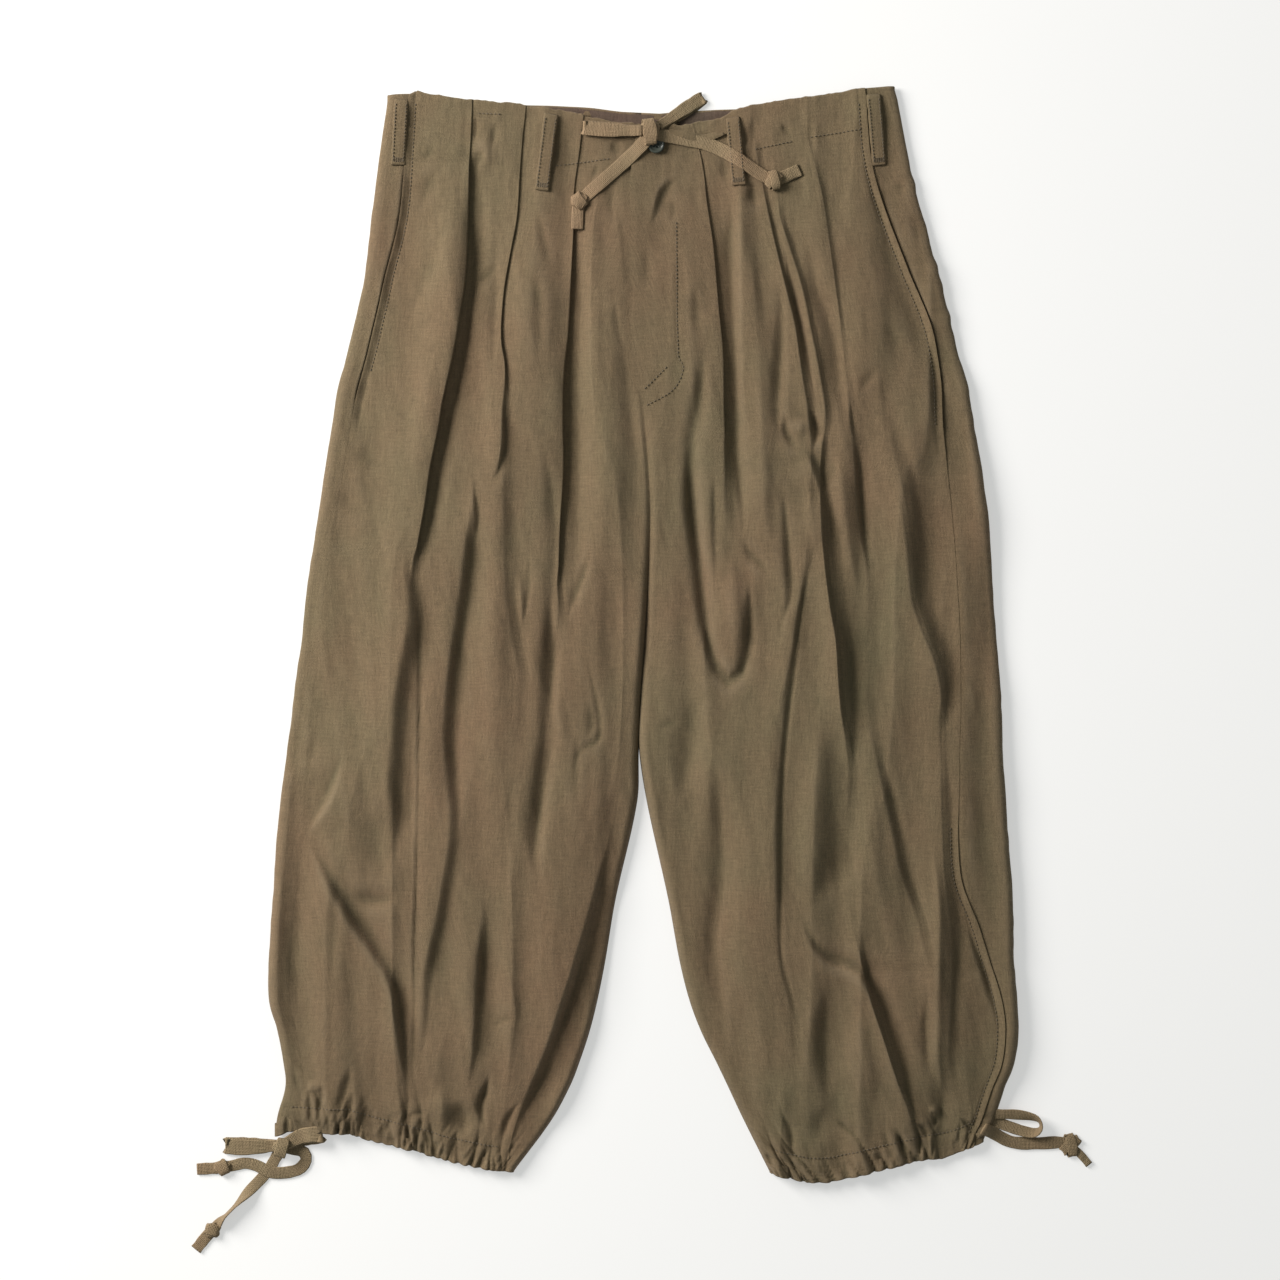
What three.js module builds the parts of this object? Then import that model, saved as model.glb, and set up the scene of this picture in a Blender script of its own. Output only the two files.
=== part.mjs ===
// Balloon trousers laid flat on a table, front up.
// Millimetres. X runs across the waist towards the wearer's left, Y from the hems to the
// waist, Z up from the table. The origin is on the table, under the middle of the garment.
// Each leg is a flattened tube of cloth: the back panel lies on the table and turns up
// round the outer edge to the side seam, and the pleated front panel lies on it.
import * as THREE from "three";

// Driving sizes
const CLOTH = 1.6;             // one wall of cloth with its seam allowances
const FACING = 1.0;            // the thinner cloth inside the waist and the pockets
const SEAM_GAP = 0.3;          // between two pieces that are sewn together
const CASING_GAP = 0.7;        // above a hem casing, where the gathers start
const HALF_LENGTH = 408;       // nominal level of the waist; the hems are at the same below
const CASING_LEVEL = -392;     // where the hem casing begins
const OUTER_ROLL = 6;          // how far the back panel curls in round the outer edge
const INNER_ROLL = 7;          // how far the front panel curls down to the inseam
const SWELL_REACH = 42;        // how far in from an edge the cloth reaches its full loft
const LOWEST_FRONT = 4.4;      // the front never sinks below this into the layers under it
const PRESSED_LEVEL = 140;     // below this the two legs only press against each other
const LEG_GAP_LEVEL = -92;     // below this they lie apart
const WAIST_BEND_LEVEL = 250;  // the waist line's dip is spread over the cloth above this
const HEM_BEND_LEVEL = -300;   // and the hem line's sweep over the cloth below this
const FOLD_FADE = 45;          // a fold fades in and out over this, or over
const FOLD_FADE_SHARE = 0.35;  // this share of its length where that is less
const FACING_DEPTH = 38;       // the strip inside the back of the waist
const POCKET_FACING_WIDTH = 13;
const LOOP_WIDTH = 11;
const LOOP_THICKNESS = 1.4;
const TAPE_THICKNESS = 1.4;
const TABLE_GAP = 0.1;         // under what only lies on the table
const BUTTON_RADIUS = 6.5;
const BUTTON_THICKNESS = 2.6;
const GATHER_DEPTH = 3.2;
const GATHER_WIDTH = 2.6;
const GATHER_REACH = 13;

// How finely each panel is divided
const PANEL_ROWS = 29;
const FRONT_COLUMNS = 25;
const CASING_ROWS = 2;
const CASING_COLUMNS = 52;
const FOLD_STEPS = 18;         // pieces that a fold's route is divided into

// Colours, linear RGB
const CLOTH_COLOUR = new THREE.Color(0.19, 0.143, 0.088);
const FACING_COLOUR = new THREE.Color(0.125, 0.088, 0.068);
const TAPE_COLOUR = new THREE.Color(0.215, 0.158, 0.098);
const BUTTON_COLOUR = new THREE.Color(0.03, 0.045, 0.042);

// Outline rows: level, then a point on the outer edge and one on the inner edge
const RIGHT_OUTLINE = [
  { level: 408, outer: [-200.4, 419.5], inner: [-2, 396.1] },
  { level: 354.7, outer: [-208.2, 354.7], inner: [-7.4, 354.7] },
  { level: 268.8, outer: [-219.1, 268.8], inner: [-8.2, 268.8] },
  { level: 221.9, outer: [-229.3, 221.9], inner: [-7.4, 221.9] },
  { level: 182.8, outer: [-239.5, 182.8], inner: [-1.2, 182.8] },
  { level: 104.7, outer: [-252, 104.7], inner: [5.1, 104.7] },
  { level: 26.6, outer: [-263.7, 26.6], inner: [2.7, 26.6] },
  { level: -51.6, outer: [-272.3, -51.6], inner: [-2.3, -51.6] },
  { level: -90.6, outer: [-277.7, -90.6], inner: [-3.5, -90.6] },
  { level: -129.7, outer: [-282.4, -129.7], inner: [-4.3, -129.7] },
  { level: -207.8, outer: [-289.5, -207.8], inner: [-21.5, -207.8] },
  { level: -254.7, outer: [-291.8, -254.7], inner: [-29.3, -254.7] },
  { level: -285.9, outer: [-291, -285.9], inner: [-35.5, -285.9] },
  { level: -310.9, outer: [-285.5, -310.9], inner: [-41.8, -310.9] },
  { level: -334.4, outer: [-281.6, -334.4], inner: [-49.6, -334.4] },
  { level: -352.3, outer: [-280.1, -352.3], inner: [-56.6, -352.3] },
  { level: -375.8, outer: [-286.3, -375.8], inner: [-71.5, -379.7] },
  { level: -408, outer: [-287.9, -390.6], inner: [-100.4, -418.8] },
];
const LEFT_OUTLINE = [
  { level: 408, outer: [196.5, 426.6], inner: [-2, 396.1] },
  { level: 354.7, outer: [209.8, 354.7], inner: [-7.4, 354.7] },
  { level: 268.8, outer: [233.2, 268.8], inner: [-8.2, 268.8] },
  { level: 221.9, outer: [244.1, 221.9], inner: [-7.4, 221.9] },
  { level: 182.8, outer: [255.1, 182.8], inner: [-1.2, 182.8] },
  { level: 104.7, outer: [266.8, 104.7], inner: [5.1, 104.7] },
  { level: 26.6, outer: [273, 26.6], inner: [2.7, 26.6] },
  { level: -51.6, outer: [278.5, -51.6], inner: [-2.3, -51.6] },
  { level: -90.6, outer: [280.1, -90.6], inner: [-3.5, -90.6] },
  { level: -129.7, outer: [283.2, -129.7], inner: [2, -129.7] },
  { level: -207.8, outer: [288.7, -207.8], inner: [19.1, -207.8] },
  { level: -254.7, outer: [289.5, -254.7], inner: [27.7, -254.7] },
  { level: -285.9, outer: [291.8, -285.9], inner: [35.5, -285.9] },
  { level: -310.9, outer: [291.8, -310.9], inner: [44.9, -310.9] },
  { level: -334.4, outer: [288.7, -334.4], inner: [56.6, -334.4] },
  { level: -352.3, outer: [281.6, -352.3], inner: [65.2, -352.3] },
  { level: -375.8, outer: [273.8, -375.8], inner: [76.2, -375.8] },
  { level: -408, outer: [264.5, -395.3], inner: [98, -419.5] },
];

// Edge lines across the garment, each point [x, y]
const FRONT_TOP = [
  [-200.4, 419.5], [-182, 420.3], [-176, 423.4], [-168, 420], [-135, 415.6], [-104, 413.3],
  [-73, 409.4], [-45.7, 403.1], [-18.4, 397.7], [-2, 396.1], [34.8, 396.1], [48, 399.2],
  [62.9, 403.1], [75.4, 409.4], [106.6, 415.6], [137.9, 419.5], [169.1, 424.2], [196.5, 426.6],
];
const BACK_TOP = [
  [-200.4, 418.8], [-151, 416.4], [-104, 412.3], [-73, 411.7], [-41.8, 410.2], [-18.4, 407],
  [12.9, 405.5], [28.5, 407], [59.8, 408.6], [75.4, 409], [106.6, 414.8], [137.9, 418.8],
  [169.1, 423.4], [196.5, 425.8],
];
const RIGHT_HEM = [
  [-287.9, -390.6], [-276, -387.5], [-229, -389.1], [-213.7, -394.5], [-182.4, -401.6],
  [-151.2, -410.9], [-119.9, -417.2], [-100.4, -418.8],
];
const LEFT_HEM = [
  [98, -419.5], [127, -426.6], [145, -426.6], [184, -417.2], [221.5, -408.6], [233, -408.6],
  [255, -400], [264.5, -395.3],
];

// How far in from the outer edge the side seam lies, by level
const RIGHT_SEAM_INSET = [
  { level: 408, inset: 18.5 }, { level: 328, inset: 23 }, { level: 271, inset: 17 },
  { level: 194, inset: 16.5 }, { level: -52, inset: 16.5 }, { level: -164, inset: 21 },
  { level: -280, inset: 17 }, { level: -408, inset: 16 },
];
const LEFT_SEAM_INSET = [
  { level: 408, inset: 25 }, { level: 359, inset: 30.5 }, { level: 283, inset: 24 },
  { level: 229, inset: 16.5 }, { level: 158, inset: 27 }, { level: -5, inset: 30 },
  { level: -98, inset: 36 }, { level: -187, inset: 42 }, { level: -234, inset: 27 },
  { level: -277, inset: 15.5 }, { level: -311, inset: 11.5 }, { level: -408, inset: 12 },
];

// Loft of the front by level: height at the edges and in the middle of a leg
const LOFT = [
  { level: 408, edge: 5.6, middle: 5.6 },
  { level: 350, edge: 6.2, middle: 6.8 },
  { level: 260, edge: 7.5, middle: 11 },
  { level: 100, edge: 8.2, middle: 13.5 },
  { level: -150, edge: 8.6, middle: 14.5 },
  { level: -320, edge: 8.2, middle: 13.5 },
  { level: -408, edge: 6.5, middle: 7.5 },
];

// Folds of the front. A step is high on its left in this table's view and drops by its
// depth over its width; left and right are how far each side takes to level out. A ridge
// rises by its depth, and sinks where that is negative. Each route runs down the leg.
const RIGHT_FOLDS = [
  { name: "first pleat", kind: "step", depth: 6, width: 8, left: 22, right: 30,
    route: [[-136, 372], [-136, 323], [-137, 291], [-141, 251], [-152, 203], [-161, 159],
      [-167, 120], [-176, 52], [-188, -20], [-200, -67], [-207, -130]] },
  { name: "first pleat, lower run", kind: "step", depth: 3.5, width: 8, left: 18, right: 25,
    route: [[-178, 40], [-176, -28], [-178, -88], [-180, -161], [-180, -223], [-176, -294],
      [-178, -353]] },
  { name: "second pleat", kind: "step", depth: 4.5, width: 7, left: 15, right: 18,
    route: [[-96, 366], [-102, 306], [-108, 269], [-109, 235], [-107, 191], [-112, 120]] },
  { name: "third pleat", kind: "step", depth: 5, width: 7, left: 14, right: 18,
    route: [[-52, 351], [-54, 319], [-57, 266], [-58, 219], [-61, 171], [-64, 128],
      [-62, 52], [-64, -5]] },
  { name: "trough beside the fly", kind: "ridge", depth: -3, width: 6, left: 0, right: 0,
    route: [[-23, 330], [-18, 283], [-21, 261], [-17, 227], [-10, 187], [0, 147]] },
  { name: "thigh shoulder", kind: "step", depth: 4, width: 14, left: 14, right: 26,
    route: [[-152, 58], [-150, -20], [-152, -106]] },
  { name: "middle trough", kind: "ridge", depth: -3.5, width: 8, left: 0, right: 0,
    route: [[-72, 12], [-68, -48], [-71, -110]] },
  { name: "middle trough, second", kind: "ridge", depth: -3, width: 7, left: 0, right: 0,
    route: [[-100, 34], [-93, -48], [-100, -127]] },
  { name: "shin fold", kind: "ridge", depth: -4, width: 9, left: 0, right: 0,
    route: [[-264, -157], [-242, -200], [-212, -254], [-198, -303], [-188, -343],
      [-179, -368]] },
  { name: "shin trough", kind: "ridge", depth: -3.5, width: 11, left: 0, right: 0,
    route: [[-194, -98], [-198, -153], [-200, -208]] },
  { name: "calf trough", kind: "ridge", depth: -3, width: 7, left: 0, right: 0,
    route: [[-152, -134], [-160, -214], [-170, -263]] },
  { name: "calf pleat", kind: "step", depth: 4, width: 8, left: 16, right: 20,
    route: [[-125, -192], [-130, -254], [-134, -294], [-140, -360]] },
  { name: "inner roll", kind: "step", depth: 5, width: 14, left: 22, right: 22,
    route: [[-31, -194], [-61, -273], [-85, -333], [-106, -388]] },
];
const LEFT_FOLDS = [
  { name: "front band", kind: "ridge", depth: -3.5, width: 8, left: 0, right: 0,
    route: [[38, 270], [43, 216], [36, 154], [38, 97], [44, 58], [50, -5]] },
  { name: "hanging bag", kind: "ridge", depth: 4.5, width: 11, left: 0, right: 0,
    route: [[68, 62], [68, 11], [68, -28]] },
  { name: "trough under the bag", kind: "ridge", depth: -4.5, width: 13, left: 0, right: 0,
    route: [[55, -40], [50, -75], [46, -122]] },
  { name: "first pleat", kind: "ridge", depth: 3, width: 6, left: 0, right: 0,
    route: [[54, 355], [61, 288], [64, 241], [64, 175]] },
  { name: "first pleat, trough", kind: "ridge", depth: -4.5, width: 7, left: 0, right: 0,
    route: [[70, 339], [71, 270], [74, 198], [71, 145], [74, 89]] },
  { name: "second pleat, trough", kind: "ridge", depth: -3.5, width: 9, left: 0, right: 0,
    route: [[106, 300], [107, 234], [104, 180], [107, 136]] },
  { name: "second pleat", kind: "ridge", depth: 5, width: 6, left: 0, right: 0,
    route: [[105, 343], [122, 280], [132, 234], [142, 166], [147, 120]] },
  { name: "third pleat", kind: "step", depth: 3.5, width: 7, left: 16, right: 16,
    route: [[132, 382], [141, 344], [146, 306], [154, 245], [160, 190], [171, 127],
      [174, 89]] },
  { name: "middle trough", kind: "ridge", depth: -3.5, width: 8, left: 0, right: 0,
    route: [[111, 140], [114, 47], [116, 11], [108, -20]] },
  { name: "main fold", kind: "step", depth: 5.5, width: 12, left: 18, right: 24,
    route: [[138, 159], [144, 78], [152, 5], [158, -58], [169, -122]] },
  { name: "outer fold", kind: "step", depth: 4.5, width: 10, left: 16, right: 18,
    route: [[194, 159], [204, 89], [217, 26], [235, -27], [237, -83], [240, -153]] },
  { name: "knee crease", kind: "step", depth: 3.5, width: 8, left: 16, right: 18,
    route: [[163, 5], [175, -58], [189, -110], [204, -177], [219, -244], [221, -309]] },
  { name: "knee facet", kind: "step", depth: 5, width: 32, left: 12, right: 14,
    route: [[134, -52], [127, -122], [122, -177], [122, -231]] },
  { name: "shin fold", kind: "step", depth: 5.5, width: 8, left: 24, right: 18,
    route: [[143, -243], [169, -261], [182, -293], [194, -329], [208, -360], [216, -388]] },
  { name: "inner band", kind: "ridge", depth: -3.5, width: 9, left: 0, right: 0,
    route: [[50, -153], [54, -253], [64, -309]] },
  { name: "calf trough", kind: "ridge", depth: -4.5, width: 9, left: 0, right: 0,
    route: [[136, -266], [136, -313], [139, -353], [135, -388]] },
  { name: "outer ridge", kind: "ridge", depth: 4, width: 7, left: 0, right: 0,
    route: [[222, -146], [229, -209], [229, -267], [227, -356]] },
  { name: "outer trough", kind: "ridge", depth: -4, width: 9, left: 0, right: 0,
    route: [[241, -153], [243, -208], [248, -270], [249, -325]] },
  { name: "inner ridge", kind: "ridge", depth: 2.5, width: 8, left: 0, right: 0,
    route: [[114, -122], [114, -173], [118, -244], [125, -302]] },
];

// Where the drawstring draws the hem into gathers: the x of each valley
const RIGHT_GATHERS = [
  -272, -264, -257, -251, -244, -237, -229, -221, -212, -204, -196, -189, -180, -172, -164,
  -158, -152, -144, -136, -127, -119, -111,
];
const LEFT_GATHERS = [
  105, 114, 125, 136, 147, 158, 169, 179, 188, 196, 204, 210, 216, 222, 229, 236, 244, 251,
  258,
];

// Belt loops: the middle of the top end and of the bottom end
const BELT_LOOPS = [
  { name: "belt_loop_side_right", top: [-188.5, 415], bottom: [-191, 366] },
  { name: "belt_loop_front_right", top: [-72, 403.5], bottom: [-79, 346] },
  { name: "belt_loop_front_left", top: [69.5, 401], bottom: [74, 350] },
  { name: "belt_loop_side_left", top: [179, 419], bottom: [183.5, 366] },
];

// Routes of the flat tapes, each point [x, y]
const WAIST_END_RIGHT = [[-0.9, 379.7], [-20, 362.6], [-43.4, 342.3]];
const WAIST_END_LEFT = [[12.1, 387.9], [32, 385.2], [54, 379.7], [75.4, 368], [92.5, 356.9]];
const HEM_END_UPPER = [
  [-275.6, -401.6], [-265.2, -404.6], [-263.6, -411.5], [-270.4, -418.6], [-289.4, -420.6],
  [-302, -415], [-311.3, -413.2], [-320.8, -415.2],
];
const HEM_END_LOWER = [[-287, -408.8], [-294, -420.3], [-311.3, -438.3], [-331.5, -459.6]];
const HEM_END_LEFT = [[270.4, -387.8], [286.9, -396.4], [308, -397.7], [326.4, -397]];

const clamp = (value, low, high) => Math.min(Math.max(value, low), high);
const lerp = (from, to, share) => from + (to - from) * share;

function smoothStep(from, to, value) {
  const share = clamp((value - from) / (to - from), 0, 1);
  return share * share * (3 - 2 * share);
}

// A smooth curve through values at rising knots
function curveThrough(knots, values) {
  const last = knots.length - 1;
  const slopes = knots.map((_, i) => {
    const before = Math.max(i - 1, 0);
    const after = Math.min(i + 1, last);
    return (values[after] - values[before]) / (knots[after] - knots[before]);
  });
  return (at) => {
    let i = 0;
    while (i < last - 1 && at > knots[i + 1]) i += 1;
    const span = knots[i + 1] - knots[i];
    const t = clamp((at - knots[i]) / span, 0, 1);
    const rise = t * t * (3 - 2 * t);
    const leave = t * (1 - t) * (1 - t) * span;
    const arrive = -t * t * (1 - t) * span;
    return lerp(values[i], values[i + 1], rise) + leave * slopes[i] + arrive * slopes[i + 1];
  };
}

// A curve over the levels of a table, which run from the waist down
function byLevel(rows, read) {
  const curve = curveThrough(rows.map((row) => -row.level), rows.map(read));
  return (level) => curve(-level);
}

// Straight runs between the points of an edge line: y for an x
function edgeLine(points) {
  return (x) => {
    let i = 0;
    while (i < points.length - 2 && x > points[i + 1][0]) i += 1;
    const [x0, y0] = points[i];
    const [x1, y1] = points[i + 1];
    return lerp(y0, y1, clamp((x - x0) / (x1 - x0), 0, 1));
  };
}

// One fold of the cloth, worked out along its route
class Fold {
  constructor(row) {
    this.row = row;
    const curve = new THREE.CatmullRomCurve3(
      row.route.map(([x, y]) => new THREE.Vector3(x, y, 0)));
    this.points = curve.getSpacedPoints(FOLD_STEPS);
    this.length = curve.getLength();
    this.fade = Math.min(FOLD_FADE, this.length * FOLD_FADE_SHARE);
    this.reach = 2.6 * Math.max(row.width, row.left, row.right) + row.width;
  }

  heightAt(x, y) {
    const steps = this.points.length - 1;
    let best = Infinity;
    let side = 1;
    let place = 0;
    for (let i = 0; i < steps; i += 1) {
      const a = this.points[i];
      const b = this.points[i + 1];
      const runX = b.x - a.x;
      const runY = b.y - a.y;
      const share = clamp(
        ((x - a.x) * runX + (y - a.y) * runY) / (runX * runX + runY * runY), 0, 1);
      const awayX = x - a.x - share * runX;
      const awayY = y - a.y - share * runY;
      const away = Math.hypot(awayX, awayY);
      if (away < best) {
        best = away;
        side = Math.sign(runX * awayY - runY * awayX) || 1;
        place = (i + share) / steps;
      }
    }
    if (best > this.reach) return 0;
    const along = place * this.length;
    const strength = smoothStep(0, this.fade, Math.min(along, this.length - along));
    return this.row.depth * strength * this.profile(best * side);
  }

  profile(offset) {
    const { kind, width, left, right } = this.row;
    if (kind === "ridge") return Math.exp(-((offset / width) ** 2));
    if (offset <= 0) return 0.5 * Math.exp(-((offset / left) ** 2));
    if (offset < width) return 0.5 - smoothStep(0, width, offset);
    return -0.5 * Math.exp(-(((offset - width) / right) ** 2));
  }
}

// One trouser leg from the waist to the hem, as a surface over the table. A place on it is
// given by its level and its depth, the distance in from the outer edge along that level.
class Leg {
  constructor({ outline, seamInset, hem, folds, gathers, toInner }) {
    this.outerX = byLevel(outline, (row) => row.outer[0]);
    this.outerY = byLevel(outline, (row) => row.outer[1]);
    this.innerX = byLevel(outline, (row) => row.inner[0]);
    this.innerY = byLevel(outline, (row) => row.inner[1]);
    this.seamInset = byLevel(seamInset, (row) => row.inset);
    this.edgeLoft = byLevel(LOFT, (row) => row.edge);
    this.middleLoft = byLevel(LOFT, (row) => row.middle);
    this.hem = edgeLine(hem);
    this.folds = folds.map((row) => new Fold(row));
    this.gathers = gathers;
    this.toInner = toInner;      // +1 where the inner edge lies towards +X
  }

  width(level) {
    return Math.hypot(
      this.innerX(level) - this.outerX(level), this.innerY(level) - this.outerY(level));
  }

  // Place on the table: straight across between the edges, bent to the waist and hem lines
  plan(depth, level, topLine) {
    const share = depth / this.width(level);
    const across = (from, to) => lerp(from, to, share);
    const x = across(this.outerX(level), this.innerX(level));
    let y = across(this.outerY(level), this.innerY(level));
    const top = HALF_LENGTH;
    const topX = across(this.outerX(top), this.innerX(top));
    const topStraight = across(this.outerY(top), this.innerY(top));
    y += smoothStep(WAIST_BEND_LEVEL, top, level) * (topLine(topX) - topStraight);
    const hemX = across(this.outerX(-top), this.innerX(-top));
    const hemStraight = across(this.outerY(-top), this.innerY(-top));
    y += smoothStep(HEM_BEND_LEVEL, -top, level) * (this.hem(hemX) - hemStraight);
    return [x, y];
  }

  // 0 where the inner edge is the centre front seam, 1 where the leg lies by itself
  parted(level) {
    return smoothStep(PRESSED_LEVEL, LEG_GAP_LEVEL, level);
  }

  gatherAt(x, y) {
    const above = Math.max(y - this.hem(x), 0);
    const strength = GATHER_DEPTH * Math.exp(-((above / GATHER_REACH) ** 2));
    if (strength < 0.05) return 0;
    let wave = 0.35;
    for (const valley of this.gathers) {
      wave -= Math.exp(-(((x - valley) / GATHER_WIDTH) ** 2));
    }
    return strength * wave;
  }

  // Height of the middle of the front cloth, without the curl at its edges
  height(depth, level, gathered) {
    const [x, y] = this.plan(depth, level, frontTop);
    const fromInner = this.width(level) - depth;
    const outerSide = 1 - Math.exp(-((Math.max(depth - OUTER_ROLL, 0) / SWELL_REACH) ** 2));
    const innerSide = 1 - this.parted(level) * Math.exp(-((fromInner / SWELL_REACH) ** 2));
    const edge = this.edgeLoft(level);
    let z = edge + (this.middleLoft(level) - edge) * outerSide * innerSide;
    for (const fold of this.folds) z += fold.heightAt(x, y);
    if (gathered) z += this.gatherAt(x, y);
    const softness = 0.6;
    return LOWEST_FRONT + softness * Math.log1p(Math.exp((z - LOWEST_FRONT) / softness));
  }

  // Front panel: column 0 to 1 crosses it, 1 to 2 curls down to the inner edge
  frontPoint(column, level, gathered) {
    const parted = this.parted(level);
    const edgeIn = SEAM_GAP / 2 + (Math.min(3 * parted, 1) * CLOTH) / 2;
    const width = this.width(level);
    const curlStart = width - edgeIn - INNER_ROLL;
    const seam = this.seamInset(level) + SEAM_GAP / 2;
    const angle = (Math.max(column - 1, 0) * Math.PI) / 2;
    const depth = column <= 1
      ? lerp(seam, curlStart, column)
      : curlStart + INNER_ROLL * Math.sin(angle);
    const [x, y] = this.plan(depth, level, frontTop);
    const full = this.height(depth, level, gathered);
    const inseam = CLOTH + SEAM_GAP + 0.05;
    const curled = inseam + (full - inseam) * Math.cos(angle);
    return new THREE.Vector3(x, y, lerp(full, curled, parted));
  }

  // Back panel: column 0 to 1 lies on the front side, 1 to 2 curls round the outer edge,
  // 2 to 3 lies on the table
  backPoint(column, level, gathered) {
    const underneath = clamp(column - 1, 0, 1);
    const topLine = (x) => lerp(frontTop(x), backTop(x), underneath);
    const halfWall = CLOTH / 2;
    const curlEnd = halfWall + OUTER_ROLL;
    let depth;
    let z;
    if (column <= 1) {
      depth = lerp(this.seamInset(level) - SEAM_GAP / 2, curlEnd, column);
      z = this.height(depth, level, gathered);
    } else if (column < 2) {
      const angle = (column - 1) * Math.PI;
      depth = curlEnd - OUTER_ROLL * Math.sin(angle);
      const top = this.height(curlEnd, level, gathered);
      z = lerp(halfWall, top, (1 + Math.cos(angle)) / 2);
    } else {
      depth = lerp(curlEnd, this.width(level) - SEAM_GAP / 2, column - 2);
      z = halfWall;
    }
    const [x, y] = this.plan(depth, level, topLine);
    return new THREE.Vector3(x, y, z);
  }
}

// A closed body from two matching grids of points, the outer and the inner side of a wall
function closedWall(outer, inner) {
  const rows = outer.length;
  const columns = outer[0].length;
  const positions = [...outer.flat(), ...inner.flat()].flatMap((p) => [p.x, p.y, p.z]);
  const at = (row, column) => row * columns + column;
  const under = rows * columns;
  const index = [];
  const quad = (a, b, c, d) => index.push(a, b, c, a, c, d);
  for (let r = 0; r < rows - 1; r += 1) {
    for (let c = 0; c < columns - 1; c += 1) {
      const corners = [at(r, c), at(r + 1, c), at(r + 1, c + 1), at(r, c + 1)];
      quad(...corners);
      quad(...corners.map((corner) => corner + under).reverse());
    }
  }
  const side = (a, b) => quad(b, a, a + under, b + under);
  for (let r = 0; r < rows - 1; r += 1) {
    side(at(r, 0), at(r + 1, 0));
    side(at(r + 1, columns - 1), at(r, columns - 1));
  }
  for (let c = 0; c < columns - 1; c += 1) {
    side(at(0, c + 1), at(0, c));
    side(at(rows - 1, c), at(rows - 1, c + 1));
  }
  const geometry = new THREE.BufferGeometry();
  geometry.setAttribute("position", new THREE.Float32BufferAttribute(positions, 3));
  geometry.setIndex(index);
  return facingOut(geometry);
}

// Turn every face over where the body is inside out
function facingOut(geometry) {
  const p = geometry.attributes.position;
  const index = geometry.index.array;
  const corner = (i) => new THREE.Vector3().fromBufferAttribute(p, index[i]);
  let volume = 0;
  for (let i = 0; i < index.length; i += 3) {
    volume += corner(i).dot(corner(i + 1).cross(corner(i + 2)));
  }
  if (volume < 0) geometry.setIndex([...index].reverse());
  return geometry;
}

// A wall of even thickness about a surface given by column and level. Its seams stand
// upright, and its last column leans as far as the legs are parted there.
function panelWall(surface, columns, levels, outward, parted) {
  const firstColumn = columns[0];
  const lastColumn = columns[columns.length - 1];
  const topLevel = levels[0];
  const lowLevel = levels[levels.length - 1];
  const outer = [];
  const inner = [];
  for (const level of levels) {
    const outerRow = [];
    const innerRow = [];
    for (const column of columns) {
      const before = surface(Math.max(column - 0.004, firstColumn), level);
      const after = surface(Math.min(column + 0.004, lastColumn), level);
      const above = surface(column, Math.min(level + 1.5, topLevel));
      const below = surface(column, Math.max(level - 1.5, lowLevel));
      const normal = after.sub(before).cross(below.sub(above)).normalize();
      normal.multiplyScalar(outward);
      if (level === topLevel || level === lowLevel) normal.y = 0;
      if (column === firstColumn) normal.x = 0;
      if (column === lastColumn) {
        const upright = new THREE.Vector3(0, 0, Math.sign(normal.z));
        normal.lerp(upright, 1 - parted(level));
      }
      normal.normalize().multiplyScalar(CLOTH / 2);
      const point = surface(column, level);
      outerRow.push(point.clone().add(normal));
      innerRow.push(point.clone().sub(normal));
    }
    outer.push(outerRow);
    inner.push(innerRow);
  }
  return closedWall(outer, inner);
}

const spread = (from, to, parts) =>
  Array.from({ length: parts + 1 }, (_, i) => lerp(from, to, i / parts));

const trousers = new THREE.Group();
trousers.name = "balloon_trousers";

function addPiece(name, geometry, colour, roughness = 0.85) {
  const material = new THREE.MeshStandardMaterial({ color: colour, roughness, metalness: 0 });
  const mesh = new THREE.Mesh(geometry, material);
  mesh.name = name;
  trousers.add(mesh);
  return mesh;
}

// Height of the highest face of some pieces over a place on the table
function topOf(pieces, x, y) {
  let top = 0;
  for (const { geometry } of pieces) {
    const p = geometry.attributes.position;
    const index = geometry.index.array;
    for (let i = 0; i < index.length; i += 3) {
      const ax = p.getX(index[i]) - x;
      const ay = p.getY(index[i]) - y;
      const bx = p.getX(index[i + 1]) - x;
      const by = p.getY(index[i + 1]) - y;
      const cx = p.getX(index[i + 2]) - x;
      const cy = p.getY(index[i + 2]) - y;
      const wa = bx * cy - by * cx;
      const wb = cx * ay - cy * ax;
      const wc = ax * by - ay * bx;
      const whole = wa + wb + wc;
      if (wa >= 0 && wb >= 0 && wc >= 0 && whole > 1e-9) {
        const z = (wa * p.getZ(index[i]) + wb * p.getZ(index[i + 1])
          + wc * p.getZ(index[i + 2])) / whole;
        top = Math.max(top, z);
      }
    }
  }
  return top;
}

// The highest point under a strip that is centred at x, y and runs along an angle
function topUnder(pieces, x, y, angle, halfLength, halfWidth) {
  let top = 0;
  for (const along of spread(-halfLength, halfLength, 6)) {
    for (const across of spread(-halfWidth, halfWidth, 4)) {
      const px = x + along * Math.cos(angle) - across * Math.sin(angle);
      const py = y + along * Math.sin(angle) + across * Math.cos(angle);
      top = Math.max(top, topOf(pieces, px, py));
    }
  }
  return top;
}

const frontTop = edgeLine(FRONT_TOP);
const backTop = edgeLine(BACK_TOP);

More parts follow.
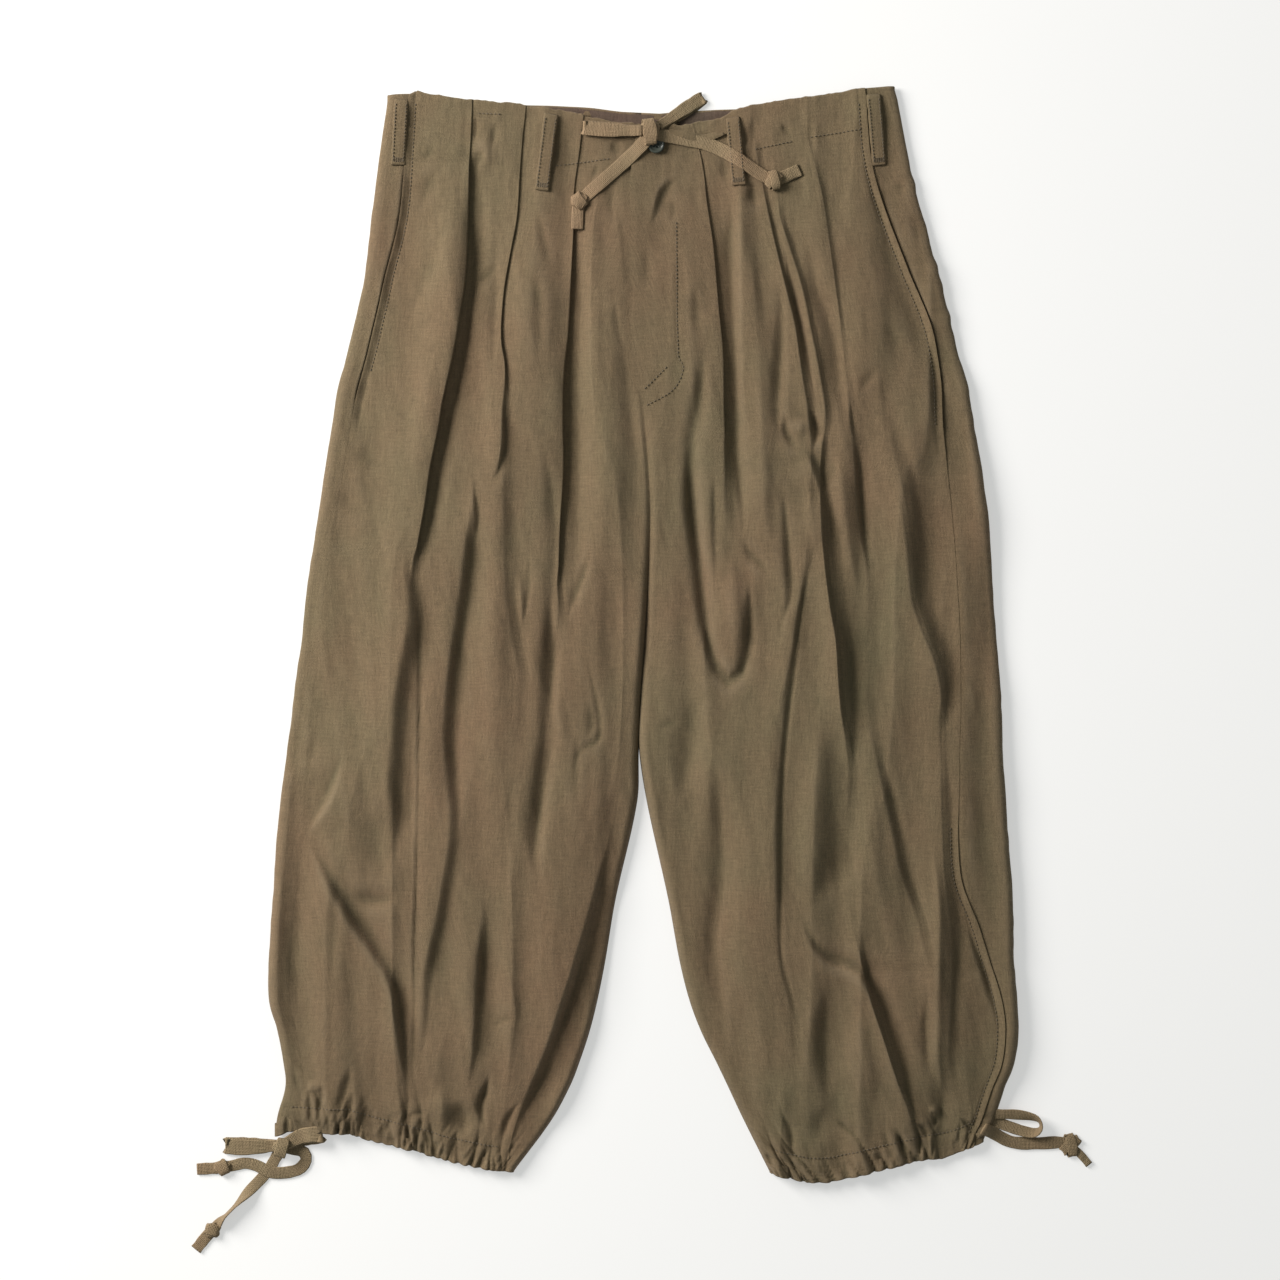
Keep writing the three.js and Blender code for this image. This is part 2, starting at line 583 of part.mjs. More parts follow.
// Panels and hem casings
function addLeg(side, leg) {
  const panelLevels = spread(HALF_LENGTH, CASING_LEVEL, PANEL_ROWS);
  const casingLevels = spread(CASING_LEVEL - CASING_GAP, -HALF_LENGTH, CASING_ROWS);
  const curlColumns = [1.34, 1.68, 2];
  const frontColumns = [...spread(0, 1, FRONT_COLUMNS), ...curlColumns];
  const casingColumns = [...spread(0, 1, CASING_COLUMNS), ...curlColumns];
  const backColumns = [0, 0.5, 1, 1.2, 1.36, 1.5, 1.64, 1.8, 2, 2.33, 2.67, 3];
  const parted = (level) => leg.parted(level);
  const front = (gathered) => (column, level) => leg.frontPoint(column, level, gathered);
  const back = (gathered) => (column, level) => leg.backPoint(column, level, gathered);
  return [
    addPiece(`front_${side}`,
      panelWall(front(false), frontColumns, panelLevels, -leg.toInner, parted), CLOTH_COLOUR),
    addPiece(`back_${side}`,
      panelWall(back(false), backColumns, panelLevels, leg.toInner, parted), CLOTH_COLOUR),
    addPiece(`hem_casing_front_${side}`,
      panelWall(front(true), casingColumns, casingLevels, -leg.toInner, parted),
      CLOTH_COLOUR),
    addPiece(`hem_casing_back_${side}`,
      panelWall(back(true), backColumns, casingLevels, leg.toInner, parted), CLOTH_COLOUR),
  ];
}

const rightLeg = new Leg({
  outline: RIGHT_OUTLINE, seamInset: RIGHT_SEAM_INSET, hem: RIGHT_HEM, folds: RIGHT_FOLDS,
  gathers: RIGHT_GATHERS, toInner: 1,
});
const leftLeg = new Leg({
  outline: LEFT_OUTLINE, seamInset: LEFT_SEAM_INSET, hem: LEFT_HEM, folds: LEFT_FOLDS,
  gathers: LEFT_GATHERS, toInner: -1,
});
const cloth = [...addLeg("right", rightLeg), ...addLeg("left", leftLeg)];

// Facing strip inside the back of the waist, seen where the front dips
function addWaistFacing() {
  const bottom = CLOTH + SEAM_GAP;
  const rows = (z) => [0, 1].map((row) => spread(-186, 181, 22).map((x) =>
    new THREE.Vector3(x, backTop(x) - 1 - row * FACING_DEPTH, z)));
  addPiece("waist_facing_back", closedWall(rows(bottom + FACING), rows(bottom)),
    FACING_COLOUR, 0.9);
}

// Facing strip under a pocket opening in the side seam
function addPocketFacing(side, leg, topLevel, lowLevel) {
  const levels = spread(HALF_LENGTH, CASING_LEVEL, PANEL_ROWS)
    .filter((level) => level <= topLevel && level >= lowLevel);
  const offset = CLOTH / 2 + SEAM_GAP + 0.35;
  const half = POCKET_FACING_WIDTH / 2;
  const rows = (drop) => levels.map((level) => [-half, 0, half].map((away) => {
    const depth = leg.seamInset(level) + away;
    const [x, y] = leg.plan(depth, level, frontTop);
    return new THREE.Vector3(x, y, leg.height(depth, level, false) - offset - drop);
  }));
  addPiece(`pocket_facing_${side}`, closedWall(rows(0), rows(FACING)), FACING_COLOUR, 0.9);
}

// Belt loop: a flat strip sewn down at both ends
function addBeltLoop({ name, top, bottom }) {
  const parts = 5;
  const runX = bottom[0] - top[0];
  const runY = bottom[1] - top[1];
  const length = Math.hypot(runX, runY);
  const angle = Math.atan2(runY, runX);
  const half = LOOP_WIDTH / 2;
  const side = [(-Math.sin(angle)) * half, Math.cos(angle) * half];
  const rows = (raise) => spread(0, 1, parts).map((share) => {
    const x = top[0] + runX * share;
    const y = top[1] + runY * share;
    const z = topUnder(cloth, x, y, angle, length / parts, half) + SEAM_GAP + raise;
    return [-1, 1].map((way) => new THREE.Vector3(x + way * side[0], y + way * side[1], z));
  });
  return addPiece(name, closedWall(rows(LOOP_THICKNESS), rows(0)), CLOTH_COLOUR);
}

addWaistFacing();
addPocketFacing("right", rightLeg, 328, 190);
addPocketFacing("left", leftLeg, 300, 156);
const beltLoops = BELT_LOOPS.map(addBeltLoop);

// Waist button on the fly's left edge, with a raised rim and a domed back
function addButton(x, y) {
  const rim = BUTTON_RADIUS;
  const half = BUTTON_THICKNESS / 2;
  const profile = [
    [0, -half], [rim * 0.7, -half], [rim, -half * 0.2], [rim, half * 0.5], [rim * 0.9, half],
    [rim * 0.72, half * 0.9], [rim * 0.6, half * 0.45], [0, half * 0.45],
  ].map(([radius, z]) => new THREE.Vector2(radius, z));
  const geometry = indexed(new THREE.LatheGeometry(profile, 20));
  geometry.rotateX(Math.PI / 2);
  const rest = topUnder(cloth, x, y, 0, rim, rim) + SEAM_GAP + half;
  geometry.translate(x, y, rest);
  return addPiece("waist_button", facingOut(geometry), BUTTON_COLOUR, 0.3);
}

// Join the corners that lie at one place, so that faces share them
function indexed(geometry) {
  const p = geometry.attributes.position;
  const places = new Map();
  const positions = [];
  const order = geometry.index
    ? [...geometry.index.array]
    : Array.from({ length: p.count }, (_, i) => i);
  const index = order.map((i) => {
    const place = [p.getX(i), p.getY(i), p.getZ(i)];
    const key = place.map((value) => Math.round(value * 1e4)).join();
    if (!places.has(key)) {
      places.set(key, positions.length / 3);
      positions.push(...place);
    }
    return places.get(key);
  });
  const kept = [];
  for (let i = 0; i < index.length; i += 3) {
    const [a, b, c] = index.slice(i, i + 3);
    if (a !== b && b !== c && a !== c) kept.push(a, b, c);
  }
  const joined = new THREE.BufferGeometry();
  joined.setAttribute("position", new THREE.Float32BufferAttribute(positions, 3));
  joined.setIndex(kept);
  return joined;
}

// A flat tape along a route of [x, y] points that rests on the pieces under it
function addTape(name, route, width, pieces) {
  const half = TAPE_THICKNESS / 2;
  const plan = new THREE.CatmullRomCurve3(route.map(([x, y]) => new THREE.Vector3(x, y, 0)));
  const steps = Math.max(4, Math.ceil(plan.getLength() / 13));
  const places = plan.getSpacedPoints(steps);
  const reach = plan.getLength() / steps;
  const heights = places.map((place, i) => {
    const ahead = places[Math.min(i + 1, steps)].clone().sub(places[Math.max(i - 1, 0)]);
    const angle = Math.atan2(ahead.y, ahead.x);
    const top = topUnder(pieces, place.x, place.y, angle, reach, width / 2);
    return half + (top > 0 ? top + SEAM_GAP : TABLE_GAP);
  });
  const bevel = 0.35;
  const corners = [
    [-half, bevel - width / 2], [bevel - half, -width / 2], [half - bevel, -width / 2],
    [half, bevel - width / 2], [half, width / 2 - bevel], [half - bevel, width / 2],
    [bevel - half, width / 2], [-half, width / 2 - bevel],
  ];
  const section = new THREE.Shape(corners.map(([x, y]) => new THREE.Vector2(x, y)));
  const geometry = indexed(new THREE.ExtrudeGeometry(section, { steps, extrudePath: plan }));
  const p = geometry.attributes.position;
  for (let i = 0; i < p.count; i += 1) {
    p.setZ(i, p.getZ(i) + heightAlong(places, heights, p.getX(i), p.getY(i)));
  }
  return addPiece(name, facingOut(geometry), TAPE_COLOUR);
}

// The height at the place of a route that is nearest to x, y
function heightAlong(places, heights, x, y) {
  let best = Infinity;
  let height = heights[0];
  for (let i = 0; i < places.length - 1; i += 1) {
    const run = places[i + 1].clone().sub(places[i]);
    const from = new THREE.Vector3(x, y, 0).sub(places[i]);
    const share = clamp(from.dot(run) / run.lengthSq(), 0, 1);
    const away = from.addScaledVector(run, -share).length();
    if (away < best) {
      best = away;
      height = lerp(heights[i], heights[i + 1], share);
    }
  }
  return height;
}

// A tied knot: a rounded block, flattest along z
function addKnot(name, x, y, angle, [length, width, height], bottom) {
  const power = 3.2;
  const geometry = indexed(new THREE.SphereGeometry(1, 12, 6));
  const p = geometry.attributes.position;
  for (let i = 0; i < p.count; i += 1) {
    const place = [p.getX(i), p.getY(i), p.getZ(i)];
    const size = place.reduce((sum, value) => sum + Math.abs(value) ** power, 0);
    p.setXYZ(i, ...place.map((value) => value / size ** (1 / power)));
  }
  geometry.scale(length / 2, width / 2, height / 2);
  geometry.rotateZ(angle);
  geometry.translate(x, y, bottom + height / 2);
  return addPiece(name, facingOut(geometry), TAPE_COLOUR);
}

// A bow's loop: the tape runs out and turns back over itself
function addBowLoop(name, [startX, startY], angle, length, width, height, bottom, droop = 0) {
  const wall = TAPE_THICKNESS;
  const outer = height / 2;
  const inner = outer - wall;
  const outline = new THREE.Shape();
  outline.moveTo(0, 0);
  outline.lineTo(length - outer, 0);
  outline.absarc(length - outer, outer, outer, -Math.PI / 2, Math.PI / 2, false);
  outline.lineTo(0, height);
  outline.lineTo(0, height - wall);
  outline.lineTo(length - outer, height - wall);
  outline.absarc(length - outer, outer, inner, Math.PI / 2, -Math.PI / 2, true);
  outline.lineTo(0, wall);
  const flat = { depth: width, bevelEnabled: false, curveSegments: 5 };
  const geometry = indexed(new THREE.ExtrudeGeometry(outline, flat));
  geometry.translate(0, 0, -width / 2);
  geometry.rotateZ(-droop);
  geometry.rotateX(Math.PI / 2);
  geometry.rotateZ(angle);
  geometry.translate(startX, startY, bottom);
  return addPiece(name, facingOut(geometry), TAPE_COLOUR);
}

// The bow at the waist, its two ends, and the knot and the tail on each end
function addWaistTie() {
  const button = addButton(9.8, 380.4);
  const ground = [...cloth, ...beltLoops, button];
  const knotRest = topUnder(ground, 4.1, 391.9, 0, 5.4, 9) + SEAM_GAP;
  addKnot("waist_bow_knot", 4.1, 391.9, 0, [10.8, 18, 6.5], knotRest);
  const loopRest = topUnder(ground, -23.5, 392.6, 0, 22, 6) + SEAM_GAP;
  addBowLoop("waist_bow_loop_right", [-1.9, 391.2], Math.PI - 0.07, 43.5, 11, 4.4, loopRest);
  addBowLoop("waist_bow_loop_left", [15.6, 397.4], 0.53, 37, 10.2, 4.2, knotRest + 0.5, 0.12);
  addTape("waist_tie_end_right", WAIST_END_RIGHT, 11, ground);
  addTape("waist_tie_end_left", WAIST_END_LEFT, 10.2, ground);
  const rightRest = topUnder(ground, -49.6, 337.1, 0, 8, 8) + SEAM_GAP;
  addKnot("waist_end_knot_right", -49.6, 337.1, 0.2, [15, 12.5, 5.5], rightRest);
  addTape("waist_tail_right", [[-51.1, 330.2], [-51.4, 322], [-51.4, 314.8]], 9.4, ground);
  const leftRest = topUnder(ground, 101.6, 352.9, 0, 8, 8) + SEAM_GAP;
  addKnot("waist_end_knot_left", 101.4, 352.6, -0.2, [12, 15, 5.5], leftRest);
  addTape("waist_tail_left", [[108.2, 355.2], [115, 358.4], [121.6, 361.3]], 10, ground);
}

// The tie at the right hem lies on the table: a knot, two loops and two ends
function addRightHemTie() {
  const table = TABLE_GAP;
  addKnot("hem_right_knot", -282.6, -399.3, 0, [12, 12.5, 5.5], table);
  addBowLoop("hem_right_loop_outer", [-289.2, -399.2], Math.PI, 36, 12.4, 4, table);
  const overEnd = table + TAPE_THICKNESS + SEAM_GAP;
  addBowLoop("hem_right_loop_inner", [-276, -397.4], 0.04, 25.5, 11, 5, overEnd);
  const lower = addTape("hem_right_end_lower", HEM_END_LOWER, 8.6, []);
  addTape("hem_right_end_upper", HEM_END_UPPER, 9.4, [lower]);
  addKnot("hem_right_end_knot_upper", -328.6, -416.3, 0.05, [14.5, 11.5, 5], table);
  addTape("hem_right_tail_upper", [[-336.4, -417.2], [-342, -417.6], [-348.6, -417.9]], 9, []);
  addKnot("hem_right_end_knot_lower", -336.4, -465.2, 0.82, [15, 11, 5], table);
  addTape("hem_right_tail_lower", [[-341.9, -471.2], [-345.4, -475.4], [-349.4, -480.6]], 9,
    []);
}

// The tie at the left hem: a loop that lies open and one end
function addLeftHemTie() {
  const table = TABLE_GAP;
  const outline = [
    [276.4, -370.6], [290, -370.6], [306.6, -373.6], [310.8, -379], [310.6, -388],
    [307.6, -392.4], [292, -391.2], [279.6, -386.4], [275, -381.4],
  ];
  const opening = [
    [283.8, -379.8], [288.6, -383.4], [296.6, -386], [304.4, -383.6], [297, -380.6],
  ];
  const toPoints = (rows) => rows.map(([x, y]) => new THREE.Vector2(x, y));
  const loop = new THREE.Shape(toPoints(outline));
  loop.holes.push(new THREE.Path(toPoints(opening)));
  const geometry = indexed(new THREE.ExtrudeGeometry(loop, { depth: 4, bevelEnabled: false }));
  geometry.translate(0, 0, table);
  addPiece("hem_left_loop", facingOut(geometry), TAPE_COLOUR);
  addTape("hem_left_end", HEM_END_LEFT, 9.8, []);
  addKnot("hem_left_end_knot", 333.4, -398.9, -0.25, [12.6, 16.5, 5], table);
  addTape("hem_left_tail", [[339.4, -404.6], [343.6, -409], [348, -414.4]], 7.4, []);
}

addWaistTie();
addRightHemTie();
addLeftHemTie();

export default trousers;
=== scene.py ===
"""Balloon trousers laid flat with the front up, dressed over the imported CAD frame.

The tables and the shape classes work in millimetres, in the frame's own axes: X runs across
the waist towards the wearer's left, Y from the hems to the waist, and Z up from the surface
that the garment lies on. Meshes are written in metres. Left and right of a fold, in the
tables of folds and pleats, are its sides towards -X and +X.
"""

import logging
import math
from dataclasses import dataclass
from enum import Enum
from typing import Callable, Sequence

import bmesh
import bpy
import numpy as np
from mathutils import Matrix, Vector
from mathutils.bvhtree import BVHTree


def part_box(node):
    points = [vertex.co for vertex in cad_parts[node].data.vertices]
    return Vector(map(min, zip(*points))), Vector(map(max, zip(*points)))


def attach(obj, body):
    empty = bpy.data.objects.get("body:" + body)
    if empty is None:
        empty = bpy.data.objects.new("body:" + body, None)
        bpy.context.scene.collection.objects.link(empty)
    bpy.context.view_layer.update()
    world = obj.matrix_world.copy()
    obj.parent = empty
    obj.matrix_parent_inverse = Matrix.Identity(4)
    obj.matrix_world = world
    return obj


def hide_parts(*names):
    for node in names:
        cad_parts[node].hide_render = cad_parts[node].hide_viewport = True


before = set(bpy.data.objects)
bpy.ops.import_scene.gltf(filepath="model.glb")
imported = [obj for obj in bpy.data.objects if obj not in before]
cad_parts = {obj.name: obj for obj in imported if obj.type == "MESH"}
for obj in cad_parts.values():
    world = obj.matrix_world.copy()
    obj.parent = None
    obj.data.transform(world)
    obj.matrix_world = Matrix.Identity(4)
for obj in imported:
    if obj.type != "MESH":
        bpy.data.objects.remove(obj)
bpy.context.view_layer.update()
LOG = logging.getLogger("balloon_trousers")

MM = 0.001

UP = np.array([0, 0, 1.0])

Point2 = tuple[float, float]
Colour = tuple[float, float, float]
Curve = Callable[[np.ndarray], np.ndarray]
Grid = tuple[np.ndarray, np.ndarray, np.ndarray]
Socket = bpy.types.NodeSocket
Value = Socket | float | tuple[float, ...]

# Levels and sizes that the solids share
HALF_LENGTH = 408.0       # nominal level of the waist; the hems are at the same below
SOLID_CLOTH = 1.6         # wall of the solids, whose upper face the cloth follows
OUTER_ROLL = 6.0          # how far the back panel curls in round the outer edge
INNER_ROLL = 7.0          # how far the front panel curls down to the inseam
INSEAM_HEIGHT = 1.95
SWELL_REACH = 42.0        # how far in from an edge the cloth reaches its full loft
LOWEST_FRONT = 4.4        # no fold sinks below this
LOWEST_SOFTNESS = 0.6     # how softly the folds stop there
PRESSED_LEVEL = 140.0     # below this the two legs only press against each other
LEG_GAP_LEVEL = -92.0     # below this they lie apart
WAIST_BEND_LEVEL = 250.0  # above this the rows of the cloth turn into the waist's line
HEM_BEND_LEVEL = -300.0   # below this they turn into the hem's line
FOLD_FADE = 60.0          # greatest length over which a fold fades out at its ends
FOLD_FADE_SHARE = 0.45    # greatest share of its own length
FOLD_STEPS = 22           # straight runs that a fold's route is cut into
GATHER_DEPTH = (2.6, 8.4)  # least and greatest depth of a gather at the hem
GATHER_WIDTH = (0.7, 2.0)
GATHER_REACH = (9.0, 46.0)  # how far up from the hem it goes
GATHER_SPAN = 1.9         # a gather is gone at this many times its reach
GATHER_BESIDE = (2.4, 4.8)  # least and greatest distance of the small gather beside each one
GATHER_SPREAD = 34.0      # height over which a gather grows to twice its width
GATHER_ROUND = 0.16       # how rounded the bottom of its valley is
PUCKER_SIZE = (2.4, 13.0)  # size of the small puckers between the gathers
PUCKER_HEIGHT = 0.75
PUCKER_REACH = 24.0
HEM_RISE = 1.1            # how much higher the gathered cloth lies at the hem
HEM_RISE_REACH = 16.0
GATHER_LEAN = 0.22        # how far a gather leans sideways over its height
GATHER_TURN = {"right": -0.5, "left": -0.25}  # turns the gathers upright on each leg
SCALLOP = 1.3             # how far the hem's edge bulges between two gathers
SCALLOP_REACH = 7.0
SEWN_REACH = 1.8          # half the width of the furrow that the casing's stitching lies in
SEWN_DEPTH = 0.35
HEM_DEPTH = 19.0          # from the hem's edge up to the stitching of its casing
FOLD_GAIN = (1.25, 1.5)   # a narrow and a wide fold are this much deeper than written
PLEAT_GAIN = 1.5

# The visible cloth
CLOTH = 0.5
PLEAT_EDGE = 0.7          # half the strip that a pleat's edge takes up where it lies open
SEAM_LIP = 0.8            # how far the front's edge stands over the back at the side seam
LAP = 2.6                 # how far the left front laps over the right one at the fly
UNDERLAP = 3.0            # how far the right front runs on under it
FLY_LIPS = (1.1, -1.6)    # how much the left front rises there and the right one sinks
FLY_REACH = 9.0           # how far in from the fly's edge
DITCH_DEPTH = 1.8         # how deep the centre seam is pressed in
DITCH_REACH = 2.6
EDGE_DEPTH = 1.5          # thickness of the turned edge at the waist and the hem
PLEAT_GAP = 3.4           # least distance between two pleats
ROW_STEPS = (1.25, 3.05)  # distance of the rows near the ends, and of the others
FINE_AT_HEM = 58.0        # how far up from the hem the rows lie close together
FINE_AT_WAIST = 20.0      # and how far down from the waist
GAP_BLEND = 20.0          # levels over and under the leg gap's top where the edges part
UNDERSIDE = 0.62          # height of the back panel under the garment
RELIEF_STEPS = 3            # neighbours on each side that a point is compared with
RELIEF_HEIGHT = 0.8         # a point that stands over them by this takes all of the wear and painted highlight, and one sunk under them by this all of the painted shade
FOLD_SPAN = 2.6           # a fold reaches this many times its width
FOLD_POINT = 0.35         # how much a fold narrows at its ends
FOLD_WIDTHS = (2.5, 8.0)  # folds between these widths take their gain from FOLD_GAIN
DRAPE_HEIGHT = 4.9        # height of the long swells down the leg
DRAPE_MIDDLE = 0.45       # share of a long swell that lies over the mean
CASING_TURN = 9.0         # cloth turned in at the hem

# How the cloth turns in at the waist and the hem: how far out, and share of EDGE_DEPTH.
EDGE_STEPS = ((0.35, 0.12), (0.75, 0.5), (0.55, 0.86), (0.0, 1.0), (-3.0, 1.0),
              (-CASING_TURN, 0.92))

# Unevenness of the cloth: its size across and along, a number for its seed, its height.
WRINKLES = {
    "drapes": ((30.0, 250.0), 3, 1.0),
    "swells": ((19.0, 130.0), 5, 2.0),
    "soft": ((13.0, 62.0), 0, 1.0),
    "small": ((6.0, 24.0), 1, 0.32),
    "fine": ((3.2, 8.0), 2, 0.06),
    "pressed": ((4.2, 15.0), 4, 0.34),
}

# Outline rows: level, outer x, outer y, inner x, inner y
RIGHT_OUTLINE = (
    (408, -200.4, 419.5, -2, 396.1),
    (354.7, -208.2, 354.7, -7.4, 354.7),
    (268.8, -219.1, 268.8, -8.2, 268.8),
    (221.9, -229.3, 221.9, -7.4, 221.9),
    (182.8, -239.5, 182.8, -1.2, 182.8),
    (104.7, -252, 104.7, 5.1, 104.7),
    (26.6, -263.7, 26.6, 2.7, 26.6),
    (-51.6, -272.3, -51.6, -2.3, -51.6),
    (-90.6, -277.7, -90.6, -3.5, -90.6),
    (-129.7, -282.4, -129.7, -4.3, -129.7),
    (-207.8, -289.5, -207.8, -21.5, -207.8),
    (-254.7, -291.8, -254.7, -29.3, -254.7),
    (-285.9, -291, -285.9, -35.5, -285.9),
    (-310.9, -285.5, -310.9, -41.8, -310.9),
    (-334.4, -281.6, -334.4, -49.6, -334.4),
    (-352.3, -280.1, -352.3, -56.6, -352.3),
    (-375.8, -286.3, -375.8, -71.5, -379.7),
    (-408, -287.9, -390.6, -100.4, -418.8),
)
LEFT_OUTLINE = (
    (408, 196.5, 426.6, -2, 396.1),
    (354.7, 209.8, 354.7, -7.4, 354.7),
    (268.8, 233.2, 268.8, -8.2, 268.8),
    (221.9, 244.1, 221.9, -7.4, 221.9),
    (182.8, 255.1, 182.8, -1.2, 182.8),
    (104.7, 266.8, 104.7, 5.1, 104.7),
    (26.6, 273, 26.6, 2.7, 26.6),
    (-51.6, 278.5, -51.6, -2.3, -51.6),
    (-90.6, 280.1, -90.6, -3.5, -90.6),
    (-129.7, 283.2, -129.7, 2, -129.7),
    (-207.8, 288.7, -207.8, 19.1, -207.8),
    (-254.7, 289.5, -254.7, 27.7, -254.7),
    (-285.9, 291.8, -285.9, 35.5, -285.9),
    (-310.9, 291.8, -310.9, 44.9, -310.9),
    (-334.4, 288.7, -334.4, 56.6, -334.4),
    (-352.3, 281.6, -352.3, 65.2, -352.3),
    (-375.8, 273.8, -375.8, 76.2, -375.8),
    (-408, 264.5, -395.3, 98, -419.5),
)

# Edge lines across the garment, each point (x, y)
FRONT_TOP = (
    (-200.4, 419.5), (-182, 420.3), (-176, 423.4), (-168, 420), (-135, 415.6), (-104, 413.3),
    (-73, 409.4), (-45.7, 403.1), (-18.4, 397.7), (-2, 396.1), (34.8, 396.1), (48, 399.2),
    (62.9, 403.1), (75.4, 409.4), (106.6, 415.6), (137.9, 419.5), (169.1, 424.2),
    (196.5, 426.6),
)
BACK_TOP = (
    (-200.4, 418.8), (-151, 416.4), (-104, 412.3), (-73, 411.7), (-41.8, 410.2),
    (-18.4, 407), (12.9, 405.5), (28.5, 407), (59.8, 408.6), (75.4, 409), (106.6, 414.8),
    (137.9, 418.8), (169.1, 423.4), (196.5, 425.8),
)
RIGHT_HEM = (
    (-287.9, -390.6), (-276, -387.5), (-229, -389.1), (-213.7, -394.5), (-182.4, -401.6),
    (-151.2, -410.9), (-119.9, -417.2), (-100.4, -418.8),
)
LEFT_HEM = (
    (98, -419.5), (127, -426.6), (145, -426.6), (184, -417.2), (221.5, -408.6),
    (233, -408.6), (255, -400), (264.5, -395.3),
)

# How far in from the outer edge the side seam lies: level, inset
RIGHT_SEAM_INSET = (
    (408, 18.5), (328, 23), (271, 17), (194, 16.5), (-52, 16.5), (-164, 21), (-280, 17),
    (-408, 16),
)
LEFT_SEAM_INSET = (
    (408, 25), (359, 30.5), (283, 24), (229, 16.5), (158, 27), (-5, 30), (-98, 36),
    (-187, 42), (-234, 27), (-277, 15.5), (-311, 11.5), (-408, 12),
)

# Loft of the front: level, height at the edges, height in the middle of a leg
LOFT = (
    (408, 5.6, 5.6), (350, 6.2, 6.8), (260, 7.5, 11), (100, 8.2, 13.5), (-150, 8.6, 14.5),
    (-320, 8.2, 13.5), (-408, 6.5, 7.5),
)

# Height of the centre seam, where both fronts meet: level and height
CENTRE_SEAM = (
    (408, 7), (370, 7.8), (320, 9.8), (260, 11), (200, 11.6), (140, 13), (80, 12.6),
    (0, 10.5), (-92, 9),
)
CENTRE_REACH = 12.0  # how far from the seam the fronts bend to its height

# Where the drawstring draws the hem into gathers: the x of each valley
RIGHT_GATHERS = (
    -277, -272, -264, -257, -251, -244, -237, -229, -221, -212, -204, -196, -189, -180, -176,
    -172, -164, -158, -152, -144, -136, -127, -119, -111,
)
LEFT_GATHERS = (
    101, 114, 125, 136, 147, 158, 169, 179, 188, 196, 204, 210, 216, 222, 229, 236, 244,
    251, 258,
)


class FoldKind(Enum):
    """How a fold changes the height of the cloth across its route."""

    RIDGE = "ridge"
    STEP = "step"


RIDGE, STEP = FoldKind.RIDGE, FoldKind.STEP


def smooth_step(start: float, end: float, value: np.ndarray) -> np.ndarray:
    """Rise smoothly from 0 at start to 1 at end.

    Args:
        start: Value at which the rise begins.
        end: Value at which it is over.
        value: Where to read it.

    Returns:
        The share of the rise at each value.
    """
    share = np.clip((np.asarray(value, float) - start) / (end - start), 0.0, 1.0)
    return share * share * (3.0 - 2.0 * share)


def curve_through(knots: Sequence[float], values: Sequence[float]) -> Curve:
    """Make a smooth curve through values at rising knots.

    Args:
        knots: Where the values are met, in rising order.
        values: The value at each knot.

    Returns:
        A function that reads the curve, held at its ends.
    """
    at = np.asarray(knots, float)
    met = np.asarray(values, float)
    before = np.maximum(np.arange(len(at)) - 1, 0)
    after = np.minimum(np.arange(len(at)) + 1, len(at) - 1)
    slopes = (met[after] - met[before]) / (at[after] - at[before])

    def read(place: np.ndarray) -> np.ndarray:
        """Read the curve at some places.

        Args:
            place: Where the curve is read.

        Returns:
            Its values there.
        """
        place = np.asarray(place, float)
        i = np.clip(np.searchsorted(at, place, side="left") - 1, 0, len(at) - 2)
        span = at[i + 1] - at[i]
        t = np.clip((place - at[i]) / span, 0.0, 1.0)
        rise = t * t * (3.0 - 2.0 * t)
        leave = t * (1.0 - t) ** 2 * span
        arrive = -t * t * (1.0 - t) * span
        met_between = met[i] + (met[i + 1] - met[i]) * rise
        return met_between + leave * slopes[i] + arrive * slopes[i + 1]

    return read


def by_level(rows: Sequence[Sequence[float]], column: int) -> Curve:
    """Read one column of a table whose rows run from the waist down, by level."""
    curve = curve_through([-row[0] for row in rows], [row[column] for row in rows])
    return lambda level: curve(-np.asarray(level, float))


def edge_line(points: Sequence[Point2]) -> Curve:
    """Make straight runs between the points of an edge line: y for an x."""
    xs, ys = zip(*points)
    return lambda x: np.interp(x, xs, ys)


def rounded_route(points: Sequence[Point2], steps: int) -> np.ndarray:
    """Lay a smooth line through the points of a route.

    Args:
        points: The route's points.
        steps: How many pieces the line is divided into.

    Returns:
        Evenly spaced points along the line.
    """
    rows = np.asarray(points, float)
    lengths = np.linalg.norm(np.diff(rows, axis=0), axis=1)
    along = np.concatenate([[0.0], np.cumsum(lengths)])
    fine = np.linspace(0.0, along[-1], steps * 6 + 1)
    line = np.stack([curve_through(along, column)(fine) for column in rows.T], axis=1)
    walked = np.concatenate([[0.0], np.cumsum(np.linalg.norm(np.diff(line, axis=0), axis=1))])
    even = np.linspace(0.0, walked[-1], steps + 1)
    return np.stack([np.interp(even, walked, column) for column in line.T], axis=1)


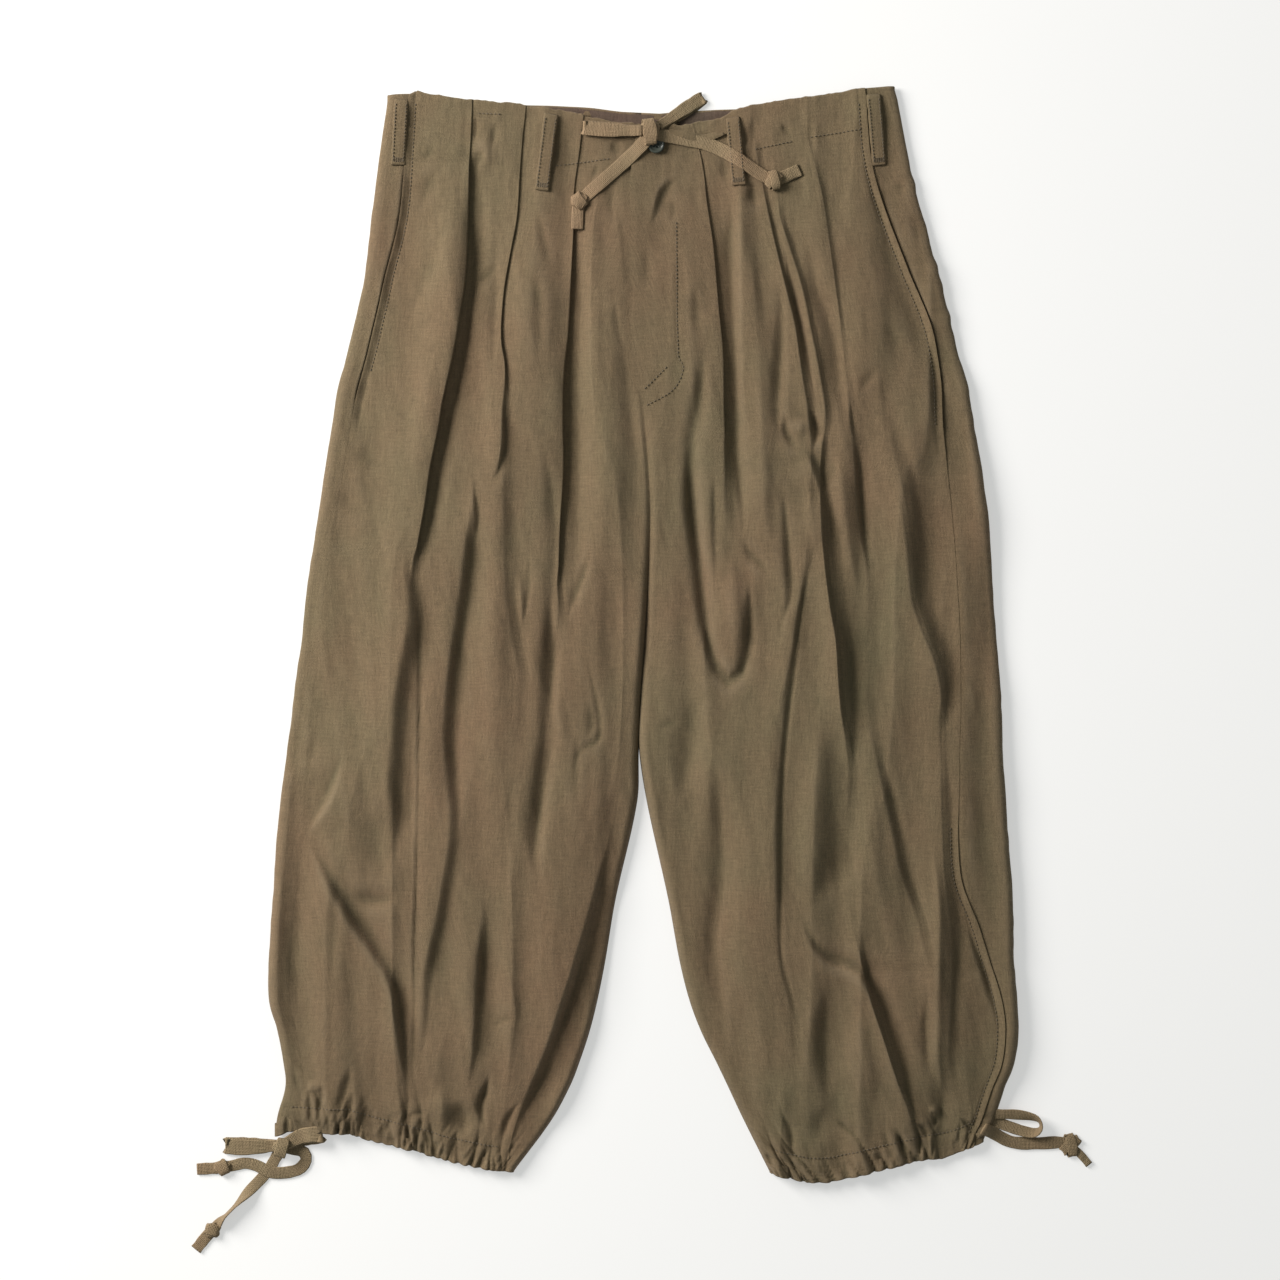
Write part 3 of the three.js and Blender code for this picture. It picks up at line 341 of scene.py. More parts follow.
def soft_noise(x: np.ndarray, y: np.ndarray, size: Point2, seed: int) -> np.ndarray:
    """Smooth random values between -1 and 1.

    Args:
        x: Places across.
        y: Places along.
        size: Size of one hump across and along.
        seed: Number that the random values follow from.

    Returns:
        The value at each place.
    """
    lattice = 64
    values = np.random.default_rng(seed).uniform(-1.0, 1.0, (lattice, lattice))
    u, v = x / size[0], y / size[1]
    iu, iv = np.floor(u).astype(int), np.floor(v).astype(int)
    fu, fv = smooth_step(0, 1, u - iu), smooth_step(0, 1, v - iv)

    def corner(a: int, b: int) -> np.ndarray:
        """Read the lattice beside each place."""
        return values[(iu + a) % lattice, (iv + b) % lattice]

    low = corner(0, 0) * (1 - fu) + corner(1, 0) * fu
    high = corner(0, 1) * (1 - fu) + corner(1, 1) * fu
    return low * (1 - fv) + high * fv


@dataclass(frozen=True)
class Fold:
    """A soft fold of the cloth along a route.

    A ridge rises by its depth, or sinks where that is negative. A step is high on its left
    and drops to its right by its depth over its width; left and right are how far each side
    takes to level out.
    """

    name: str
    kind: FoldKind
    depth: float
    width: float
    route: tuple[Point2, ...]
    left: float = 0.0
    right: float = 0.0

    def height_at(self, x: np.ndarray, y: np.ndarray) -> np.ndarray:
        """Height that the fold adds at each place.

        Args:
            x: Places from side to side.
            y: Places from hem to waist.

        Returns:
            Its heights at the places.
        """
        line = rounded_route(self.route, FOLD_STEPS)
        reach = FOLD_SPAN * max(self.width, self.left, self.right) + self.width
        added = np.zeros(np.shape(x))
        near = (
            (x > line[:, 0].min() - reach) & (x < line[:, 0].max() + reach)
            & (y > line[:, 1].min() - reach) & (y < line[:, 1].max() + reach)
        )
        px, py = x[near], y[near]
        best = np.full(px.shape, np.inf)
        side = np.ones(px.shape)
        place = np.zeros(px.shape)
        for i in range(FOLD_STEPS):
            start = line[i]
            run = line[i + 1] - start
            share = ((px - start[0]) * run[0] + (py - start[1]) * run[1]) / (run @ run)
            share = np.clip(share, 0.0, 1.0)
            away_x = px - start[0] - share * run[0]
            away_y = py - start[1] - share * run[1]
            away = np.hypot(away_x, away_y)
            closer = away < best
            best = np.where(closer, away, best)
            turn = np.where(run[0] * away_y - run[1] * away_x < 0, -1.0, 1.0)
            side = np.where(closer, turn, side)
            place = np.where(closer, (i + share) / FOLD_STEPS, place)
        length = np.linalg.norm(np.diff(line, axis=0), axis=1).sum()
        fade = min(FOLD_FADE, length * FOLD_FADE_SHARE)
        along = place * length
        strength = smooth_step(0.0, fade, np.minimum(along, length - along))
        offset = best * side / (FOLD_POINT + (1 - FOLD_POINT) * strength)
        added[near] = self.depth * strength * self.profile(offset) * (best < reach)
        return added

    def profile(self, offset: np.ndarray) -> np.ndarray:
        """Share of the depth at each distance to the fold's right.

        Args:
            offset: Distances from its line, to the right.

        Returns:
            Shares of its depth.
        """
        if self.kind is FoldKind.RIDGE:
            return np.exp(-(np.abs(offset / self.width) ** 1.7))
        high = 0.5 * np.exp(-(np.abs(np.minimum(offset, 0.0) / self.left) ** 1.4))
        low = -0.5 * np.exp(-((np.maximum(offset - self.width, 0.0) / self.right) ** 2))
        drop = 0.5 - smooth_step(0.0, self.width, offset)
        return np.where(offset <= 0, high, np.where(offset < self.width, drop, low))


@dataclass(frozen=True)
class Pleat:
    """A pressed pleat or hard crease that the panel's columns follow.

    Its left side lies over its right side. Rows of drops are level, height of the step and
    how far the cloth is tucked back under the edge; left and right are how far each side
    takes to level out.
    """

    name: str
    left: float
    right: float
    route: tuple[Point2, ...]
    drops: tuple[tuple[float, float, float], ...]

    def x_at(self, y: np.ndarray) -> np.ndarray:
        """Place of the edge across the garment."""
        xs, ys = zip(*sorted(self.route, key=lambda point: point[1]))
        return curve_through(ys, xs)(y)

    def drop_at(self, y: np.ndarray) -> np.ndarray:
        """Height of the step at the edge."""
        levels, drops, _ = zip(*sorted(self.drops))
        return np.interp(y, levels, drops)

    def tuck_at(self, y: np.ndarray) -> np.ndarray:
        """How far the cloth is tucked back under the edge."""
        levels, _, tucks = zip(*sorted(self.drops))
        return np.interp(y, levels, tucks)


RIGHT_PLEATS = (
    Pleat("first pleat", 20, 26, ((-133.2, 420), (-134, 394), (-135.5, 366), (-135.9, 339),
        (-136.6, 307), (-138.3, 275), (-141.5, 252), (-148, 214), (-155.1, 183), (-159, 159),
        (-165.2, 129), (-169.9, 97), (-175, 68), (-177, 42), (-176.2, 11), (-176.2, -52),
        (-179.3, -98), (-180.1, -155), (-179.1, -216), (-176.2, -275), (-177.7, -334),
        (-176.2, -364), (-174.6, -395)), ((420, 0.5, 2), (372, 0.9, 2), (364, 2.6, 3),
        (308, 3.2, 3), (238, 3.6, 3.5), (167, 4.2, 3.5), (73, 3.2, 2), (34, 1, 0.4),
        (-52, 0.7, 0.3), (-208, 0.5, 0.2), (-341, 0.4, 0.2), (-372, 0, 0))),
    Pleat("second pleat", 14, 18, ((-91.6, 420), (-91.6, 411), (-94.1, 386), (-95.9, 363),
        (-98.4, 324), (-103.5, 296), (-108.2, 269), (-110.5, 241), (-110.2, 226), (-107.7, 211),
        (-106.2, 191), (-106.6, 173), (-105.9, 147), (-105.1, 111), (-103.5, 39), (-99.6, 3),
        (-94.1, -29), (-93.4, -52), (-98, -98), (-105.1, -169), (-107.4, -216), (-102.7, -239),
        (-100.4, -265), (-97.3, -293), (-102.7, -333), (-109.8, -364), (-114.5, -395)), (
        (420, 0.6, 2), (362, 0.9, 2), (300, 1.3, 2.5), (238, 1.8, 2.5), (191, 2, 1.5),
        (159, 1.2, 0.6), (105, 0.8, 0.3), (-44, 0.8, 0.3), (-98, 0.2, 0.1), (-208, 0.2, 0.1),
        (-239, 0.8, 0.3), (-293, 0.8, 0.3), (-317, 0.2, 0.1), (-364, 0, 0))),
    Pleat("third pleat", 14, 20, ((-46.5, 413), (-46.8, 401), (-50.4, 372), (-53.9, 346),
        (-54.5, 313), (-56.2, 278), (-58.5, 234), (-61.7, 202), (-62.5, 168), (-62.1, 129),
        (-64.8, 82), (-65.7, 46), (-63.7, 16), (-68.4, -12), (-71.5, -52), (-70.7, -76),
        (-76.2, -116), (-82.4, -148), (-82.4, -175), (-84, -216), (-85.5, -255), (-88.7, -294),
        (-94.9, -333), (-102, -364), (-107.4, -395)), ((413, 0.6, 2), (347, 0.9, 2), (327, 2, 3),
        (277, 3, 3), (167, 3.4, 3), (58, 2.8, 2), (15, 1.6, 0.8), (-20, 0.8, 0.3),
        (-98, 0.3, 0.1), (-286, 0, 0))),
    Pleat("inner roll", 20, 16, ((-32.4, 413), (-29.3, 339), (-28.5, 261), (-28.5, 183),
        (-27, 105), (-23.8, 27), (-21.5, -52), (-20.7, -114), (-24.6, -155), (-34.8, -195),
        (-46.5, -239), (-57.4, -278), (-73.8, -325), (-86.3, -356), (-97.3, -380),
        (-104.3, -403)), ((-145, 0, 0), (-192, 0.7, 0.2), (-286, 1.4, 0.3), (-356, 1.4, 0.3),
        (-395, 0.6, 0.2))),
)
LEFT_PLEATS = (
    Pleat("first pleat", 14, 16, ((37.1, 407), (41.8, 386), (46.9, 360), (49.4, 337), (54.5, 302),
        (58.8, 252), (62.1, 218), (62.9, 169), (65.2, 136), (66.8, 89), (66.8, 42), (64.5, -5),
        (61.3, -52), (58.2, -98), (57.4, -133), (59, -195), (55.1, -231), (55.9, -255),
        (62.9, -292), (73, -333), (84.8, -372), (95.7, -403)), ((407, 0.5, 1.5), (359, 0.8, 2),
        (300, 1.4, 2), (253, 2.2, 2.5), (167, 2.4, 2), (105, 1.2, 0.5), (58, 0.2, 0.1),
        (-52, 0, 0))),
    Pleat("second pleat", 10, 9, ((85.5, 412), (89.5, 378), (94.9, 347), (100.2, 320),
        (110.4, 276), (118.8, 243), (125.4, 201), (130.7, 169), (131.6, 148), (130.9, 105),
        (129.3, 67), (125.4, 35), (121.2, 3), (113.2, -37), (109.6, -52), (105.5, -92),
        (105.1, -134), (106.5, -195), (111.6, -245), (117.6, -307), (119.9, -348), (121.5, -380),
        (121.5, -415)), ((412, 0.4, 1), (355, 0.8, 1.5), (320, 2.2, 1.5), (238, 2.6, 1.5),
        (175, 2.2, 1), (148, 0.6, 0.2), (73, 0.5, 0.2), (58, 1, 0.4), (-52, 1, 0.4),
        (-98, 0.5, 0.2), (-192, 0.9, 0.3), (-309, 0.9, 0.3), (-341, 0.1, 0))),
    Pleat("second pleat, fold beside it", 8, 12, ((102, 412), (104.3, 378), (105.9, 347),
        (108.6, 323), (115.5, 302), (125.4, 269), (132.4, 235), (139.1, 201), (143.4, 169),
        (140.2, 144), (138.7, 123), (139.5, 91), (141.8, 59), (145.7, 23), (150.4, -6),
        (153.5, -50), (159, -83), (162.9, -112), (161.3, -145), (159.8, -174), (162.9, -208),
        (166.8, -231), (170.7, -253), (177, -282), (187.1, -313), (197.3, -344), (207.4, -368),
        (214.5, -388), (219.9, -407)), ((412, 0.3, 0.5), (339, 1, 0.8), (300, 2.2, 1.2),
        (175, 2.2, 1.2), (152, 1.5, 0.6), (123, 2.2, 1), (27, 3, 1.5), (-52, 3, 1.5),
        (-98, 2, 0.6), (-153, 0.4, 0.2), (-231, 1, 0.4), (-259, 3, 1.5), (-345, 3, 1.5),
        (-372, 2.2, 1), (-403, 0.6, 0.3))),
    Pleat("third pleat", 16, 16, ((129.3, 387), (134, 369), (140.9, 341), (146.5, 302),
        (151, 269), (154.3, 245), (159.5, 201), (162.9, 169), (166.8, 133), (170.7, 91),
        (177.7, 39), (177.7, -5), (177, -52), (180.1, -79), (187.1, -112), (197.3, -154),
        (202.7, -182), (213.7, -215), (221.9, -248), (226.2, -268), (225.4, -307), (226.2, -333),
        (231.6, -360), (239.5, -376), (248.8, -395)), ((387, 0.6, 1.5), (300, 0.9, 1.5),
        (245, 1.4, 1.5), (167, 1.4, 1), (89, 1.4, 0.6), (38, 1, 0.3), (-5, 0.3, 0.1),
        (-75, 0.8, 0.3), (-130, 1.4, 0.5), (-247, 1.4, 0.5), (-309, 0.5, 0.2), (-364, 0, 0))),
    Pleat("outer fold", 16, 20, ((159.8, 412), (170.7, 339), (178.5, 261), (184.8, 208),
        (188.7, 173), (192.6, 143), (200.9, 107), (206.6, 71), (210.5, 31), (218.4, 3),
        (227.7, -20), (233.2, -44), (232.4, -72), (233.2, -114), (234, -153), (235.5, -184),
        (242.6, -235), (243.4, -266), (241.8, -296), (240.2, -333), (247.3, -364),
        (254.3, -388)), ((183, 0, 0), (136, 1.2, 0.4), (58, 1.8, 0.5), (-44, 2.2, 0.8),
        (-83, 1, 0.3), (-184, 0.8, 0.2), (-239, 1.4, 0.4), (-302, 1.2, 0.4), (-348, 0.3, 0.1))),
)
RIGHT_FOLDS = (
    Fold("first pleat, facet", STEP, 4.5, 14, ((-186.3, 67), (-186.3, 46), (-184, 11),
        (-189.5, -18), (-194.9, -50), (-196.5, -76), (-200.4, -126), (-196.5, -175),
        (-191.8, -186)), 14, 16),
    Fold("first pleat, hollow", RIDGE, -2.6, 6, ((-129.3, 378), (-130.9, 361), (-130.9, 331),
        (-130.9, 292), (-134, 261), (-139.5, 222), (-146.5, 183), (-153.5, 152), (-159, 120),
        (-164.5, 89), (-171.5, 50))),
    Fold("first pleat, crest", RIDGE, 2.2, 16, ((-147.3, 347), (-151.2, 292), (-157.4, 238),
        (-168.4, 183), (-176.2, 136), (-184, 89))),
    Fold("second pleat, end", STEP, 2.4, 3.5, ((-108.2, 189), (-109.8, 172), (-110.5, 147),
        (-114.5, 127), (-120.7, 121), (-129.3, 123)), 9, 8),
    Fold("second pleat, turn", STEP, 2, 3.5, ((-132.4, 123), (-132.8, 108), (-131.6, 90),
        (-132.4, 67)), 8, 12),
    Fold("broad hollow", RIDGE, -2.4, 12, ((-129.3, 105), (-130.1, 70), (-133.2, 38), (-140.2, 7),
        (-143.4, -36), (-147.3, -83), (-146.5, -122), (-141.8, -153))),
    Fold("thin crease", RIDGE, -0.9, 2.2, ((-89.5, 70), (-88.7, 50), (-90.2, 27), (-95.7, 0))),
    Fold("thin ridge", RIDGE, 1.1, 3, ((-96.5, 50), (-94.9, 27), (-94.1, 0))),
    Fold("hollow left of the third pleat", RIDGE, -2.4, 7, ((-78.5, 152), (-71.5, 111),
        (-68.4, 73), (-70.7, 34), (-72.3, -5), (-72.3, -44), (-70.7, -76))),
    Fold("hollow right of the third pleat", RIDGE, -2.6, 9, ((-49.6, 308), (-49.6, 261),
        (-52.7, 198), (-52, 152), (-52, 105), (-52, 66), (-55.9, 27))),
    Fold("ridge right of the third pleat", RIDGE, 1.6, 10, ((-35.5, 261), (-34, 183),
        (-30.9, 120), (-29.3, 58))),
    Fold("diagonal crease", RIDGE, -1.6, 3.5, ((-41.8, 73), (-43.4, 58), (-48, 44), (-55.1, 25),
        (-59.8, 7))),
    Fold("beside the fly", STEP, 3, 9, ((-25.4, 343), (-20.7, 316), (-16.8, 284), (-15.2, 257),
        (-12.9, 222), (-9, 191), (-5.1, 159)), 14, 8),
    Fold("hollow beside the fly", RIDGE, -3, 6, ((-15.2, 264), (-14.5, 245), (-12.1, 222),
        (-9, 191), (-5.1, 159), (-1.2, 128), (1.2, 97))),
    Fold("short fly crease", RIDGE, -1.6, 4, ((-23, 261), (-19.1, 238), (-15.2, 217))),
    Fold("pocket crease, upper", RIDGE, -1.2, 6, ((-157.4, 366), (-163.7, 356), (-169.9, 342),
        (-174.6, 330))),
    Fold("pocket crease, small", RIDGE, -0.8, 3, ((-162.9, 382), (-166.8, 375), (-170.7, 368))),
    Fold("pocket crease, lower", RIDGE, -1.3, 7, ((-155.9, 327), (-161.3, 298), (-173, 269),
        (-182.4, 241))),
    Fold("under the pocket", RIDGE, -1, 9, ((-227.7, 147), (-212.1, 134), (-199.6, 128))),
    Fold("under the pocket, second", RIDGE, -0.8, 8, ((-244.9, 112), (-229.3, 102),
        (-212.1, 88))),
    Fold("below the waist, left blob", RIDGE, -1.4, 2.6, ((-113.7, 401), (-116, 390),
        (-117.6, 379))),
    Fold("below the waist, left edge", RIDGE, -1.2, 2.4, ((-130.9, 405), (-130.1, 394),
        (-131.6, 382))),
    Fold("below the waist, blob", RIDGE, 1.6, 7, ((-122.3, 395), (-123, 378), (-121.5, 358))),
    Fold("triangle", RIDGE, -2.2, 3.5, ((-123.8, 378), (-128.5, 370), (-131.6, 364))),
    Fold("loop crease", RIDGE, -1.3, 3.5, ((-84.8, 339), (-80.9, 320), (-77, 302), (-70.7, 280))),
    Fold("loop crease, lower", RIDGE, -1.2, 4.5, ((-88.7, 294), (-82.4, 266), (-80.1, 238),
        (-80.9, 209))),
    Fold("short diagonal", RIDGE, -1.4, 4, ((-112.1, 289), (-121.5, 280), (-131.6, 271))),
    Fold("left of the second pleat", RIDGE, -1.4, 4.5, ((-114.5, 320), (-115.2, 286),
        (-114.5, 264), (-116, 230), (-117.6, 200))),
    Fold("tape crease", RIDGE, -1.2, 2.4, ((-33.2, 368), (-37.1, 361), (-41.8, 352))),
    Fold("waist hollow", RIDGE, -2, 4, ((-27.7, 384), (-21.5, 379), (-19.9, 370))),
    Fold("waist crumple", RIDGE, -1.4, 3, ((-13.7, 372), (-16.8, 364), (-15.2, 358))),
    Fold("waist fold", RIDGE, -1.2, 2.5, ((-37.1, 400), (-31.6, 393), (-30.9, 385))),
    Fold("fly crease, right", RIDGE, -1.2, 4, ((-22.3, 355), (-24.6, 339), (-21.5, 317))),
    Fold("shin fold, arm", STEP, -3.4, 8, ((-233.2, -92), (-244.9, -118), (-259, -147),
        (-263.7, -157)), 10, 16),
    Fold("shin fold", STEP, 4.4, 7, ((-263.7, -156), (-253.5, -180), (-240.2, -207),
        (-229.3, -225), (-219.9, -239), (-205.9, -259), (-197.3, -278), (-193.4, -302),
        (-190.2, -325), (-186.3, -347), (-180.9, -364)), 14, 16),
    Fold("shin hollow", RIDGE, -3, 12, ((-241, -183), (-227.7, -208), (-212.1, -233),
        (-196.5, -255), (-187.1, -274), (-186.3, -302), (-184, -325))),
    Fold("outer hollow", RIDGE, -1.8, 6, ((-267.6, -63), (-270.7, -79), (-273.8, -102),
        (-268.4, -117))),
    Fold("outer crease", RIDGE, -1, 4, ((-254.3, -79), (-258.2, -91), (-259.8, -105))),
    Fold("calf facet", STEP, 3.2, 8, ((-126.2, -200), (-125.4, -221), (-129.3, -255),
        (-131.6, -295), (-134.8, -333), (-138.7, -356)), 10, 14),
    Fold("calf hollow", RIDGE, -2.4, 5, ((-124.6, -212), (-125.4, -247), (-127.7, -286),
        (-130.1, -325))),
    Fold("calf curve", RIDGE, -1.1, 2.6, ((-116, -306), (-112.1, -301), (-105.1, -298),
        (-97.3, -300))),
    Fold("soft line", RIDGE, -1, 5, ((-100.4, -102), (-103.5, -130), (-106.6, -177),
        (-108.2, -212))),
    Fold("inner calf hollow", RIDGE, -2.6, 8, ((-76.2, -48), (-70.7, -76), (-77, -116),
        (-82.4, -148), (-82.4, -175), (-79.3, -200))),
    Fold("inner thigh crease", RIDGE, -1.2, 4, ((-50.4, -71), (-52, -98), (-52, -122),
        (-49.6, -139))),
    Fold("inner thigh crease, upper", RIDGE, -1, 3.5, ((-43.4, -52), (-40.2, -69), (-44.1, -84))),
    Fold("inner roll, drop", STEP, 3.4, 12, ((-28.5, -159), (-38.7, -195), (-50.4, -239),
        (-62.9, -278), (-78.5, -325), (-91.8, -356), (-102.7, -384)), 16, 16),
    Fold("inner side crease", RIDGE, -1.2, 3, ((-43.4, -235), (-52.7, -274), (-65.2, -309),
        (-77, -338))),
    Fold("shin band", RIDGE, -1.2, 5, ((-235.5, -184), (-238.7, -208), (-240.2, -239),
        (-243.4, -274))),
    Fold("floor of the facet", RIDGE, -1.6, 9, ((-227.7, -197), (-212.1, -205), (-196.5, -202),
        (-188.7, -195))),
    Fold("hem left crease", RIDGE, -2, 3.4, ((-280.1, -325), (-277.7, -347), (-271.5, -367),
        (-269.1, -380))),
    Fold("hem left crease, second", RIDGE, -2, 3, ((-273.8, -334), (-269.9, -353), (-267.6, -370),
        (-267.6, -386))),
    Fold("hem lobe", RIDGE, 1.8, 5, ((-262.1, -347), (-256.6, -352), (-254.3, -359))),
    Fold("hem crease at the lobe", RIDGE, -2.2, 2.2, ((-260.5, -356), (-259.8, -369),
        (-259.8, -384))),
    Fold("hem crease right of it", RIDGE, -2.2, 2.4, ((-251.2, -347), (-250.4, -358),
        (-252, -369), (-255.1, -383))),
    Fold("hem dark", RIDGE, -2.4, 4.5, ((-227, -334), (-230.1, -347), (-234, -361),
        (-238.7, -383))),
    Fold("hem dark, branch", RIDGE, -1.8, 2.4, ((-226.2, -353), (-227.7, -367), (-234.8, -381))),
    Fold("hem middle", RIDGE, -2, 2.6, ((-215.2, -366), (-212.1, -375), (-212.1, -394))),
    Fold("hem soft", RIDGE, -1.4, 4, ((-193.4, -370), (-198, -381), (-202.7, -394))),
    Fold("hem cross crease", RIDGE, -1, 2.6, ((-188.7, -377), (-178.5, -374), (-166.8, -372))),
    Fold("hem gathered", RIDGE, -1.8, 2, ((-184.8, -379), (-184, -391), (-184.8, -402))),
    Fold("hem gathered, 2", RIDGE, -2.2, 2.2, ((-177.7, -380), (-177, -392), (-176.2, -405))),
    Fold("hem gathered, 3", RIDGE, -2.2, 2.6, ((-173.8, -383), (-168.4, -392), (-166, -403))),
    Fold("hem gathered, 4", RIDGE, -2, 2, ((-160.5, -391), (-161.3, -400), (-162.1, -408))),
    Fold("calf hem hollow", RIDGE, -2.2, 10, ((-140.2, -360), (-140.2, -376), (-138.7, -394))),
    Fold("calf hem ridge", RIDGE, 2.4, 8, ((-159, -348), (-156.6, -368), (-156.6, -388))),
    Fold("hem strong", RIDGE, -3.2, 3.4, ((-119.1, -341), (-123, -356), (-126.2, -369),
        (-122.3, -389))),
    Fold("hem inner crease", RIDGE, -2, 3, ((-94.9, -362), (-102.7, -373), (-107.4, -384),
        (-111.3, -402))),
    Fold("long fold", STEP, 2.9, 9, ((-131.6, 116), (-138.7, 73), (-145.7, 18), (-151.2, -16),
        (-155.1, -51), (-155.9, -91), (-152, -130), (-151.2, -152), (-155.1, -180),
        (-163.7, -229), (-172.3, -263), (-175.4, -315), (-177.7, -348)), 11, 22),
    Fold("pressed crease", STEP, 1.3, 1.6, ((-176.2, 34), (-176.2, -52), (-177, -145),
        (-180.1, -255), (-180.9, -360)), 5, 6),
    Fold("hook crease", RIDGE, -1.4, 2.4, ((-44.1, -16), (-34, -80), (-50.4, -92), (-52, -120))),
    Fold("under the third pleat", RIDGE, -3.2, 7, ((-73.8, 34), (-71.5, -5), (-73.8, -52),
        (-78.5, -106), (-83.2, -153), (-86.3, -192))),
    Fold("floor of the first pleat", RIDGE, -2.4, 13, ((-199.6, -122), (-205.1, -169),
        (-202.7, -202))),
    Fold("cross fold", RIDGE, -1.2, 5, ((-232.4, -195), (-215.2, -207), (-187.1, -205))),
)
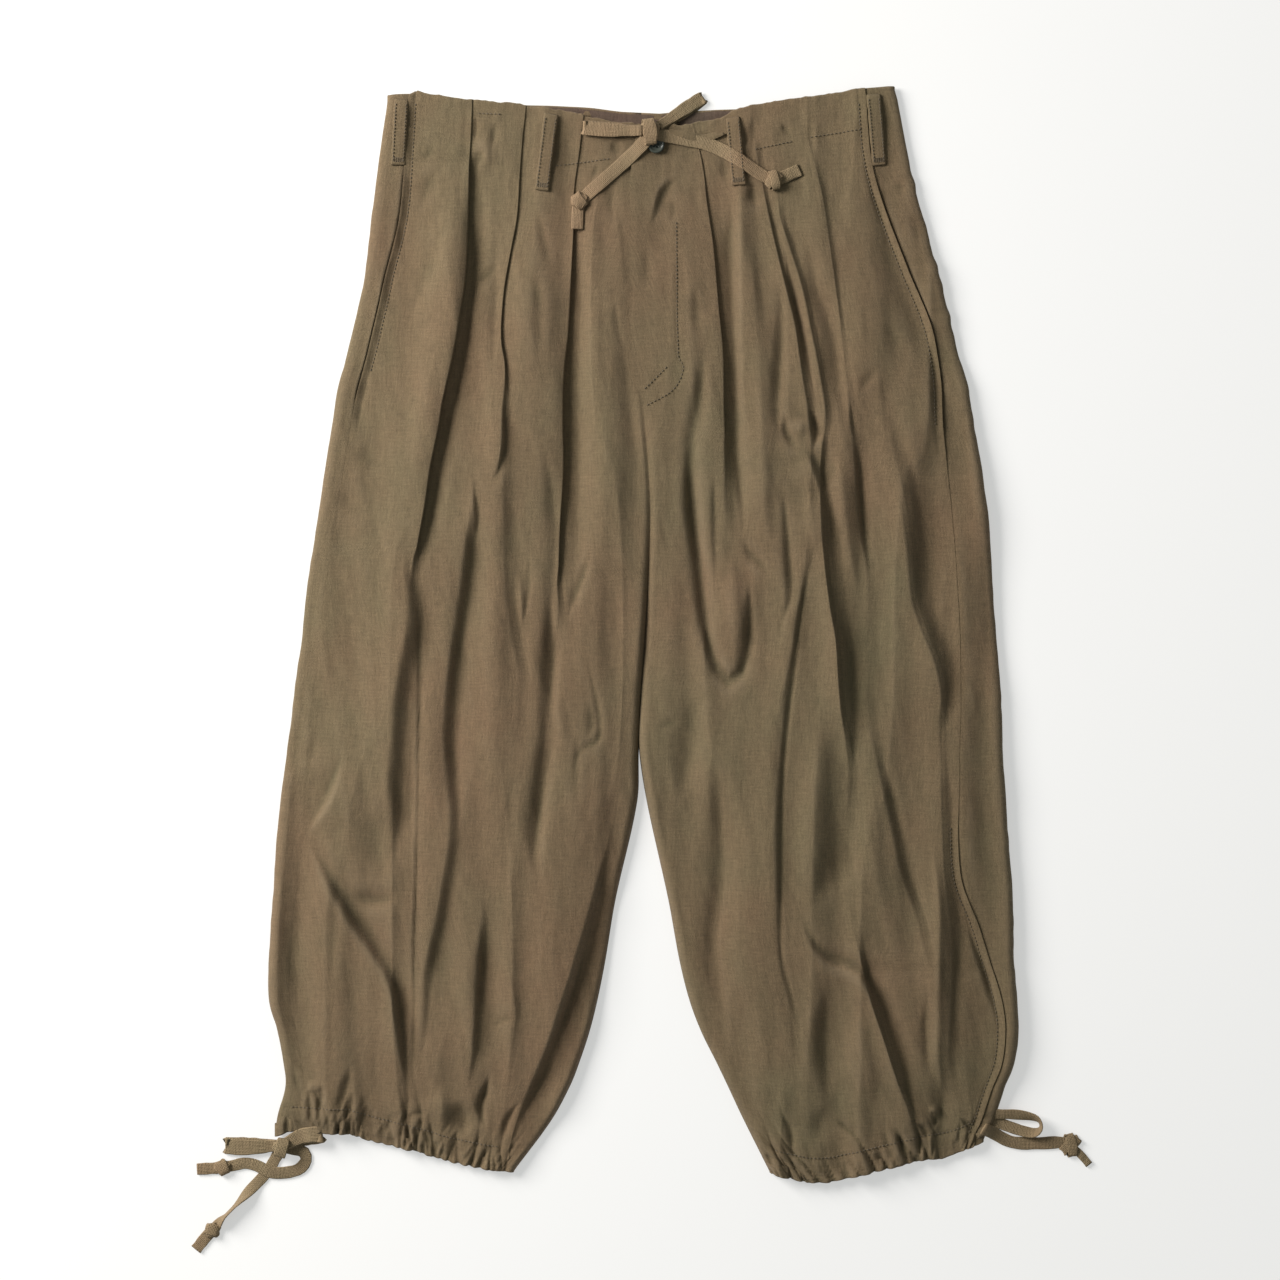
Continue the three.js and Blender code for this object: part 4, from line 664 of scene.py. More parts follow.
LEFT_FOLDS = (
    Fold("fly stitching", RIDGE, -0.6, 1.2, ((25.4, 321), (26.9, 216), (30.9, 206), (23, 190),
        (2, 177))),
    Fold("fly stitching, slant", RIDGE, -0.5, 1.2, ((18.4, 208), (0.4, 190))),
    Fold("fly crease", STEP, 2.2, 5, ((30.9, 359), (20.7, 355), (12.1, 347), (8.2, 337),
        (6.6, 327), (2, 317)), 9, 8),
    Fold("fly crease, inner", RIDGE, -1.2, 4, ((21.5, 341), (23, 330), (22.3, 319))),
    Fold("fly centre hollow", RIDGE, -1.2, 5, ((3.5, 308), (2, 284), (3.5, 261))),
    Fold("front band, upper", RIDGE, -1.5, 5, ((40.2, 273), (41.8, 241), (44.9, 226))),
    Fold("front band", RIDGE, -3.6, 7, ((46.5, 226), (44.9, 198), (41, 167), (37.9, 152),
        (39.5, 105), (42.6, 73), (46.5, 42), (49.6, 3), (56.6, -20), (65.2, -33))),
    Fold("front band, second", RIDGE, -1.8, 4, ((55.1, 128), (55.1, 105), (55.9, 70),
        (56.6, 34))),
    Fold("hanging bag", RIDGE, 3, 10, ((68.4, 62), (69.9, 27), (71.5, -5), (71.5, -22))),
    Fold("trough under the bag", RIDGE, -2.6, 11, ((61.3, -45), (44.1, -52), (37.9, -79),
        (31.6, -110), (23, -134))),
    Fold("inner band", RIDGE, -3.4, 9, ((54.3, -87), (58.2, -122), (60.5, -161), (60.5, -195),
        (55.1, -231), (55.1, -255), (62.1, -292), (65.2, -309))),
    Fold("short horizontal crease", RIDGE, -0.9, 2.2, ((9, -73), (19.1, -70), (30.1, -68))),
    Fold("leg crease, small", RIDGE, -0.9, 3, ((12.1, 95), (16, 77), (19.9, 58))),
    Fold("first pleat, trough", RIDGE, -3.6, 5.5, ((65.2, 348), (68.4, 327), (67.6, 308),
        (69.1, 261), (70.7, 214), (71.5, 169), (72.3, 139), (77, 99), (77.7, 71))),
    Fold("diagonal crease", RIDGE, -2, 4, ((76.2, 73), (83.2, 62), (89.5, 55), (98.8, 45))),
    Fold("second ridge", RIDGE, 2.6, 9, ((83.2, 308), (86.3, 261), (89.5, 214), (91, 159),
        (92.6, 105), (97.3, 58))),
    Fold("second pleat, trough", RIDGE, -3.2, 6, ((102, 280), (106.6, 261), (107.4, 230),
        (105.1, 201), (103.5, 175), (105.9, 151), (109.8, 141))),
    Fold("under the tape knot", RIDGE, -2.2, 4.5, ((84, 353), (85.5, 341), (88.7, 330))),
    Fold("second trough, lower", RIDGE, -2.6, 4.5, ((107.4, 123), (110.5, 89), (112.9, 58),
        (114.5, 28), (108.2, 12), (105.1, -9))),
    Fold("between the ridges", RIDGE, -2.2, 3, ((107.4, 312), (116.8, 262), (127, 218),
        (132.4, 187), (136.3, 171))),
    Fold("blob", RIDGE, 1.6, 6, ((121.5, 170), (121.5, 161), (123, 153))),
    Fold("blob, left side", RIDGE, -2.6, 3.5, ((109.8, 173), (110.5, 159), (116, 147),
        (123, 140))),
    Fold("blob, right side", RIDGE, -2.6, 3.5, ((127, 177), (132.4, 166), (134.8, 156),
        (130.9, 142))),
    Fold("below the blob", STEP, 3.4, 8, ((121.5, 142), (127, 134), (131.6, 122),
        (137.1, 105)), 12, 10),
    Fold("below the blob, ridge", RIDGE, 2, 7, ((124.6, 123), (128.5, 105), (131.6, 81),
        (130.9, 58))),
    Fold("third ridge, right side", RIDGE, -3.4, 8, ((122.3, 317), (128.5, 298), (134, 273),
        (142.6, 249), (148.8, 226), (152, 198), (155.1, 169), (155.9, 152))),
    Fold("main fold", STEP, 4.4, 11, ((138.7, 128), (140.2, 91), (143.4, 59), (147.3, 23),
        (152, -6), (155.1, -50), (158.2, -83), (161.3, -112)), 16, 16),
    Fold("main hollow", RIDGE, -2.4, 6, ((142.6, 120), (144.9, 91), (147.3, 59), (151.2, 23),
        (157.4, -6), (162.1, -50), (166, -83))),
    Fold("beside the main fold", RIDGE, 1.8, 7, ((150.4, 152), (153.5, 105), (161.3, 58),
        (166.8, 19))),
    Fold("streak", RIDGE, -2.4, 4, ((163.7, 159), (167.6, 133), (170.7, 91), (173.8, 66),
        (177.7, 38))),
    Fold("streak, upper", RIDGE, -1.2, 2.4, ((160.5, 183), (162.1, 167), (165.2, 148))),
    Fold("outer hollow", STEP, 4, 14, ((188.7, 175), (192.6, 143), (200.4, 107), (205.9, 71),
        (209.8, 31), (217.6, 3), (227, -20), (231.6, -44), (231.6, -75)), 18, 20),
    Fold("outer hollow, floor", RIDGE, -1, 10, ((204.3, 107), (211.3, 71), (216.8, 31), (227, 3),
        (235.5, -22), (237.9, -44))),
    Fold("arch, left side", RIDGE, -1, 4, ((166, 186), (172.3, 195), (177.7, 202), (184, 208))),
    Fold("arch, right side", RIDGE, -0.7, 3.4, ((183.2, 205), (186.3, 195), (187.9, 183),
        (188.7, 167))),
    Fold("soft arch", RIDGE, -0.8, 6, ((183.2, 245), (191, 238), (198, 225), (202.7, 212),
        (204.3, 198))),
    Fold("fall to the seam", RIDGE, -2.2, 9, ((173.8, 339), (184.8, 320), (198, 286),
        (205.9, 263), (216, 238), (224.6, 214), (228.5, 183), (230.1, 159))),
    Fold("outer small crease", RIDGE, -0.9, 3, ((191, 349), (198.8, 348), (207.4, 344))),
    Fold("outer small crease, lower", RIDGE, -1, 3, ((206.6, 333), (211.3, 319), (215.2, 302))),
    Fold("waist crease", RIDGE, -1.6, 2.8, ((106.6, 400), (110.5, 394), (116, 384))),
    Fold("waist edge crumple", RIDGE, -1.4, 2.6, ((44.1, 391), (48.8, 388), (56.6, 386))),
    Fold("waist edge crumple, second", RIDGE, -1.2, 2.2, ((37.9, 395), (44.1, 397), (52, 398))),
    Fold("beside the loop", RIDGE, -1.4, 3, ((61.3, 372), (62.9, 361), (65.2, 350))),
    Fold("right of the loop", RIDGE, -1.2, 3, ((77.7, 398), (79.3, 389), (80.1, 378))),
    Fold("right of the loop, second", RIDGE, -1, 2.6, ((84.8, 403), (85.5, 391), (84.8, 378))),
    Fold("side loop hollow", RIDGE, -1.4, 4, ((175.4, 351), (181.6, 335), (191, 314))),
    Fold("knee facet", STEP, 5, 30, ((137.9, -63), (132.4, -114), (127.7, -157),
        (120.7, -220)), 12, 16),
    Fold("shin crease", RIDGE, -1.6, 5, ((179.3, -83), (188.7, -112), (198.8, -154),
        (204.3, -182), (216.8, -215), (224.6, -248))),
    Fold("shin crest", RIDGE, 1.6, 9, ((170.7, -130), (178.5, -177), (188.7, -223),
        (200.4, -270))),
    Fold("outer calf hollow", RIDGE, -2.2, 8, ((234.8, -87), (239.5, -134), (241.8, -178),
        (245.7, -235), (243.4, -266), (241, -297), (239.5, -325))),
    Fold("outer calf ridge", RIDGE, 2.4, 5, ((223.8, -153), (228.5, -209), (228.5, -255),
        (227.7, -294), (227.7, -327), (232.4, -352), (239.5, -367))),
    Fold("left of that ridge", RIDGE, -1.8, 4, ((220.7, -274), (219.9, -302), (220.7, -327),
        (225.4, -348))),
    Fold("slot beside the seam", RIDGE, -2.6, 3, ((248.8, -212), (256.6, -239), (266, -264),
        (273.8, -292), (278.5, -314))),
    Fold("calf hollow", RIDGE, -2.4, 8, ((145.7, -274), (141, -294), (141, -321), (142.6, -348),
        (144.1, -367))),
    Fold("calf hollow, lower", RIDGE, -1.4, 9, ((144.1, -364), (137.9, -381), (130.1, -400))),
    Fold("calf ridge", RIDGE, 2, 12, ((162.9, -286), (167.6, -317), (173.8, -348),
        (178.5, -372))),
    Fold("hem crease, inner", RIDGE, -1.6, 3, ((104.3, -362), (109, -375), (114.5, -386),
        (116, -403), (118.4, -420))),
    Fold("hem crease, first", RIDGE, -1.6, 2.4, ((94.9, -400), (98, -408), (100.4, -417))),
    Fold("hem thin diagonal", RIDGE, -1.6, 2.6, ((148.8, -377), (157.4, -384), (168.4, -395))),
    Fold("hem crease, middle", RIDGE, -1.6, 2.6, ((179.3, -402), (182.4, -409), (185.5, -416))),
    Fold("hem crease, fifth", RIDGE, -2, 2.2, ((198, -383), (200.4, -395), (203.5, -411))),
    Fold("hem crease, sixth", RIDGE, -2.4, 2.6, ((211.3, -380), (217.6, -385), (222.3, -395))),
    Fold("hem crease, seventh", RIDGE, -2, 2.2, ((211.3, -389), (213.7, -398), (216, -407))),
    Fold("hem ridge, loop", RIDGE, 1.6, 3, ((221.5, -373), (225.4, -370), (231.6, -374))),
    Fold("hem loop crease", RIDGE, -1.8, 2, ((223.8, -376), (227.7, -379), (226.2, -385))),
    Fold("hem crease, eighth", RIDGE, -2, 2.2, ((245.7, -375), (253.5, -384), (260.5, -392))),
    Fold("hem crease, ninth", RIDGE, -1.8, 2, ((250.4, -377), (257.4, -385), (265.2, -391))),
    Fold("hem crease, tenth", RIDGE, -1.8, 2.4, ((230.1, -386), (234, -394), (236.3, -400))),
    Fold("bag, rim", RIDGE, -3.4, 4.6, ((34.8, 152), (36.3, 110), (43.4, 52), (49.6, -3),
        (58.2, -30), (69.9, -37), (79.3, -23), (82.4, 7), (82.4, 46))),
    Fold("long crease", RIDGE, -1.4, 2.2, ((133.2, 73), (122.3, 18), (114.5, -44), (108.2, -106),
        (106.6, -177), (107.4, -252), (119.1, -298), (123, -322))),
    Fold("strong fold", STEP, 4.4, 8, ((119.9, -217), (128.5, -242), (142.6, -259), (162.9, -266),
        (173.8, -280), (182.4, -301), (194.1, -334), (205.1, -366), (212.9, -383)), 15, 7),
)


@dataclass
class Leg:
    """One trouser leg as a surface over the table.

    A place on it is given by x across the leg and by its level, the distance along it.

    Attributes:
        side: Name of the wearer's side.
        outline: Rows of level, outer edge and inner edge.
        seam_inset: Rows of level and how far in the side seam lies.
        hem: Line of the hem.
        pleats: Pleats that the columns of the front follow, from -X to +X.
        folds: Soft folds.
        gathers: Where the drawstring draws the hem together.
        to_inner: +1 where the inner edge lies towards +X.
        pocket: Lowest and highest level of the pocket's opening.
        seed: Number that the small wrinkles follow from.
    """

    side: str
    outline: Sequence[Sequence[float]]
    seam_inset: Sequence[Point2]
    hem: Sequence[Point2]
    pleats: Sequence[Pleat]
    folds: Sequence[Fold]
    gathers: Sequence[float]
    to_inner: float
    pocket: Point2
    seed: int

    def __post_init__(self) -> None:
        """Work the tables out as curves."""
        self.outer_x = by_level(self.outline, 1)
        self.outer_y = by_level(self.outline, 2)
        self.inner_x = by_level(self.outline, 3)
        self.inner_y = by_level(self.outline, 4)
        self.seam_depth = by_level(self.seam_inset, 1)
        self.edge_loft = by_level(LOFT, 1)
        self.middle_loft = by_level(LOFT, 2)
        self.centre_height = by_level(CENTRE_SEAM, 1)
        self.hem_line = edge_line(self.hem)
        self.front_top = edge_line(FRONT_TOP)
        self.back_top = edge_line(BACK_TOP)

    def width(self, level: np.ndarray) -> np.ndarray:
        """Width of the leg at a level."""
        across = self.inner_x(level) - self.outer_x(level)
        return np.hypot(across, self.inner_y(level) - self.outer_y(level))

    def plan(self, depth: np.ndarray, level: np.ndarray,
             inside: np.ndarray | float = 0.0) -> tuple[np.ndarray, np.ndarray]:
        """Place on the table of a depth in from the outer edge.

        Args:
            depth: Distance in from the outer edge.
            level: Level on the leg.
            inside: 0 where the waist follows the front's line, 1 where it follows the back's.

        Returns:
            The x and the y of the place.
        """
        share = depth / self.width(level)
        outer, inner = self.outer_x(level), self.inner_x(level)
        x = outer + (inner - outer) * share
        outer, inner = self.outer_y(level), self.inner_y(level)
        y = outer + (inner - outer) * share
        for end, bend in ((HALF_LENGTH, WAIST_BEND_LEVEL), (-HALF_LENGTH, HEM_BEND_LEVEL)):
            ends = [float(read(end)) for read in
                    (self.outer_x, self.inner_x, self.outer_y, self.inner_y)]
            end_x = ends[0] + (ends[1] - ends[0]) * share
            straight = ends[2] + (ends[3] - ends[2]) * share
            met = self.hem_line(end_x)
            if end > 0:
                front, back = self.front_top(end_x), self.back_top(end_x)
                met = front + (back - front) * inside
            y = y + smooth_step(bend, end, level) * (met - straight)
        return x, y

    def depth_of(self, x: np.ndarray, level: np.ndarray) -> np.ndarray:
        """Depth in from the outer edge of a place across the leg."""
        outer, inner = self.outer_x(level), self.inner_x(level)
        return self.width(level) * (x - outer) / (inner - outer)

    def x_of(self, depth: np.ndarray, level: np.ndarray) -> np.ndarray:
        """Place across the leg of a depth in from the outer edge."""
        outer, inner = self.outer_x(level), self.inner_x(level)
        return outer + (inner - outer) * depth / self.width(level)

    def pleat_x(self, pleat: Pleat, level: np.ndarray) -> np.ndarray:
        """Place across the leg of a pleat's edge at each level.

        Args:
            pleat: The pleat.
            level: Levels.

        Returns:
            Where its edge lies at each level.
        """
        x = pleat.x_at(level)
        for _ in range(3):
            _, y = self.plan(self.depth_of(x, level), level)
            x = pleat.x_at(y)
        return x

    def parted(self, level: np.ndarray) -> np.ndarray:
        """0 where the inner edge is the centre seam, 1 where the leg lies by itself."""
        return smooth_step(PRESSED_LEVEL, LEG_GAP_LEVEL, level)

    def hem_place(self, depth: np.ndarray, level: np.ndarray) -> np.ndarray:
        """Place at the hem that a point of the cloth hangs over."""
        outer, inner = float(self.outer_x(-HALF_LENGTH)), float(self.inner_x(-HALF_LENGTH))
        return outer + (inner - outer) * depth / self.width(level)

    def gather_at(self, place: np.ndarray, above: np.ndarray) -> np.ndarray:
        """Height that the gathers of the hem add.

        Args:
            place: Place at the hem that each point hangs over.
            above: Distance of each point over the hem.

        Returns:
            The height.
        """
        chance = np.random.default_rng(self.seed)
        z = np.zeros(np.shape(place))
        near = above < GATHER_SPAN * GATHER_REACH[1]
        at, over = place[near], above[near]
        added = HEM_RISE * np.exp(-((over / HEM_RISE_REACH) ** 2))
        valleys = [(valley, 1.0) for valley in self.gathers]
        valleys += [(valley + chance.uniform(*GATHER_BESIDE), 0.5) for valley in self.gathers]
        for valley, share in valleys:
            depth, width, reach = (
                (low + (high - low) * chance.uniform() ** 1.3) * share ** power
                for (low, high), power in ((GATHER_DEPTH, 1.0), (GATHER_WIDTH, 0.3),
                                           (GATHER_REACH, 0.7)))
            bend = 1.3 * np.sin(over / chance.uniform(5, 12) + chance.uniform(0, 6))
            lean = GATHER_TURN[self.side] + GATHER_LEAN * chance.uniform(-1, 1)
            middle = valley + lean * over + bend
            spread = width * (1 + over / GATHER_SPREAD)
            off = np.sqrt((at - middle) ** 2 + GATHER_ROUND)
            added = added - depth * np.exp(-off / spread) * np.exp(-((over / reach) ** 2))
        pucker = soft_noise(at, over, PUCKER_SIZE, self.seed + 6)
        z[near] = added + PUCKER_HEIGHT * pucker * np.exp(-((over / PUCKER_REACH) ** 2))
        return z

    def gather_wave(self, place: np.ndarray) -> np.ndarray:
        """Wave of the gathers across the hem, high between two valleys.

        Args:
            place: Places along the hem.

        Returns:
            Heights between -1 and 1.
        """
        wave = np.full(np.shape(place), 0.4)
        for valley in self.gathers:
            wave = wave - np.exp(-np.abs(place - valley) / 2.0)
        return wave * (0.7 + soft_noise(place, place * 0, (11.0, 9.0), self.seed + 7))

    def height(self, depth: np.ndarray, level: np.ndarray, passed: np.ndarray) -> np.ndarray:
        """Height of the upper face of the front.

        Args:
            depth: Distance in from the outer edge.
            level: Level on the leg.
            passed: For each pleat, 0 to its left, 1 to its right, and between the two on it.

        Returns:
            The height at each place.
        """
        x, y = self.plan(depth, level)
        from_inner = self.width(level) - depth
        parted = self.parted(level)
        outer_side = 1 - np.exp(-((np.maximum(depth - OUTER_ROLL, 0) / SWELL_REACH) ** 2))
        inner_side = 1 - parted * np.exp(-((from_inner / SWELL_REACH) ** 2))
        edge = self.edge_loft(level)
        z = edge + (self.middle_loft(level) - edge) * outer_side * inner_side
        for fold in self.folds:
            z = z + np.interp(fold.width, FOLD_WIDTHS, FOLD_GAIN) * fold.height_at(x, y)
        for pleat, share in zip(self.pleats, passed):
            off = self.x_of(depth, level) - self.pleat_x(pleat, level[:, :1])
            reach = np.where(share < 0.5, pleat.left, pleat.right)
            drop = PLEAT_GAIN * pleat.drop_at(y)
            z = z + drop * (0.5 - share) * np.exp(-((off / reach) ** 2))
        above = np.maximum(y - self.hem_line(x), 0.0)
        z = z + self.gather_at(self.hem_place(depth, level), above) + self.wrinkles(x, y)
        sewn = (1 - parted) * np.exp(-((from_inner / CENTRE_REACH) ** 2))
        z = z + sewn * (self.centre_height(level) - z)
        soft = LOWEST_SOFTNESS
        z = LOWEST_FRONT + soft * np.log1p(np.exp(np.minimum((z - LOWEST_FRONT) / soft, 60)))
        return z + SOLID_CLOTH / 2

    def wrinkles(self, x: np.ndarray, y: np.ndarray) -> np.ndarray:
        """Soft undulations down the leg, and the small unevenness that all cloth has.

        Args:
            x: Places from side to side.
            y: Places from hem to waist.

        Returns:
            Heights to add.
        """
        def layer(name: str, across: np.ndarray) -> np.ndarray:
            """One layer of the unevenness."""
            size, number, height = WRINKLES[name]
            return soft_noise(across, y, size, self.seed + number) * height

        body = smooth_step(400, 300, y) * 0.6 + 0.4
        broad = DRAPE_HEIGHT * (DRAPE_MIDDLE - np.abs(layer("drapes", x)))
        broad = broad + layer("swells", x) + layer("soft", x)
        slanted = layer("small", x + 0.2 * y)
        pressed = layer("pressed", x) * smooth_step(300, 370, y)
        return (broad + slanted + layer("fine", x)) * body + pressed


class Surface:
    """Finds the height of the cloth under a place, and its slope."""

    def __init__(self) -> None:
        """Start with the bare table."""
        self.trees: list[BVHTree] = []

    def add(self, points: np.ndarray) -> None:
        """Add a grid of points in millimetres, rows by columns by three.

        Args:
            points: Grid of points of the cloth.
        """
        rows, columns = points.shape[:2]
        index = np.arange(rows * columns).reshape(rows, columns)
        faces = np.stack(
            [index[:-1, :-1], index[:-1, 1:], index[1:, 1:], index[1:, :-1]], axis=-1)
        self.trees.append(BVHTree.FromPolygons(
            points.reshape(-1, 3).tolist(), faces.reshape(-1, 4).tolist()))

    def add_mesh(self, mesh: bpy.types.Mesh) -> None:
        """Add a finished mesh, which is in metres.

        Args:
            mesh: Mesh of the piece.
        """
        points = np.zeros(len(mesh.vertices) * 3)
        mesh.vertices.foreach_get("co", points)
        faces = [tuple(face.vertices) for face in mesh.polygons]
        self.trees.append(BVHTree.FromPolygons(
            (points.reshape(-1, 3) / MM).tolist(), faces))

    def under(self, x: float, y: float) -> tuple[float, Vector]:
        """Height and normal of what lies under a place seen from above.

        Args:
            x: Place from side to side.
            y: Place from hem to waist.

        Returns:
            Height of the top there, and its normal.
        """
        best, normal = 0.0, Vector((0, 0, 1))
        for tree in self.trees:
            place, slope, _, _ = tree.ray_cast(Vector((x, y, 60.0)), Vector((0, 0, -1)))
            if place is not None and place.z > best:
                best, normal = place.z, slope if slope.z > 0 else -slope
        return best, normal

    def level_over(self, x: float, y: float, reach: float) -> float:
        """Height that a band of some half width rests at.

        Args:
            x: Place from side to side.
            y: Place from hem to waist.
            reach: How far round it is looked at.

        Returns:
            The greatest height there.
        """
        around = [(0, 0), (reach, 0), (-reach, 0), (0, reach), (0, -reach)]
        found = sorted(self.under(x + dx, y + dy)[0] for dx, dy in around)
        return 0.5 * (found[-1] + found[-2])


def new_object(name: str, mesh: bpy.types.Mesh, material: bpy.types.Material, slot: str,
               *nodes: str) -> bpy.types.Object:
    """Put a finished mesh into the scene as a piece of the trousers.

    Args:
        name: Name of the piece.
        mesh: Its mesh, in metres.
        material: Its finish.
        slot: Material slot of the record that the finish belongs to; not used.
        nodes: CAD nodes that it stands for.

    Returns:
        The piece.
    """
    piece = bpy.data.objects.new(f"{name}_finished" if name in nodes else name, mesh)
    bpy.context.scene.collection.objects.link(piece)
    mesh.materials.append(material)
    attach(piece, "root")
    if nodes:
        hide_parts(*nodes)
    return piece


def mesh_of(made: bmesh.types.BMesh, name: str, smooth: bool = True) -> bpy.types.Mesh:
    """Turn a bmesh into a mesh, and free it.

    Args:
        made: The bmesh.
        name: Name of the mesh.
        smooth: Whether all its faces are made smooth.

    Returns:
        The mesh.
    """
    mesh = bpy.data.meshes.new(name)
    made.to_mesh(mesh)
    made.free()
    if smooth:
        mesh.polygons.foreach_set("use_smooth", [True] * len(mesh.polygons))
    return mesh


def fresh_grid(made: bmesh.types.BMesh, rows: int, columns: int
               ) -> dict[bmesh.types.BMVert, tuple[int, int]]:
    """Add a grid to a bmesh.

    Args:
        made: The bmesh.
        rows: Number of rows of points.
        columns: Number of points in a row.

    Returns:
        The row and column of each of its vertices.
    """
    vertices = bmesh.ops.create_grid(
        made, x_segments=columns - 1, y_segments=rows - 1, size=0.5)["verts"]
    return {vertex: (round((vertex.co.y + 0.5) * (rows - 1)),
                     round((vertex.co.x + 0.5) * (columns - 1)))
            for vertex in vertices}


def grid_mesh(name: str, points: np.ndarray, across: np.ndarray, along: np.ndarray,
              wear_and_painted_light: np.ndarray | None = None) -> bpy.types.Mesh:
    """Make a cloth mesh from a grid of points.

    Args:
        name: Name of the mesh.
        points: Rows by columns by three, in millimetres, rows towards +Y.
        across: Distance across the cloth of each point, in millimetres.
        along: Distance along the cloth of each point, in millimetres.
        wear_and_painted_light: Share of wear and painted highlight at each point where above 0,
            of painted shade where below 0, or none.

    Returns:
        The mesh, smooth, with its own layer of cloth coordinates.
    """
    rows, columns = points.shape[:2]
    made = bmesh.new()
    bmesh.ops.create_grid(made, x_segments=columns - 1, y_segments=rows - 1, size=0.5)
    mesh = mesh_of(made, name)
    flat = np.zeros(len(mesh.vertices) * 3)
    mesh.vertices.foreach_get("co", flat)
    flat = flat.reshape(-1, 3) + 0.5
    column = np.rint(flat[:, 0] * (columns - 1)).astype(int)
    row = np.rint(flat[:, 1] * (rows - 1)).astype(int)
    mesh.vertices.foreach_set("co", (points[row, column] * MM).ravel())
    corners = np.zeros(len(mesh.loops), dtype=np.int32)
    mesh.loops.foreach_get("vertex_index", corners)
    cloth = mesh.uv_layers.new(name="cloth")
    place = np.stack([across[row, column], along[row, column]], axis=1)[corners] * MM
    cloth.data.foreach_set("uv", place.ravel())
    # Each point's wear and painted highlight on ridges and painted shade in hollows, which the
    # cloth's colour reads.
    if wear_and_painted_light is not None:
        layer = mesh.attributes.new("wear_and_painted_light", "FLOAT", "POINT")
        layer.data.foreach_set("value", wear_and_painted_light[row, column].astype(np.float32))
    mesh.update()
    return mesh


def thicken(piece: bpy.types.Object, thickness: float = CLOTH) -> None:
    """Give a cloth piece its thickness, under its upper face.

    Args:
        piece: The piece.
        thickness: Its thickness.
    """
    wall = piece.modifiers.new("cloth thickness", "SOLIDIFY")
    wall.thickness = thickness * MM
    wall.offset = -1.0
    wall.use_quality_normals = True


def curvature_wear_and_painted_light(points: np.ndarray) -> np.ndarray:
    """How much each point of a cloth stands over its neighbours, from -1 to 1.

    Args:
        points: Grid of points of the cloth.

    Returns:
        Share of wear and painted highlight where above 0, and of painted shade where below 0,
        between -1 and 1.
    """
    z = points[..., 2]
    mean = np.zeros_like(z)
    for step in range(1, RELIEF_STEPS + 1):
        for axis in (0, 1):
            mean += np.roll(z, step, axis) + np.roll(z, -step, axis)
    stands = z - mean / (4 * RELIEF_STEPS)
    rim = RELIEF_STEPS + 1
    stands[:rim], stands[-rim:], stands[:, :rim], stands[:, -rim:] = 0, 0, 0, 0
    return np.clip(stands / RELIEF_HEIGHT, -1.0, 1.0)


